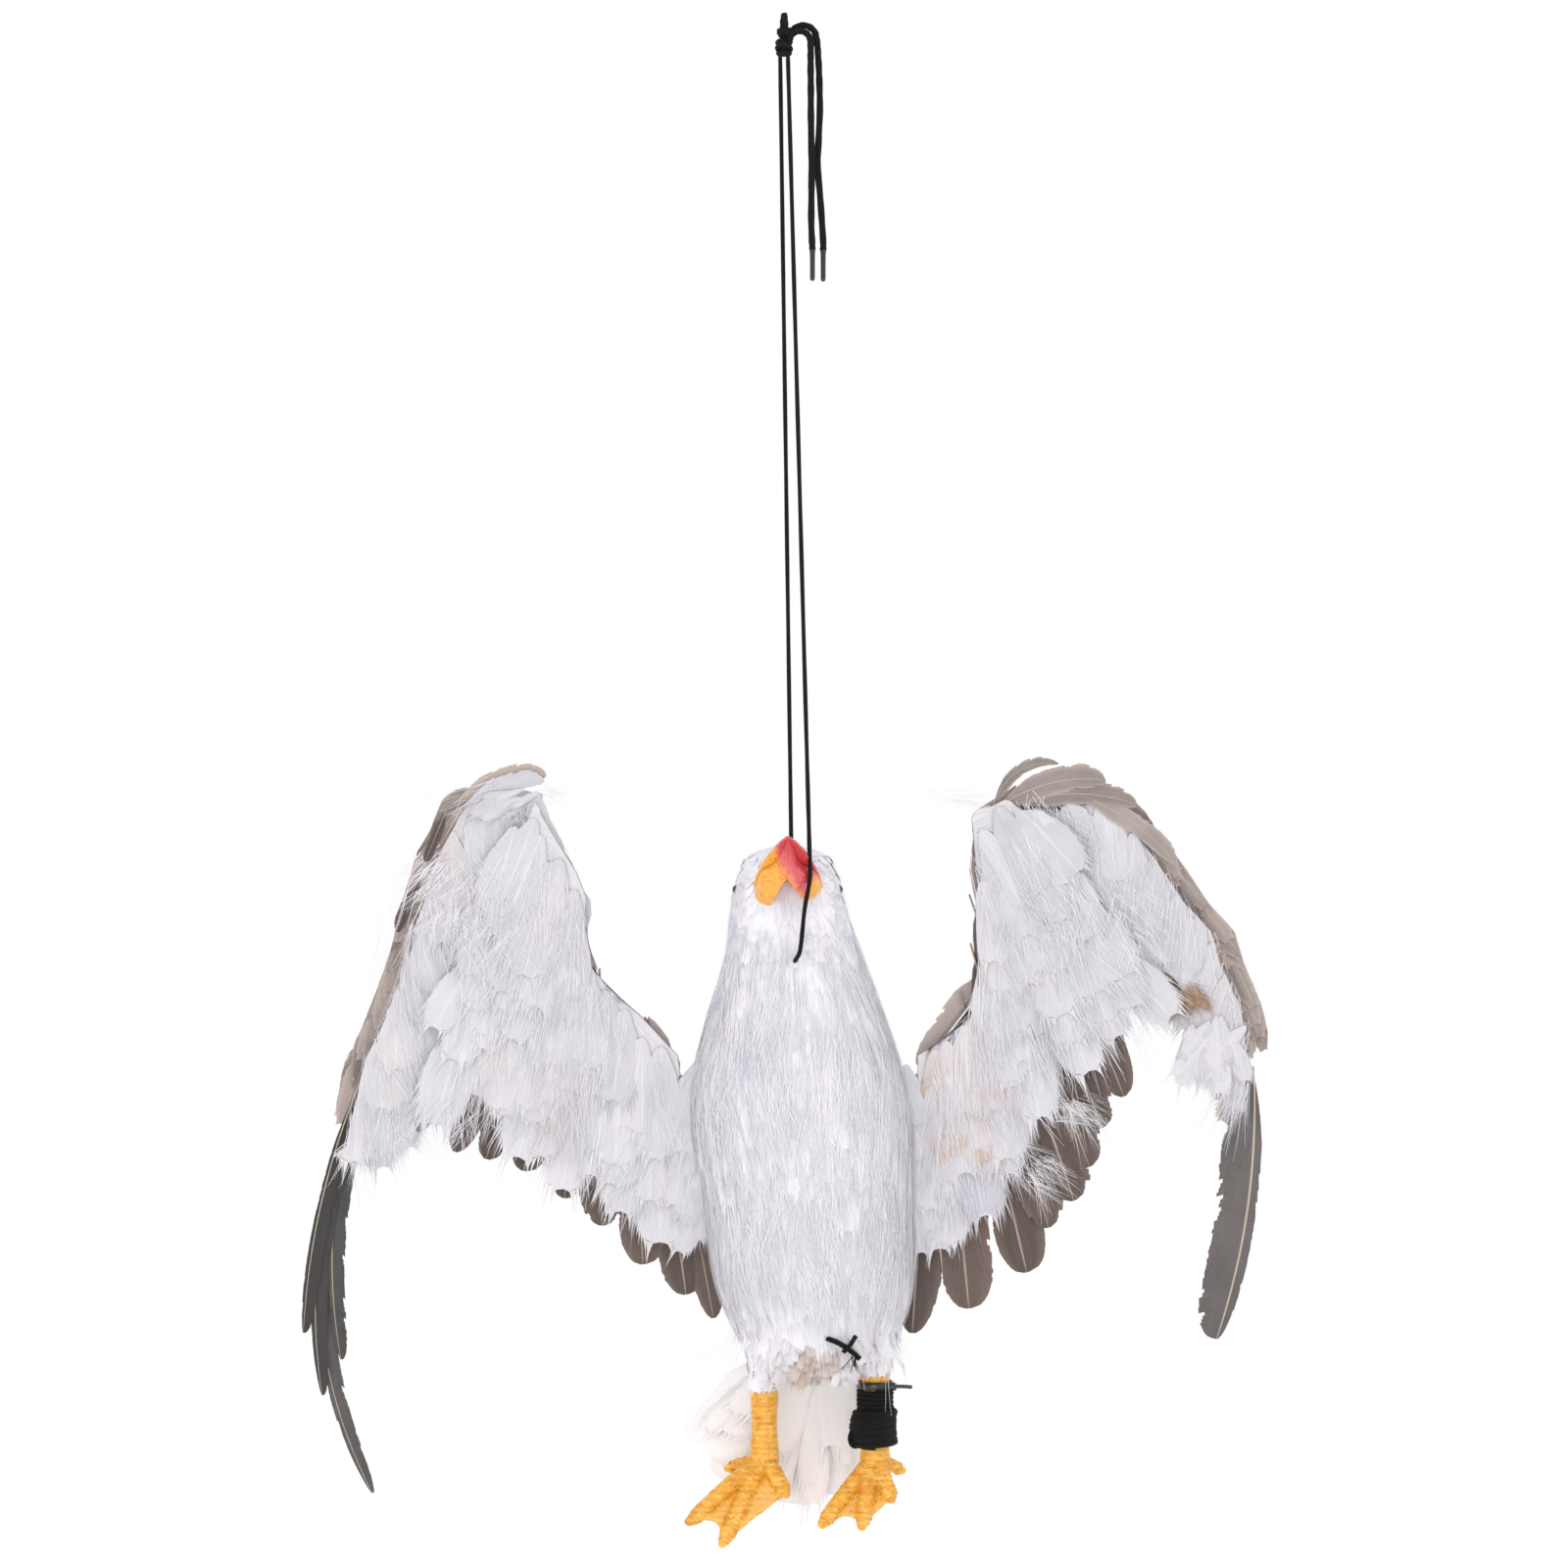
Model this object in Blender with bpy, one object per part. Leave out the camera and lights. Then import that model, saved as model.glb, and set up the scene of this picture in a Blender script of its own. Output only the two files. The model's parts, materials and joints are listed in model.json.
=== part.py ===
"""Feathered dead gull decoy that hangs by its neck from a black lace loop.

Metres, +Z up, +X to the right of someone who faces the belly, +Y away from them.
The origin is the top of the lace loop, where a hook carries the decoy.
Right and left are the gull's own, so its right wing lies at -X.
"""
import math

import bmesh
import bpy
from mathutils import Matrix, Vector

# Clearances
GAP = 0.0003
RUNNING_GAP = 0.0004

# Lace
LACE_DIAMETER = 0.0028
LOOP_HEIGHT = 0.0056
LOOP_DEPTH = 0.0074
SWING_PIVOT_DEPTH = 0.0062
LOOP_FOOT_RADIUS = 0.0016
COLLAR_RADIUS = 0.0040
COLLAR_HEIGHT = 0.0042
KNOT_RADIUS = 0.0046
KNOT_HEIGHT = 0.0100
AGLET_LENGTH = 0.0160
AGLET_RADIUS = 0.0016
FREE_END_DROP = 0.1210
FREE_END_REACH = 0.0145
FREE_END_SPREAD = 0.0055
FREE_END_ARCH = 0.0040
STRAND_OFFSET = 0.0014
THROAT_CURL = 0.0053

# Trunk
CROWN_DEPTH = 0.4270
CROWN_DOME = 0.0030
HEAD_DEPTH = 0.4510
NECK_DEPTH = 0.4800
BREAST_DEPTH = 0.5480
BELLY_DEPTH = 0.6000
RUMP_DEPTH = 0.6560
VENT_DEPTH = 0.6880
HEAD_HALF_WIDTH = 0.0280
NECK_HALF_WIDTH = 0.0345
BREAST_HALF_WIDTH = 0.0540
BELLY_HALF_WIDTH = 0.0530
RUMP_HALF_WIDTH = 0.0475
HEAD_HALF_DEPTH = 0.0285
BREAST_HALF_DEPTH = 0.0470
HEAD_X = 0.0020
BREAST_X = 0.0078
RUMP_X = 0.0160
HEAD_Y = -0.0060
TRUNK_Y = 0.0000
COAT_THICKNESS = 0.0035
COAT_HEM_DEPTH = 0.6760
FOAM_ABOVE_SHOULDERS = 0.0520
RING_POINTS = 18

# Lace route past the bill and through the neck
BILL_TOUCH = Vector((0.0130, -0.0470, -0.4360))
THROAT_DEPTH = 0.4825
NAPE_DEPTH = 0.4740
THROAT_X = 0.0050

# Bill and eyes
BILL_LENGTH = 0.0400
BILL_BASE = Vector((0.0020, -0.0300, -0.4460))
BILL_RISE = math.radians(42)
BILL_HALF_WIDTH = 0.0165
BILL_TIP_HALF_WIDTH = 0.0014
BILL_HALF_HEIGHT = 0.0110
BILL_POCKET_ROOM = 0.0024
BILL_POCKET_FLATNESS = 0.72
NECK_BORE_OVERRUN = 0.0200
EYE_RADIUS = 0.0026
EYE_DEPTH = 0.4470
EYE_TURN = math.radians(12)

# Wings
BAND_THICKNESS = 0.0016
BAND_EDGE_THICKNESS = 0.0008
SHINGLE_RELIEF = 0.0007
TIP_SCALLOP = 0.10
WIRE_RADIUS = 0.0011
SHOULDER_DEPTH = 0.5450
SHOULDER_INSET = 0.0075
SHOULDER_PIN_HEIGHT = 0.0140
SHOULDER_SWING = math.radians(25)
BAND_ROOT_INSET = 0.0145
WRIST_EYE_RADIUS = 0.0032
BLADE_THICKNESS = 0.0009
QUILL_SHARE = 0.16

# Tail
TAIL_ROOT = Vector((0.0175, 0.0220, -0.6790))
TAIL_ANGLES = (46, 29, 12, -3, -18)
TAIL_LENGTHS = (0.074, 0.082, 0.083, 0.078, 0.062)
TAIL_WIDTH = 0.0330
TAIL_SLOT_WIDTH = 0.0500
UNDERTAIL_SPREAD = 25
UNDERTAIL_DEPTH = 0.6920

# Legs
HIP_SPACING = 0.0565
HIP_DEPTH = 0.6740
HIP_CENTRE_X = 0.0182
HIP_Y = -0.0040
THIGH_RADIUS = 0.0100
THIGH_HEM_RADIUS = 0.0086
THIGH_DROP = 0.0230
HIP_SWING = math.radians(25)
HIP_SLOT_DROP = 0.0300
HIP_SLOT_ROOM = math.radians(3)
HIP_PIN_RADIUS = 0.0012
HIP_PIN_HOLD = 0.0020
SHANK_RADIUS = 0.0069
SHANK_LENGTH = 0.0470
LEG_WIRE_LENGTH = 0.0200
TOE_RADIUS = 0.0042
WEB_THICKNESS = 0.0030
LASHING_CORD = 0.0021
LASHING_PITCH = 0.0028
LASHING_TURNS = 10
LASHING_OUTER_TURNS = 2
LASHING_LAYER = LASHING_CORD + 2.6 * GAP
LASHING_STEP_TURNS = 0.5
TIE_WIDTH = 0.0042
TIE_THICKNESS = 0.0012
TIE_LOCK_HALF = 0.0022

SIDES = {"right": -1.0, "left": 1.0}

COLOURS = {
    "lace": ((0.016, 0.015, 0.013), 0.75, 0.0),
    "aglet": ((0.012, 0.012, 0.013), 0.30, 0.0),
    "foam": ((0.82, 0.80, 0.74), 0.90, 0.0),
    "white_feather": ((0.79, 0.76, 0.80), 0.80, 0.0),
    "brown_feather": ((0.20, 0.14, 0.12), 0.75, 0.0),
    "grey_feather": ((0.34, 0.28, 0.26), 0.75, 0.0),
    "black_feather": ((0.05, 0.045, 0.045), 0.65, 0.0),
    "bill": ((0.85, 0.38, 0.07), 0.45, 0.0),
    "bill_red": ((0.64, 0.06, 0.07), 0.45, 0.0),
    "foot": ((0.83, 0.40, 0.03), 0.50, 0.0),
    "eye": ((0.01, 0.01, 0.01), 0.10, 0.0),
    "tan_down": ((0.55, 0.42, 0.30), 0.85, 0.0),
    "steel_wire": ((0.55, 0.55, 0.56), 0.35, 1.0),
    "tie_plastic": ((0.015, 0.015, 0.015), 0.30, 0.0),
}


def clear_scene():
    """Remove whatever the file holds, so that the model stands alone."""
    for old in list(bpy.data.objects):
        bpy.data.objects.remove(old, do_unlink=True)


def finish_material(name):
    """Principled material of one of the decoy's finishes."""
    found = bpy.data.materials.get(name)
    if found:
        return found
    colour, roughness, metallic = COLOURS[name]
    made = bpy.data.materials.new(name)
    made.use_nodes = True
    shader = made.node_tree.nodes["Principled BSDF"]
    shader.inputs["Base Color"].default_value = (*colour, 1.0)
    shader.inputs["Roughness"].default_value = roughness
    shader.inputs["Metallic"].default_value = metallic
    return made


def place(name, data, finish=None, joint=None):
    """Link one object; a moving piece hangs under the empty on its joint's axis."""
    piece = bpy.data.objects.new(name, data)
    bpy.context.scene.collection.objects.link(piece)
    if finish:
        data.materials.append(finish_material(finish))
    if joint:
        piece.parent = joint
        piece.matrix_parent_inverse = joint.matrix_world.inverted()
    return piece


def place_mesh(name, built, finish=None, joint=None, smooth=True):
    """Turn a bmesh into an object whose faces point outwards."""
    bmesh.ops.recalc_face_normals(built, faces=built.faces[:])
    mesh = bpy.data.meshes.new(name)
    built.to_mesh(mesh)
    built.free()
    if smooth:
        mesh.shade_smooth()
        mesh.set_sharp_from_angle(angle=math.radians(40))
    return place(name, mesh, finish, joint)


def joint_empty(name, position, parent=None):
    """Empty that marks a joint; it isn't a piece."""
    marker = place(name, None)
    marker.matrix_world = Matrix.Translation(position)
    if parent:
        marker.parent = parent
        marker.matrix_parent_inverse = parent.matrix_world.inverted()
    bpy.context.view_layer.update()
    return marker


def loft(rings):
    """Closed solid through rings of equal point count."""
    built = bmesh.new()
    rows = [[built.verts.new(point) for point in ring] for ring in rings]
    count = len(rows[0])
    for low, high in zip(rows, rows[1:]):
        for i in range(count):
            j = (i + 1) % count
            built.faces.new((low[i], low[j], high[j], high[i]))
    built.faces.new(list(reversed(rows[0])))
    built.faces.new(rows[-1])
    return built


def circle_ring(centre, along, radius, count, flat=1.0):
    """Points of a circle round a centre, square to a direction; flat squeezes it front to back."""
    along = Vector(along).normalized()
    side = Vector((0.0, 1.0, 0.0)).cross(along)
    if side.length < 0.1:
        side = Vector((1.0, 0.0, 0.0))
    side.normalize()
    rise = along.cross(side)
    turns = [2.0 * math.pi * i / count for i in range(count)]
    return [centre + side * radius * math.cos(t) + rise * radius * flat * math.sin(t) for t in turns]


def tapered_tube(points, radii, count=8, flat=1.0):
    """Closed tube with a radius at each point."""
    rings = []
    for i, point in enumerate(points):
        before = points[max(i - 1, 0)]
        after = points[min(i + 1, len(points) - 1)]
        rings.append(circle_ring(Vector(point), Vector(after) - Vector(before), radii[i], count, flat))
    return loft(rings)


def smooth_path(route, steps):
    """Catmull-Rom curve through a route's own points."""
    route = [Vector(point) for point in route]
    padded = [2 * route[0] - route[1]] + route + [2 * route[-1] - route[-2]]
    path = []
    for i in range(1, len(padded) - 2):
        p0, p1, p2, p3 = padded[i - 1:i + 3]
        for k in range(steps):
            t = k / steps
            path.append(0.5 * (2 * p1 + (p2 - p0) * t + (2 * p0 - 5 * p1 + 4 * p2 - p3) * t * t
                               + (3 * p1 - p0 - 3 * p2 + p3) * t ** 3))
    path.append(route[-1])
    return path


def cord(name, points, radius, finish, joint=None, resolution=2):
    """Round cord or wire along points, with filled caps."""
    line = bpy.data.curves.new(name, "CURVE")
    line.dimensions = "3D"
    line.bevel_depth = radius
    line.bevel_resolution = resolution
    line.use_fill_caps = True
    spline = line.splines.new("POLY")
    spline.points.add(len(points) - 1)
    for knot, point in zip(spline.points, points):
        knot.co = (*point, 1.0)
    return place(name, line, finish, joint)


def cutter(name, built):
    """Hidden solid that only cuts or joins others."""
    tool = place_mesh(name, built, smooth=False)
    tool.hide_render = True
    tool.display_type = "WIRE"
    return tool


def boolean(piece, tool, operation):
    """Exact Boolean of a piece with a hidden tool."""
    step = piece.modifiers.new(operation.lower() + "_" + tool.name, "BOOLEAN")
    step.operation = operation
    step.object = tool
    step.solver = "EXACT"


def box(low, high):
    """Closed box between two corners."""
    built = bmesh.new()
    bmesh.ops.create_cube(built, size=1.0)
    low = Vector(low)
    high = Vector(high)
    bmesh.ops.scale(built, vec=high - low, verts=built.verts[:])
    bmesh.ops.translate(built, vec=(low + high) / 2, verts=built.verts[:])
    return built


def rod(start, end, radius, count=12):
    """Closed straight rod."""
    return tapered_tube([Vector(start), Vector(end)], [radius, radius], count)


# Trunk surface


def trunk_stations():
    """Depth below the hook, centre X, centre Y, half width and half depth, from the vent to the crown."""
    vent = (VENT_DEPTH, RUMP_X + 0.002, TRUNK_Y, RUMP_HALF_WIDTH * 0.72, BREAST_HALF_DEPTH * 0.62)
    rump = (RUMP_DEPTH, RUMP_X, TRUNK_Y, RUMP_HALF_WIDTH, BREAST_HALF_DEPTH * 0.88)
    belly = (BELLY_DEPTH, (RUMP_X + BREAST_X) / 2, TRUNK_Y, BELLY_HALF_WIDTH, BREAST_HALF_DEPTH)
    breast = (BREAST_DEPTH, BREAST_X, TRUNK_Y, BREAST_HALF_WIDTH, BREAST_HALF_DEPTH)
    collar_depth = (NECK_DEPTH + BREAST_DEPTH) / 2
    collar = (collar_depth, BREAST_X * 0.8, TRUNK_Y, (NECK_HALF_WIDTH + BREAST_HALF_WIDTH) / 2 + 0.001,
              (HEAD_HALF_DEPTH + BREAST_HALF_DEPTH) / 2)
    neck = (NECK_DEPTH, (HEAD_X + BREAST_X) / 2, (HEAD_Y + TRUNK_Y) / 2, NECK_HALF_WIDTH,
            HEAD_HALF_DEPTH * 1.08)
    head = (HEAD_DEPTH, HEAD_X, HEAD_Y, HEAD_HALF_WIDTH, HEAD_HALF_DEPTH)
    brow_depth = HEAD_DEPTH * 0.42 + CROWN_DEPTH * 0.58
    brow = (brow_depth, HEAD_X, HEAD_Y, HEAD_HALF_WIDTH * 0.86, HEAD_HALF_DEPTH * 0.86)
    crown = (CROWN_DEPTH, HEAD_X, HEAD_Y, HEAD_HALF_WIDTH * 0.50, HEAD_HALF_DEPTH * 0.50)
    top = (CROWN_DEPTH - CROWN_DOME, HEAD_X, HEAD_Y, HEAD_HALF_WIDTH * 0.12, HEAD_HALF_DEPTH * 0.12)
    return [vent, rump, belly, breast, collar, neck, head, brow, crown, top]


def trunk_at(depth):
    """Centre, half width and half depth of the feathered surface at a depth."""
    stations = sorted(trunk_stations(), key=lambda station: station[0])
    reach = depth
    depth = min(max(depth, stations[0][0]), stations[-1][0])
    for i in range(len(stations) - 1):
        if depth <= stations[i + 1][0]:
            break
    spots = [stations[max(i - 1, 0)], stations[i], stations[i + 1], stations[min(i + 2, len(stations) - 1)]]
    span = spots[2][0] - spots[1][0]
    t = (depth - spots[1][0]) / span
    values = []
    for k in range(1, 5):
        p = [spot[k] for spot in spots]
        m1 = (p[2] - p[0]) / max(spots[2][0] - spots[0][0], span) * span
        m2 = (p[3] - p[1]) / max(spots[3][0] - spots[1][0], span) * span
        h = 2 * t ** 3 - 3 * t ** 2 + 1
        values.append(h * p[1] + (1 - h) * p[2] + (t ** 3 - 2 * t ** 2 + t) * m1 + (t ** 3 - t ** 2) * m2)
    centre = Vector((values[0], values[1], -reach))
    return centre, values[2], values[3]


def trunk_point(depth, turn, inset=0.0):
    """Point on the trunk's surface; turn 0 faces +X and -90 degrees faces the belly side."""
    centre, half_width, half_depth = trunk_at(depth)
    return centre + Vector(((half_width - inset) * math.cos(turn), (half_depth - inset) * math.sin(turn), 0.0))


def trunk_depths(low, high):
    """Depths of the trunk's rings from the low end up: every station, the middles and both ends."""
    marks = [station[0] for station in trunk_stations()]
    marks += [(a + b) / 2 for a, b in zip(marks, marks[1:])]
    marks += [COAT_HEM_DEPTH, neck_joint(), neck_seam()]
    inner = sorted({round(mark, 6) for mark in marks if high + GAP * 5 < mark < low - GAP * 5}, reverse=True)
    return [low] + inner + [high]


def neck_joint():
    """Depth where the head's foam sits on the body's, which reaches that far above the shoulders."""
    return SHOULDER_DEPTH - FOAM_ABOVE_SHOULDERS


def neck_seam():
    """Depth where the head's coat meets the body's."""
    return neck_joint() - COAT_THICKNESS


def trunk_loft(low, high, inset, first=0, last=RING_POINTS, shift=0.0):
    """Slice of the trunk, all round or from one ring point to another, shifted in Y."""
    rings = []
    for depth in trunk_depths(low, high):
        whole = first == 0 and last == RING_POINTS
        turns = [2 * math.pi * i / RING_POINTS for i in range(first, last if whole else last + 1)]
        rings.append([trunk_point(depth, turn, inset) + Vector((0.0, shift, 0.0)) for turn in turns])
    return loft(rings)


def make_trunk(joint):
    """Foam cores and the four feather coats round them."""
    inset = COAT_THICKNESS + GAP
    half = RING_POINTS // 2
    seam = neck_seam()
    body_core = place_mesh("body_core", trunk_loft(VENT_DEPTH, neck_joint(), inset), "foam", joint)
    head_solid = trunk_loft(neck_joint() - GAP, CROWN_DEPTH + inset, inset)
    head_core = place_mesh("head_core", head_solid, "foam", joint)
    hollow = cutter("coat_hollow", trunk_loft(VENT_DEPTH + 0.01, CROWN_DEPTH + COAT_THICKNESS, COAT_THICKNESS))
    halves = {"front": (half, RING_POINTS, -GAP / 2), "back": (0, half, GAP / 2)}
    coats = {}
    for where, (first, last, shift) in halves.items():
        body_name = "breast_feather_coat" if where == "front" else "back_feather_coat"
        body = trunk_loft(COAT_HEM_DEPTH, seam + GAP, 0.0, first, last, shift)
        head = trunk_loft(seam, CROWN_DEPTH - CROWN_DOME, 0.0, first, last, shift)
        for name, built in ((body_name, body), ("head_feather_coat_" + where, head)):
            coats[name] = place_mesh(name, built, "white_feather", joint)
            boolean(coats[name], hollow, "DIFFERENCE")
    return body_core, head_core, coats


# Lace


def make_loop():
    """Small loop of lace over the hook, seen edge on from the front, with a ball where its legs meet."""
    count = 20
    middle = Vector((0.0, 0.0, -LOOP_HEIGHT / 2))
    lace_half = LACE_DIAMETER * 0.25
    half_depth = LOOP_DEPTH / 2 - lace_half
    half_height = LOOP_HEIGHT / 2 - lace_half
    built = bmesh.new()
    rows = []
    for i in range(count):
        turn = 2 * math.pi * i / count
        out = Vector((0.0, math.cos(turn), math.sin(turn)))
        spot = middle + Vector((0.0, half_depth * out.y, half_height * out.z))
        wide = Vector((LACE_DIAMETER * 0.6, 0.0, 0.0))
        thick = out * lace_half
        rows.append([built.verts.new(spot + corner) for corner in
                     (wide + thick, thick - wide, -wide - thick, wide - thick)])
    for i in range(count):
        for k in range(4):
            here, there = rows[i], rows[(i + 1) % count]
            built.faces.new((here[k], here[(k + 1) % 4], there[(k + 1) % 4], there[k]))
    loop = place_mesh("lace_loop", built, "lace")
    foot = bmesh.new()
    bmesh.ops.create_icosphere(foot, subdivisions=2, radius=LOOP_FOOT_RADIUS)
    bmesh.ops.translate(foot, vec=(0.0, 0.0, -SWING_PIVOT_DEPTH), verts=foot.verts[:])
    boolean(loop, cutter("loop_foot", foot), "UNION")
    return loop


def turned(depths_and_radii, count=14):
    """Solid of revolution about the hanging axis."""
    rings = [circle_ring(Vector((0.0, 0.0, -depth)), Vector((0.0, 0.0, 1.0)), radius, count)
             for depth, radius in depths_and_radii]
    return loft(rings)


def make_knot(swing, twist):
    """Collar turn and main knot, each a tight round form."""
    collar_top = SWING_PIVOT_DEPTH + LOOP_FOOT_RADIUS + GAP
    collar_foot = collar_top + COLLAR_HEIGHT
    collar = [(collar_foot, COLLAR_RADIUS * 0.75), (collar_foot - COLLAR_HEIGHT * 0.25, COLLAR_RADIUS),
              (collar_foot - COLLAR_HEIGHT * 0.6, COLLAR_RADIUS * 0.9), (collar_top, LOOP_FOOT_RADIUS)]
    place_mesh("lace_knot_collar", turned(collar), "lace", swing)
    top = collar_foot + GAP
    foot = top + KNOT_HEIGHT
    knot = [(foot, KNOT_RADIUS * 0.62), (foot - KNOT_HEIGHT * 0.2, KNOT_RADIUS * 0.98),
            (foot - KNOT_HEIGHT * 0.5, KNOT_RADIUS * 0.82), (foot - KNOT_HEIGHT * 0.8, KNOT_RADIUS),
            (top, KNOT_RADIUS * 0.7)]
    place_mesh("lace_knot", turned(knot), "lace", twist)
    return top, foot


def sling_route(knot_foot):
    """Route of the sling: down the front, past the bill, through the neck and up behind the head."""
    radius = LACE_DIAMETER / 2
    offset = STRAND_OFFSET + radius * 0.4
    start = Vector((offset, -radius - GAP, -knot_foot - GAP))
    throat = trunk_point(THROAT_DEPTH, math.radians(-90)) + Vector((THROAT_X - HEAD_X, 0.0, 0.0))
    nape = trunk_point(NAPE_DEPTH, math.radians(90))
    end = Vector((-offset, radius + GAP, -knot_foot - GAP))
    bend = THROAT_CURL
    route = [start, start.lerp(BILL_TOUCH, 0.02)]
    route += [start.lerp(BILL_TOUCH, share) for share in (0.15, 0.35, 0.55, 0.75, 0.9, 0.97)]
    route += [BILL_TOUCH + Vector((0.0, bend * 0.1, -bend * 0.75)),
              BILL_TOUCH + Vector((-bend * 0.38, bend * 0.19, -bend * 3.77)),
              throat + Vector((0.0028, -bend * 1.1, bend * 1.25)),
              throat + Vector((0.0008, -bend * 0.60, bend * 0.28)),
              throat.lerp(nape, 0.04), throat.lerp(nape, 0.5), throat.lerp(nape, 0.97),
              nape + Vector((0.0, bend * 0.55, bend * 0.25)), nape + Vector((0.0, bend * 0.92, bend * 1.2))]
    rise = route[-1]
    route += [rise.lerp(end, share) for share in (0.06, 0.2, 0.4, 0.6, 0.8, 0.98)]
    route.append(end)
    return route, throat, nape


def free_end_route(knot_top, outer):
    """Route of one free end: out of the knot's side, over a small arch and straight down."""
    shift = FREE_END_SPREAD if outer else 0.0
    lean = LACE_DIAMETER * (0.56 if outer else -0.56)
    side = Vector((KNOT_RADIUS + GAP, lean, -knot_top - KNOT_HEIGHT * (0.22 if outer else 0.55)))
    rise = FREE_END_ARCH / 2 if outer else 0.0
    arch = Vector((KNOT_RADIUS + FREE_END_ARCH, lean, -knot_top + FREE_END_ARCH + rise))
    shoulder = Vector((FREE_END_REACH * 0.86 + shift * 0.6, lean, -knot_top - FREE_END_ARCH * 0.75 + rise))
    return [side, side + Vector((FREE_END_ARCH * 0.4, 0.0, FREE_END_ARCH * 0.3)), arch, shoulder,
            Vector((FREE_END_REACH + shift * 0.7, lean, -knot_top - FREE_END_ARCH * 5)),
            Vector((FREE_END_REACH + shift * 0.6, lean, -FREE_END_DROP * 0.55)),
            Vector((FREE_END_REACH + shift * 0.9, lean, -FREE_END_DROP * 0.85)),
            Vector((FREE_END_REACH + shift, lean, -FREE_END_DROP + FREE_END_ARCH)),
            Vector((FREE_END_REACH + shift, lean, -FREE_END_DROP))]


def make_lace(swing, twist):
    """Loop, knot, sling, free ends and aglets."""
    make_loop()
    knot_top, knot_foot = make_knot(swing, twist)
    route, throat, nape = sling_route(knot_foot)
    cord("lace_sling", smooth_path(route, 3), LACE_DIAMETER / 2, "lace", twist)
    for letter, outer in (("a", False), ("b", True)):
        route = free_end_route(knot_top, outer)
        cord("lace_free_end_" + letter, smooth_path(route, 5), LACE_DIAMETER / 2, "lace", twist)
        top = route[-1] - Vector((0.0, 0.0, GAP))
        rings = [(0.0, AGLET_RADIUS), (AGLET_LENGTH * 0.85, AGLET_RADIUS), (AGLET_LENGTH, AGLET_RADIUS * 0.8)]
        points = [top - Vector((0.0, 0.0, drop)) for drop, radius in rings]
        place_mesh("aglet_" + letter, tapered_tube(points, [radius for drop, radius in rings], 10),
                   "aglet", twist)
    return throat, nape


# Bill and eyes


def bill_half(upper):
    """Rings of one half of the bill, from its base to its tip."""
    along = bill_direction()
    across = Vector((1.0, 0.0, 0.0))
    rise = along.cross(across)
    if rise.z < 0:
        rise = -rise
    length = BILL_LENGTH if upper else BILL_LENGTH * 0.93
    rings = []
    for share in (0.0, 0.25, 0.5, 0.72, 0.88, 1.0):
        width = BILL_HALF_WIDTH * (1.0 - share) ** 0.9 + BILL_TIP_HALF_WIDTH
        height = BILL_HALF_HEIGHT * (1.0 - 0.72 * share)
        centre = BILL_BASE + along * length * share
        ring = []
        for i in range(9):
            turn = math.pi * i / 8
            level = height * math.sin(turn) + GAP / 2
            ring.append(centre + across * width * math.cos(turn) + rise * level * (1 if upper else -0.8))
        rings.append(ring)
    return rings


def bill_direction():
    """Way that the bill points, up and towards the belly side."""
    return Vector((0.0, -math.cos(BILL_RISE), math.sin(BILL_RISE)))


def make_bill(joint):
    """Upper and lower bill, set into the head."""
    place_mesh("upper_bill", loft(bill_half(True)), "bill_red", joint)
    place_mesh("lower_bill", loft(bill_half(False)), "bill", joint)


def eye_ball(side, radius):
    """Ball at one eye's place on the side of the head."""
    turn = -EYE_TURN if SIDES[side] > 0 else math.pi + EYE_TURN
    ball = bmesh.new()
    bmesh.ops.create_icosphere(ball, subdivisions=2, radius=radius)
    spot = trunk_point(EYE_DEPTH, turn, EYE_RADIUS * 0.55)
    bmesh.ops.translate(ball, vec=spot, verts=ball.verts[:])
    return ball


def make_head(head_core, coats, throat, nape, joint):
    """Bill, eyes and the bores and pockets that they and the lace need."""
    make_bill(joint)
    along = bill_direction()
    pocket_points = [BILL_BASE - along * GAP, BILL_BASE + along * BILL_LENGTH * 0.8]
    pocket_radius = BILL_HALF_WIDTH + BILL_POCKET_ROOM
    pocket = tapered_tube(pocket_points, [pocket_radius, pocket_radius], 16, BILL_POCKET_FLATNESS)
    hollows = [cutter("bill_pocket", pocket)]
    for side in SIDES:
        place_mesh(side + "_eye", eye_ball(side, EYE_RADIUS), "eye", joint)
        hollows.append(cutter(side + "_eye_socket", eye_ball(side, EYE_RADIUS + 1.5 * GAP)))
    beyond = (throat - nape).normalized() * NECK_BORE_OVERRUN
    bore = cutter("neck_bore", rod(throat + beyond, nape - beyond, LACE_DIAMETER / 2 + RUNNING_GAP))
    for piece in [head_core] + list(coats.values()):
        boolean(piece, bore, "DIFFERENCE")
    for piece in (head_core, coats["head_feather_coat_front"], coats["head_feather_coat_back"]):
        for hollow in hollows:
            boolean(piece, hollow, "DIFFERENCE")


# Wings

WING_SHAPES = {
    "right": {
        "arm_line": ((0.0000, 0.0130), (0.0400, 0.0760), (0.0520, 0.1130), (0.0740, 0.1420)),
        "wrist": (0.0940, 0.1330),
        "hand_line": ((-0.0200, 0.0120), (0.0230, 0.0130), (0.0528, -0.0350), (0.0658, -0.0790),
                      (0.0878, -0.1390)),
        "hand_tip": (0.0835, -0.1320),
    },
    "left": {
        "arm_line": ((0.0000, 0.0130), (0.0200, 0.0720), (0.0220, 0.1270), (0.0500, 0.1510)),
        "wrist": (0.0640, 0.1370),
        "hand_line": ((0.0000, 0.0110), (0.0387, 0.0115), (0.0812, -0.0345), (0.1087, -0.0755),
                      (0.1232, -0.1370)),
        "hand_tip": (0.1185, -0.1300),
    },
}

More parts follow.
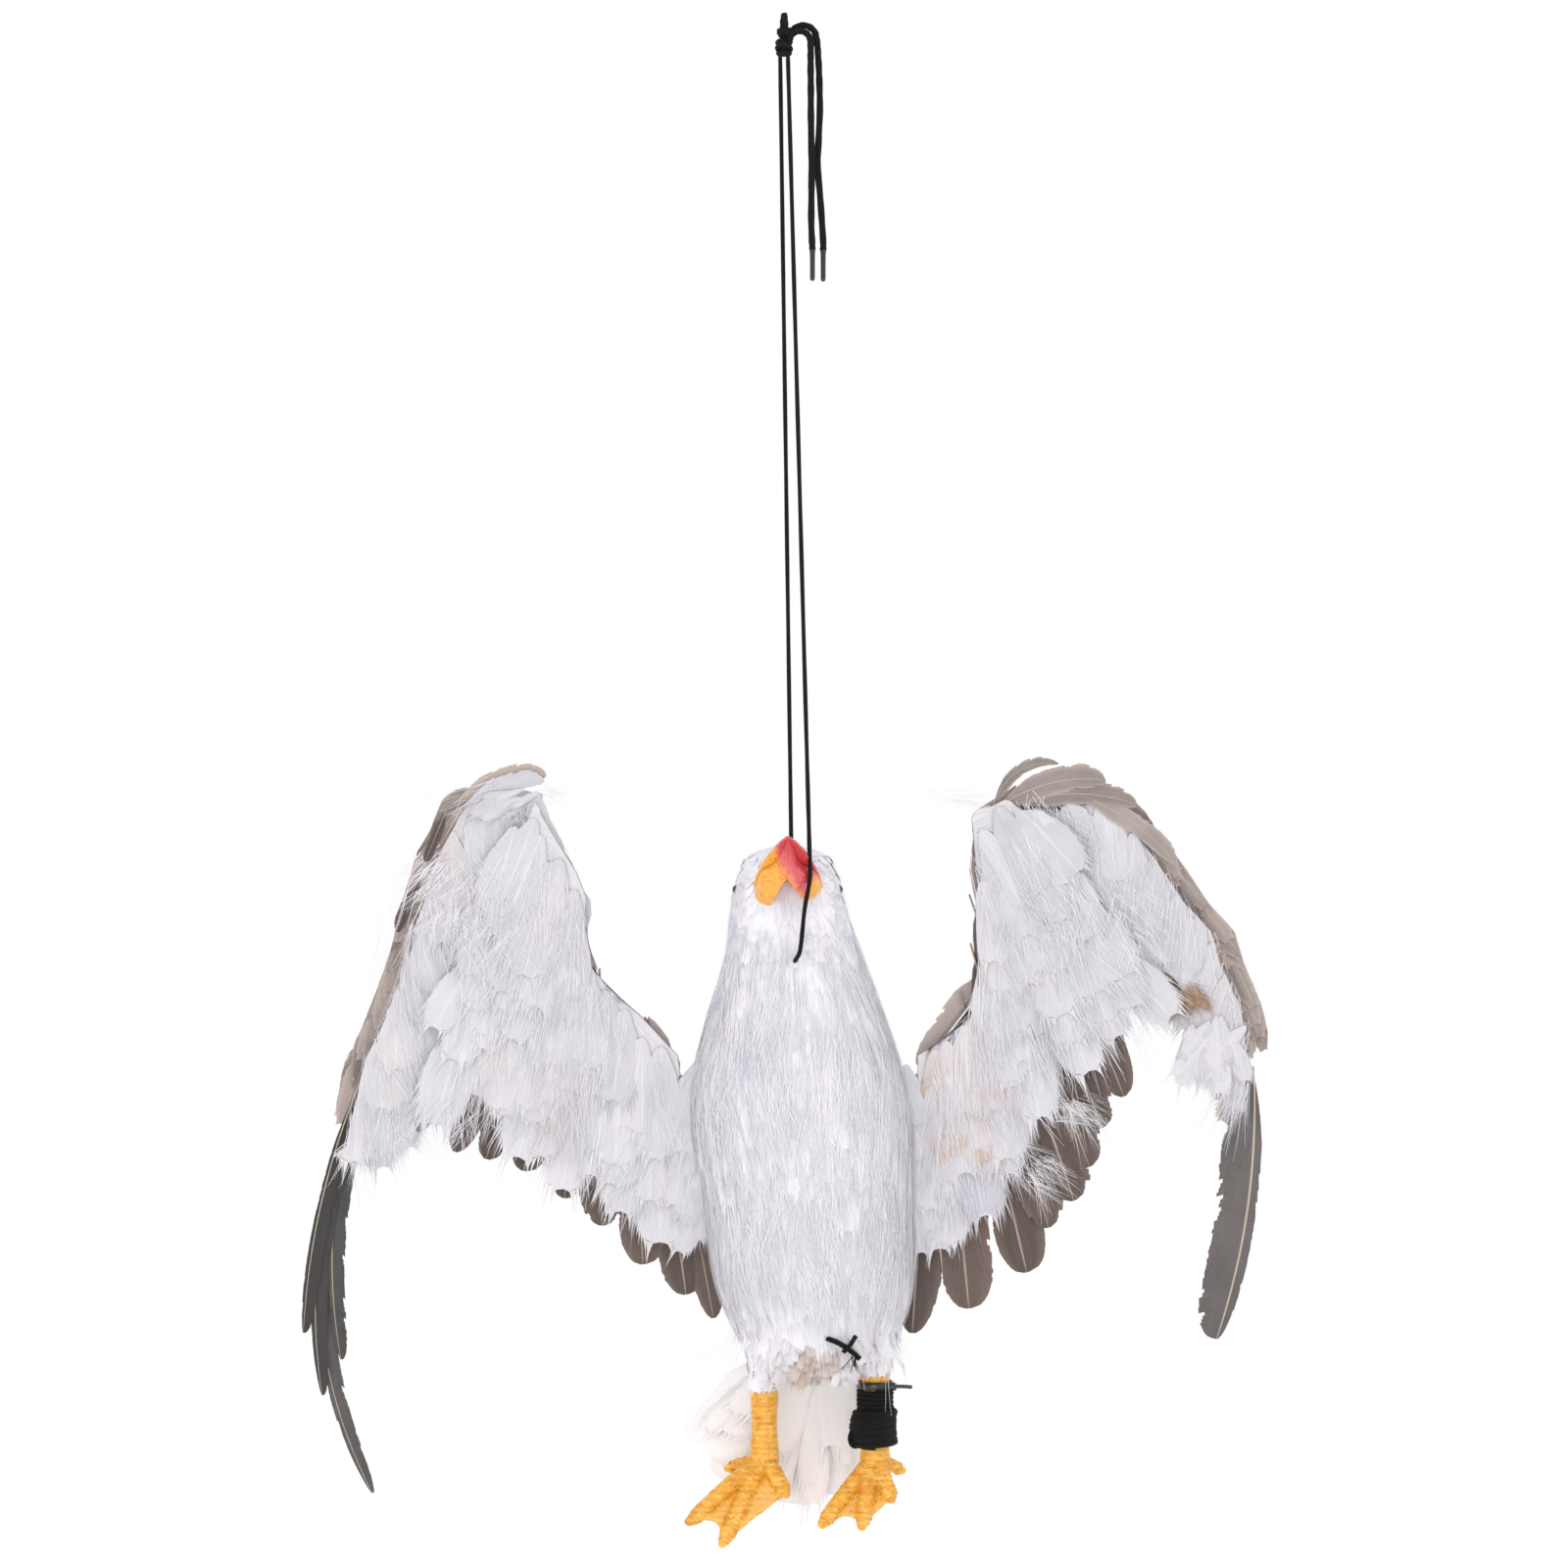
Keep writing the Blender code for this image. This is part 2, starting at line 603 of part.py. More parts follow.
# Each row of feathers, from the belly side back: joint group, count, lengths and angles from
# straight down at the row's start, middle and end, outward angles being positive, and the finish.
# The arm's wire lies behind the greater underwing row, and the hand's wire and primaries lie
# behind the hand's underwing row.
FEATHER_ROWS = {
    "right": {
        "lesser_underwing": ("arm", 8, (0.040, 0.064, 0.086), (2, 8, 20), "white_feather"),
        "greater_underwing": ("arm", 9, (0.080, 0.118, 0.168), (2, 8, 20), "white_feather"),
        "secondaries": ("arm", 10, (0.122, 0.146, 0.170), (1, 1, 19), "brown_feather"),
        "arm_upper_coverts": ("arm", 8, (0.062, 0.092, 0.128), (1, 5, 20), "grey_feather"),
        "hand_underwing": ("hand", 8, (0.070, 0.096, 0.050), (-8, -11, 2), "white_feather"),
        "hand_upper_coverts": ("hand", 7, (0.060, 0.078, 0.040), (-8, -11, 2), "grey_feather"),
    },
    "left": {
        "lesser_underwing": ("arm", 8, (0.044, 0.066, 0.082), (0, 14, 28), "white_feather"),
        "greater_underwing": ("arm", 9, (0.086, 0.124, 0.136), (0, 14, 30), "white_feather"),
        "secondaries": ("arm", 10, (0.132, 0.160, 0.150), (0, 8, 20), "brown_feather"),
        "arm_upper_coverts": ("arm", 8, (0.064, 0.096, 0.112), (0, 12, 26), "grey_feather"),
        "hand_underwing": ("hand", 8, (0.086, 0.062, 0.026), (20, -8, -24), "white_feather"),
        "hand_upper_coverts": ("hand", 7, (0.070, 0.052, 0.022), (20, -8, -24), "grey_feather"),
    },
}

# Each primary: place along the hand's tip, angle, length, half width and outward bow.
PRIMARIES = {
    "right": ((0.0000, 13.0, 0.134, 0.0042, 0.006), (0.0008, 7.5, 0.164, 0.0045, 0.012),
              (0.0016, 5.0, 0.145, 0.0045, 0.010), (0.0024, -0.6, 0.213, 0.0050, 0.026)),
    "left": ((0.0000, -6.0, 0.140, 0.0104, 0.007),),
}
# Each scapular: outward and upward of the shoulder, angle and length.
SCAPULARS = {
    "right": (0.0220, 0.0350, 0.0, 0.0450),
    "left": (0.0310, 0.0580, -8.0, 0.0520),
}
SCAPULAR_HALF_WIDTH = 0.0110
LEADING_EDGE_LENGTH = 0.0240
LEADING_EDGE_COUNT = 9
LEADING_EDGE_OUTSET = 0.0070


def wing_frame(side):
    """Shoulder point on the hinge axis, the axis direction and the outward sign of a wing."""
    sign = SIDES[side]
    turn = 0.0 if sign > 0 else math.pi
    edge_high = trunk_point(SHOULDER_DEPTH, turn)
    edge_low = trunk_point(RUMP_DEPTH, turn)
    axis = (edge_high - edge_low).normalized()
    shoulder = edge_high - Vector((sign * SHOULDER_INSET, 0.0, 0.0))
    shoulder.y = TRUNK_Y
    return shoulder, axis, sign


def wing_points(side, line, origin, inset=0.0):
    """Points of a row's line, given outward and upward of an origin."""
    sign = SIDES[side]
    return [origin + Vector((sign * (out + inset), 0.0, up)) for out, up in line]


def layer_depths(side):
    """Y of the middle of each layer of a wing, each a gap behind the one before."""
    blades = len(PRIMARIES[side])
    quills = max(blades * (BLADE_THICKNESS + GAP) - GAP, 2 * WIRE_RADIUS)
    stack = []
    for row_name in list(FEATHER_ROWS[side]) + ["leading_edge"]:
        stack.append((row_name, BAND_THICKNESS))
        if row_name == "greater_underwing":
            stack.append(("arm_wire", 2 * WIRE_RADIUS))
        if row_name == "arm_upper_coverts":
            stack.append(("scapular", BLADE_THICKNESS))
        if row_name == "hand_underwing":
            stack.append(("quills", quills))
    depths = {}
    y = 0.0
    for layer, thickness in stack:
        depths[layer] = y + thickness / 2
        y += thickness + GAP
    middle = depths["arm_wire"]
    return {layer: TRUNK_Y + depth - middle for layer, depth in depths.items()}, quills


def blend_three(values, share):
    """Value at a share of the way through a start, a middle and an end value."""
    start, middle, end = values
    rest = 1 - share
    return start * rest * (1 - 2 * share) + middle * 4 * share * rest + end * share * (2 * share - 1)


def feather_row(name, side, line, count, lengths, angles, y, finish, joint):
    """Overlapping feathers fused to the strip they are glued on, one closed wall with rounded tips."""
    sign = SIDES[side]
    path = smooth_path(line, 8)
    per_feather = 3
    columns = count * per_feather
    built = bmesh.new()
    levels = ((0.0, 1.0), (0.6, 0.7), (1.0, 0.0))
    fronts = []
    backs = []
    for i in range(columns + 1):
        share = i / columns
        spot = share * (len(path) - 1)
        low = min(int(spot), len(path) - 2)
        root = path[low].lerp(path[low + 1], spot - low)
        angle = math.radians(blend_three(angles, share))
        within = (i % per_feather) / per_feather
        swell = 1.0 - TIP_SCALLOP if i % per_feather == 0 else 1.0
        length = blend_three(lengths, share)
        hang = Vector((sign * math.sin(angle), 0.0, -math.cos(angle)))
        front = []
        back = []
        for level, share_thick in levels:
            reach = length * level * (1.0 - (1.0 - swell) * level ** 3)
            thick = BAND_EDGE_THICKNESS + (BAND_THICKNESS - BAND_EDGE_THICKNESS) * share_thick
            lift = SHINGLE_RELIEF * within * level
            middle = Vector((root.x, y, root.z)) + hang * reach
            front.append(built.verts.new(middle + Vector((0.0, -thick / 2 - lift, 0.0))))
            back.append(built.verts.new(middle + Vector((0.0, thick / 2 - lift, 0.0))))
        fronts.append(front)
        backs.append(back)
    last = len(levels) - 1
    for i in range(columns):
        for k in range(last):
            built.faces.new((fronts[i][k], fronts[i][k + 1], fronts[i + 1][k + 1], fronts[i + 1][k]))
            built.faces.new((backs[i][k], backs[i + 1][k], backs[i + 1][k + 1], backs[i][k + 1]))
        built.faces.new((fronts[i][0], fronts[i + 1][0], backs[i + 1][0], backs[i][0]))
        built.faces.new((fronts[i][last], backs[i][last], backs[i + 1][last], fronts[i + 1][last]))
    for i in (0, columns):
        built.faces.new([row[i][k] for row, order in ((fronts, range(last + 1)), (backs, range(last, -1, -1)))
                         for k in order])
    return place_mesh(name, built, finish, joint, smooth=False)


def feather_blade(name, root, angle, sign, length, half_width, bow, thickness, finish, joint=None):
    """One stiff feather: a bare quill, a ridged vane that swells and a rounded tip."""
    angle = math.radians(angle)
    along = Vector((sign * math.sin(angle), 0.0, -math.cos(angle)))
    across = Vector((sign * math.cos(angle), 0.0, math.sin(angle)))
    widths = ((0.0, QUILL_SHARE), (0.10, 0.20), (0.22, 0.62), (0.40, 0.92), (0.60, 1.0), (0.80, 0.86),
              (0.93, 0.52), (1.0, 0.12))
    rings = []
    for share, swell in widths:
        centre = root + along * length * share + across * bow * 4 * share * (1 - share)
        half = half_width * swell
        thick = thickness * (1.0 - 0.45 * share)
        rings.append([centre + across * half, centre + Vector((0.0, -thick / 2, 0.0)),
                      centre - across * half, centre + Vector((0.0, thick / 2, 0.0))])
    return place_mesh(name, loft(rings), finish, joint, smooth=False)


def make_wing(side, trunk_parts, gull_joint):
    """Arm and hand wires, feather rows and primaries of one wing."""
    shape = WING_SHAPES[side]
    shoulder, axis, sign = wing_frame(side)
    wrist = shoulder + Vector((sign * shape["wrist"][0], 0.0, shape["wrist"][1]))
    arm = joint_empty(side + "_shoulder_axis", shoulder, gull_joint)
    hand = joint_empty(side + "_wrist_axis", wrist, arm)
    depths, quills = layer_depths(side)
    wire_y = depths["arm_wire"]
    quill_front = depths["quills"] - quills / 2
    hand_y = quill_front + WIRE_RADIUS
    pin_y = hand_y + WIRE_RADIUS + GAP
    arm_line = wing_points(side, shape["arm_line"], shoulder, BAND_ROOT_INSET)
    hand_line = wing_points(side, shape["hand_line"], wrist)

    wire = [shoulder - axis * SHOULDER_PIN_HEIGHT, shoulder - axis * 0.003,
            shoulder + Vector((sign * 0.003, 0.0, 0.0)), shoulder + Vector((sign * 0.012, 0.0, 0.0)),
            arm_line[1] + Vector((sign * 0.006, wire_y, -0.006)), wrist + Vector((0.0, wire_y, -0.004)),
            wrist + Vector((0.0, wire_y + 0.0015, 0.0)), wrist + Vector((0.0, pin_y, 0.0))]
    cord(side + "_arm_wire", wire, WIRE_RADIUS, "steel_wire", arm)

    tip = wrist + Vector((sign * shape["hand_tip"][0], 0.0, shape["hand_tip"][1]))
    make_hand_wire(side, wrist, tip, hand_y, hand)

    wrist_bore = cutter(side + "_wrist_bore", rod(wrist + Vector((0.0, -0.02, 0.0)),
                        wrist + Vector((0.0, 0.03, 0.0)), WIRE_RADIUS + RUNNING_GAP))
    lean = math.degrees(math.atan2(-sign * axis.x, axis.z))
    rows = FEATHER_ROWS[side]
    for row_name, (group, count, lengths, angles, finish) in rows.items():
        line = hand_line
        if group == "arm":
            line = arm_line
            angles = (angles[0] + lean, angles[1], angles[2])
        if row_name == "secondaries":
            line = [point + Vector((sign * 0.004, 0.0, -0.014)) for point in arm_line]
        row = feather_row(side + "_" + row_name, side, line, count, lengths, angles, depths[row_name],
                          finish, arm if group == "arm" else hand)
        if depths[row_name] > wire_y:
            boolean(row, wrist_bore, "DIFFERENCE")
    edge_line = [point + Vector((sign * LEADING_EDGE_OUTSET, 0.0, LEADING_EDGE_OUTSET * 0.4))
                 for point in hand_line]
    edge = feather_row(side + "_leading_edge_coverts", side, edge_line, LEADING_EDGE_COUNT,
                       [LEADING_EDGE_LENGTH] * 3, (-20, -12, -6), depths["leading_edge"], "grey_feather", hand)
    boolean(edge, wrist_bore, "DIFFERENCE")
    for i, (place_out, angle, length, half_width, bow) in enumerate(PRIMARIES[side]):
        quill_y = quill_front + BLADE_THICKNESS / 2 + i * (BLADE_THICKNESS + GAP)
        root = Vector((tip.x - sign * place_out, quill_y, tip.z))
        feather_blade(side + "_primary_" + str(i + 1), root, angle, sign, length, half_width, bow,
                      BLADE_THICKNESS, "black_feather", hand)
    out, up, angle, length = SCAPULARS[side]
    root = shoulder + Vector((sign * out, depths["scapular"] - shoulder.y, up))
    feather_blade(side + "_scapular", root, angle, sign, length, SCAPULAR_HALF_WIDTH, 0.0, BLADE_THICKNESS,
                  "brown_feather", arm)
    cut_shoulder(side, shoulder, axis, sign, trunk_parts)
    return shoulder, axis, wrist


def make_hand_wire(side, wrist, tip, y, joint):
    """Wire of the hand with an eye that turns on the wrist pin."""
    along = (tip - wrist)
    along.y = 0.0
    along.normalize()
    start = wrist + along * (WRIST_EYE_RADIUS - WIRE_RADIUS * 0.7)
    end = tip - along * 0.004
    stem = rod((start.x, y, start.z), (end.x, y, end.z), WIRE_RADIUS, 8)
    wire = place_mesh(side + "_hand_wire", stem, "steel_wire", joint)
    eye = bmesh.new()
    count = 14
    inner = WIRE_RADIUS + RUNNING_GAP
    rows = []
    for i in range(count):
        turn = 2 * math.pi * i / count
        out = Vector((math.cos(turn), 0.0, math.sin(turn)))
        centre = Vector((wrist.x, y, wrist.z))
        half = Vector((0.0, WIRE_RADIUS, 0.0))
        rows.append([eye.verts.new(centre + out * inner + half), eye.verts.new(centre + out * inner - half),
                     eye.verts.new(centre + out * WRIST_EYE_RADIUS - half),
                     eye.verts.new(centre + out * WRIST_EYE_RADIUS + half)])
    for i in range(count):
        for k in range(4):
            here, there = rows[i], rows[(i + 1) % count]
            eye.faces.new((here[k], here[(k + 1) % 4], there[(k + 1) % 4], there[k]))
    boolean(wire, cutter(side + "_wrist_eye", eye), "UNION")


def cut_shoulder(side, shoulder, axis, sign, trunk_parts):
    """Pocket for the shoulder pin and the slot that its wire swings in."""
    clearance = WIRE_RADIUS + RUNNING_GAP
    pin = cutter(side + "_shoulder_bore", rod(shoulder - axis * (SHOULDER_PIN_HEIGHT + GAP),
                                              shoulder + axis * (clearance + 0.001), clearance))
    reach = SHOULDER_INSET + 0.012
    spread = reach * math.tan(SHOULDER_SWING) + clearance * 1.4
    slot = bmesh.new()
    corners = [(-clearance, -clearance), (-clearance, clearance), (reach, spread), (reach, -spread)]
    low = [slot.verts.new(shoulder + Vector((sign * x, y, -clearance * 2.2))) for x, y in corners]
    high = [slot.verts.new(shoulder + Vector((sign * x, y, clearance * 1.2))) for x, y in corners]
    slot.faces.new(low)
    slot.faces.new(high)
    for i in range(4):
        j = (i + 1) % 4
        slot.faces.new((low[i], low[j], high[j], high[i]))
    slot_tool = cutter(side + "_shoulder_slot", slot)
    for piece in trunk_parts:
        boolean(piece, pin, "DIFFERENCE")
        boolean(piece, slot_tool, "DIFFERENCE")


# Tail


def make_tail(body_core, joint):
    """Fan of tail feathers with their quills in a slot of the rump, and the tuft in front of them."""
    count = len(TAIL_ANGLES)
    half_blade = BLADE_THICKNESS / 2 + GAP
    slot_low = TAIL_ROOT + Vector((-TAIL_SLOT_WIDTH / 2, -half_blade, -0.020))
    quill_rise = TAIL_WIDTH * 0.5 * QUILL_SHARE
    last_blade = (count - 1) * (BLADE_THICKNESS + GAP)
    slot_high = TAIL_ROOT + Vector((TAIL_SLOT_WIDTH / 2, last_blade + half_blade, quill_rise))
    slot = cutter("tail_slot", box(slot_low, slot_high))
    boolean(body_core, slot, "DIFFERENCE")
    for i in range(count):
        root = TAIL_ROOT + Vector(((i - count / 2) * 0.003, i * (BLADE_THICKNESS + GAP), 0.0))
        feather_blade("tail_feather_" + str(i + 1), root, TAIL_ANGLES[i], -1.0, TAIL_LENGTHS[i],
                      TAIL_WIDTH / 2, 0.0, BLADE_THICKNESS, "white_feather", joint)
    turns = [math.radians(-90 + UNDERTAIL_SPREAD * (i / 3 - 1)) for i in range(7)]
    rings = []
    for depth in (UNDERTAIL_DEPTH, COAT_HEM_DEPTH + GAP):
        outer = [trunk_point(depth, turn) for turn in turns]
        inner = [trunk_point(depth, turn, COAT_THICKNESS) for turn in reversed(turns)]
        rings.append(outer + inner)
    place_mesh("undertail_tuft", loft(rings), "tan_down", joint)


# Legs


def hip_point(sign):
    """Point on the hip pin in the middle of one leg."""
    return Vector((HIP_CENTRE_X + sign * HIP_SPACING / 2, HIP_Y, -HIP_DEPTH))


def cut_hips(body_core, coats):
    """Slots in the rump that the thighs swing in, and the bore of the hip pin."""
    clearance = 2 * GAP
    top = THIGH_RADIUS + clearance
    drop = HIP_SLOT_DROP
    for side, sign in SIDES.items():
        hip = hip_point(sign)
        outline = [(top * math.cos(t), top * math.sin(t)) for t in
                   [math.pi * i / 12 for i in range(13)]]
        spread = top + drop * math.tan(HIP_SWING + HIP_SLOT_ROOM)
        outline += [(-spread, -drop), (spread, -drop)]
        built = bmesh.new()
        first = [built.verts.new(hip + Vector((-top, y, z))) for y, z in outline]
        second = [built.verts.new(hip + Vector((top, y, z))) for y, z in outline]
        built.faces.new(first)
        built.faces.new(second)
        for i in range(len(outline)):
            j = (i + 1) % len(outline)
            built.faces.new((first[i], first[j], second[j], second[i]))
        tool = cutter(side + "_hip_slot", built)
        for piece in (body_core, coats["breast_feather_coat"], coats["back_feather_coat"]):
            boolean(piece, tool, "DIFFERENCE")


def make_hip_pin(body_core, coats, joint):
    """Steel pin across the rump that both legs hang on."""
    ends = [hip_point(sign) + Vector((sign * (THIGH_RADIUS + HIP_PIN_HOLD), 0.0, 0.0)) for sign in (-1.0, 1.0)]
    place_mesh("hip_pin", rod(ends[0], ends[1], HIP_PIN_RADIUS), "steel_wire", joint)
    room = Vector((2 * GAP, 0.0, 0.0))
    bore = cutter("hip_bore", rod(ends[0] - room, ends[1] + room, HIP_PIN_RADIUS + RUNNING_GAP))
    for piece in (body_core, coats["breast_feather_coat"], coats["back_feather_coat"]):
        boolean(piece, bore, "DIFFERENCE")
    return bore


# Toe tips, from the ankle: sideways, drop and reach towards the belly side.
LEG_SHAPES = {
    "right": {"toes": ((-0.0380, 0.0295, 0.0120), (-0.0210, 0.0395, 0.0170), (0.0110, 0.0150, 0.0150)),
              "hallux": (-0.0190, 0.0050, -0.0070)},
    "left": {"toes": ((-0.0270, 0.0300, 0.0150), (-0.0070, 0.0305, 0.0180), (0.0080, 0.0180, 0.0130)),
             "hallux": (0.0140, 0.0060, -0.0060)},
}


def make_leg(side, bore, gull_joint):
    """Thigh tuft, leg wire and moulded foot on one hip."""
    sign = SIDES[side]
    shape = LEG_SHAPES[side]
    hip = hip_point(sign)
    joint = joint_empty(side + "_hip_axis", hip, gull_joint)
    down = Vector((0.0, 0.0, -1.0))
    rings = []
    for degrees in (80, 50, 25, 0, -20):
        turn = math.radians(degrees)
        rings.append(circle_ring(hip - down * THIGH_RADIUS * math.sin(turn), down,
                                 THIGH_RADIUS * math.cos(turn), 16))
    rings.append(circle_ring(hip + down * THIGH_DROP * 0.7, down, THIGH_HEM_RADIUS, 16))
    rings.append(circle_ring(hip + down * THIGH_DROP, down, THIGH_HEM_RADIUS * 0.92, 16))
    thigh = place_mesh(side + "_thigh_tuft", loft(rings), "white_feather", joint)
    boolean(thigh, bore, "DIFFERENCE")
    shank_top = hip + down * (THIGH_DROP - 0.006)
    socket = cutter(side + "_shank_socket", rod(shank_top - down * GAP, hip + down * (THIGH_DROP + 0.002),
                                                SHANK_RADIUS + GAP))
    boolean(thigh, socket, "DIFFERENCE")
    wire_top = hip + down * (HIP_PIN_RADIUS + 0.002)
    wire_end = wire_top + down * LEG_WIRE_LENGTH
    place_mesh(side + "_leg_wire", rod(wire_top, wire_end, WIRE_RADIUS, 8), "steel_wire", joint)
    wire_bore = cutter(side + "_leg_wire_bore", rod(wire_top - down * GAP, wire_end + down * GAP,
                                                    WIRE_RADIUS + GAP, 8))
    boolean(thigh, wire_bore, "DIFFERENCE")
    foot = make_foot(side, shank_top, shape, joint)
    boolean(foot, wire_bore, "DIFFERENCE")
    return shank_top, joint


def make_foot(side, shank_top, shape, joint):
    """Moulded webbed foot: shank, three front toes, hallux and web."""
    ankle = shank_top + Vector((0.0, 0.0, -SHANK_LENGTH))
    heel = ankle + Vector((0.0, 0.0, -SHANK_RADIUS * 0.8))
    line = [shank_top, shank_top.lerp(ankle, 0.25), shank_top.lerp(ankle, 0.6), ankle, heel]
    swell = (1.0, 0.97, 0.84, 0.98, 0.6)
    foot = place_mesh(side + "_foot", tapered_tube(line, [SHANK_RADIUS * share for share in swell], 12),
                      "foot", joint)
    toes = [ankle + Vector((across, -reach, -drop)) for across, drop, reach in shape["toes"]]
    across, drop, reach = shape["hallux"]
    digits = [(toe, 1.0) for toe in toes] + [(ankle + Vector((across, -reach, -drop)), 0.8)]
    for i, (tip, size) in enumerate(digits):
        spots = [ankle, ankle.lerp(tip, 0.35), ankle.lerp(tip, 0.8), tip]
        radii = [TOE_RADIUS * size * share for share in (1.0, 0.85, 0.75, 0.35)]
        boolean(foot, cutter(side + "_digit_" + str(i + 1), tapered_tube(spots, radii, 8)), "UNION")
    boolean(foot, cutter(side + "_web", web_plate(ankle, toes)), "UNION")
    return foot


def web_plate(ankle, toes):
    """Thin web between the three front toes, drawn in between their tips."""
    edge = [ankle, toes[0].lerp(ankle, 0.12), toes[0].lerp(toes[1], 0.5).lerp(ankle, 0.16),
            toes[1].lerp(ankle, 0.08), toes[1].lerp(toes[2], 0.5).lerp(ankle, 0.2), toes[2].lerp(ankle, 0.12)]
    thick = (toes[0] - ankle).cross(toes[2] - ankle).normalized() * WEB_THICKNESS / 2
    web = bmesh.new()
    low = [web.verts.new(point - thick) for point in edge]
    high = [web.verts.new(point + thick) for point in edge]
    for i in range(1, len(edge) - 1):
        web.faces.new((low[0], low[i], low[i + 1]))
        web.faces.new((high[0], high[i + 1], high[i]))
    for i in range(len(edge)):
        j = (i + 1) % len(edge)
        web.faces.new((low[i], low[j], high[j], high[i]))
    return web


def make_lashing(shank_top, joint):
    """Black cord wound down the left shank and back up over its lower end, in one unbroken tube."""
    per_turn = 24
    inner = SHANK_RADIUS + LASHING_CORD / 2 + 2 * GAP
    start = -HIP_DEPTH - THIGH_DROP - 2 * GAP - TIE_WIDTH - LASHING_CORD / 2
    points = []
    total = LASHING_TURNS + LASHING_OUTER_TURNS
    for i in range(total * per_turn + 1):
        turn = i / per_turn
        down = min(turn, LASHING_TURNS)
        back = max(turn - LASHING_TURNS, 0.0)
        grow = min(max(turn - LASHING_TURNS + LASHING_STEP_TURNS / 2, 0.0) / LASHING_STEP_TURNS, 1.0)
        radius = inner + LASHING_LAYER * grow
        z = start - LASHING_PITCH * (down - back)
        angle = 2 * math.pi * turn - math.pi / 2
        points.append(Vector((shank_top.x + radius * math.cos(angle),
                              shank_top.y + radius * math.sin(angle), z)))
    least = least_self_gap(points, LASHING_CORD, per_turn)
    print("leg lashing's least gap to itself, mm:", round(least * 1000, 2))
    cord("leg_lashing", points, LASHING_CORD / 2, "lace", joint, resolution=1)
    return start


def least_self_gap(points, diameter, per_turn):
    """Least gap between turns that lie at least half a turn apart."""
    least = 1.0
    for i in range(0, len(points), 2):
        for j in range(i + per_turn // 2, len(points)):
            least = min(least, (points[i] - points[j]).length - diameter)
    return least


def make_cable_tie(shank_top, lashing_top, joint):
    """Cable tie round the left shank above the lashing, with its lock and tail."""
    count = 20
    inner = SHANK_RADIUS + GAP * 2
    outer = inner + TIE_THICKNESS
    high = lashing_top + LASHING_CORD / 2 + GAP + TIE_WIDTH
    centre = Vector((shank_top.x, shank_top.y, 0.0))
    built = bmesh.new()
    rows = []
    for i in range(count):
        turn = 2 * math.pi * i / count
        out = Vector((math.cos(turn), math.sin(turn), 0.0))
        rows.append([built.verts.new(centre + out * radius + Vector((0.0, 0.0, z))) for radius, z in
                     ((inner, high), (inner, high - TIE_WIDTH), (outer, high - TIE_WIDTH), (outer, high))])
    for i in range(count):
        for k in range(4):
            here, there = rows[i], rows[(i + 1) % count]
            built.faces.new((here[k], here[(k + 1) % 4], there[(k + 1) % 4], there[k]))
    tie = place_mesh("cable_tie", built, "tie_plastic", joint)
    reach = outer + TIE_LOCK_HALF
    lock_middle = centre + Vector((reach * 0.64, -reach * 0.77, high - TIE_WIDTH / 2))
    half = Vector((TIE_LOCK_HALF, TIE_LOCK_HALF, TIE_WIDTH / 2))
    boolean(tie, cutter("tie_lock", box(lock_middle - half, lock_middle + half)), "UNION")
    tail_start = lock_middle
    tail = box(tail_start + Vector((0.0, -0.0006, -TIE_WIDTH * 0.3)),
               tail_start + Vector((0.0120, 0.0006, TIE_WIDTH * 0.3)))
    boolean(tie, cutter("tie_tail", tail), "UNION")


def make_vent_cord(joint):
    """Short black tie cord with a crossing stub, at the vent above the left leg."""
    radius = LACE_DIAMETER * 0.3
    front = [trunk_point(COAT_HEM_DEPTH - drop, math.radians(turn), -radius - GAP) for drop, turn in
             ((0.0030, -84), (0.0008, -72), (-0.0010, -62))]
    cord("vent_tie_cord", smooth_path(front, 6), radius, "lace", joint)


def build():
    """Model the whole decoy."""
    clear_scene()
    swing = joint_empty("lace_swing_axis", (0.0, 0.0, -SWING_PIVOT_DEPTH))
    twist = joint_empty("lace_twist_axis", (0.0, 0.0, -SWING_PIVOT_DEPTH), swing)
    body_core, head_core, coats = make_trunk(twist)
    throat, nape = make_lace(swing, twist)
    make_head(head_core, coats, throat, nape, twist)
    trunk_parts = (body_core, coats["breast_feather_coat"], coats["back_feather_coat"])
    for side in SIDES:
        shoulder, axis, wrist = make_wing(side, trunk_parts, twist)
        print(side, "shoulder", tuple(round(v, 5) for v in shoulder), "axis",
              tuple(round(v, 5) for v in axis), "wrist", tuple(round(v, 5) for v in wrist))
    make_tail(body_core, twist)
    cut_hips(body_core, coats)
    bore = make_hip_pin(body_core, coats, twist)
    for side in SIDES:
        shank_top, joint = make_leg(side, bore, twist)
        print(side, "hip", tuple(round(v, 5) for v in hip_point(SIDES[side])))
    lashing_top = make_lashing(shank_top, joint)
    make_cable_tie(shank_top, lashing_top, joint)
    make_vent_cord(twist)


build()
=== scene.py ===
"""Dresses the packed gull decoy: plumage, bill, feet, lace and lashing, with its stage, lights and camera."""
import json
import random
from math import copysign, cos, exp, hypot, pi, radians, sin, sqrt

import bmesh
import bpy
import numpy as np
from bpy.props import FloatProperty, FloatVectorProperty, IntProperty, PointerProperty
from mathutils import Matrix, Vector
from mathutils.noise import noise

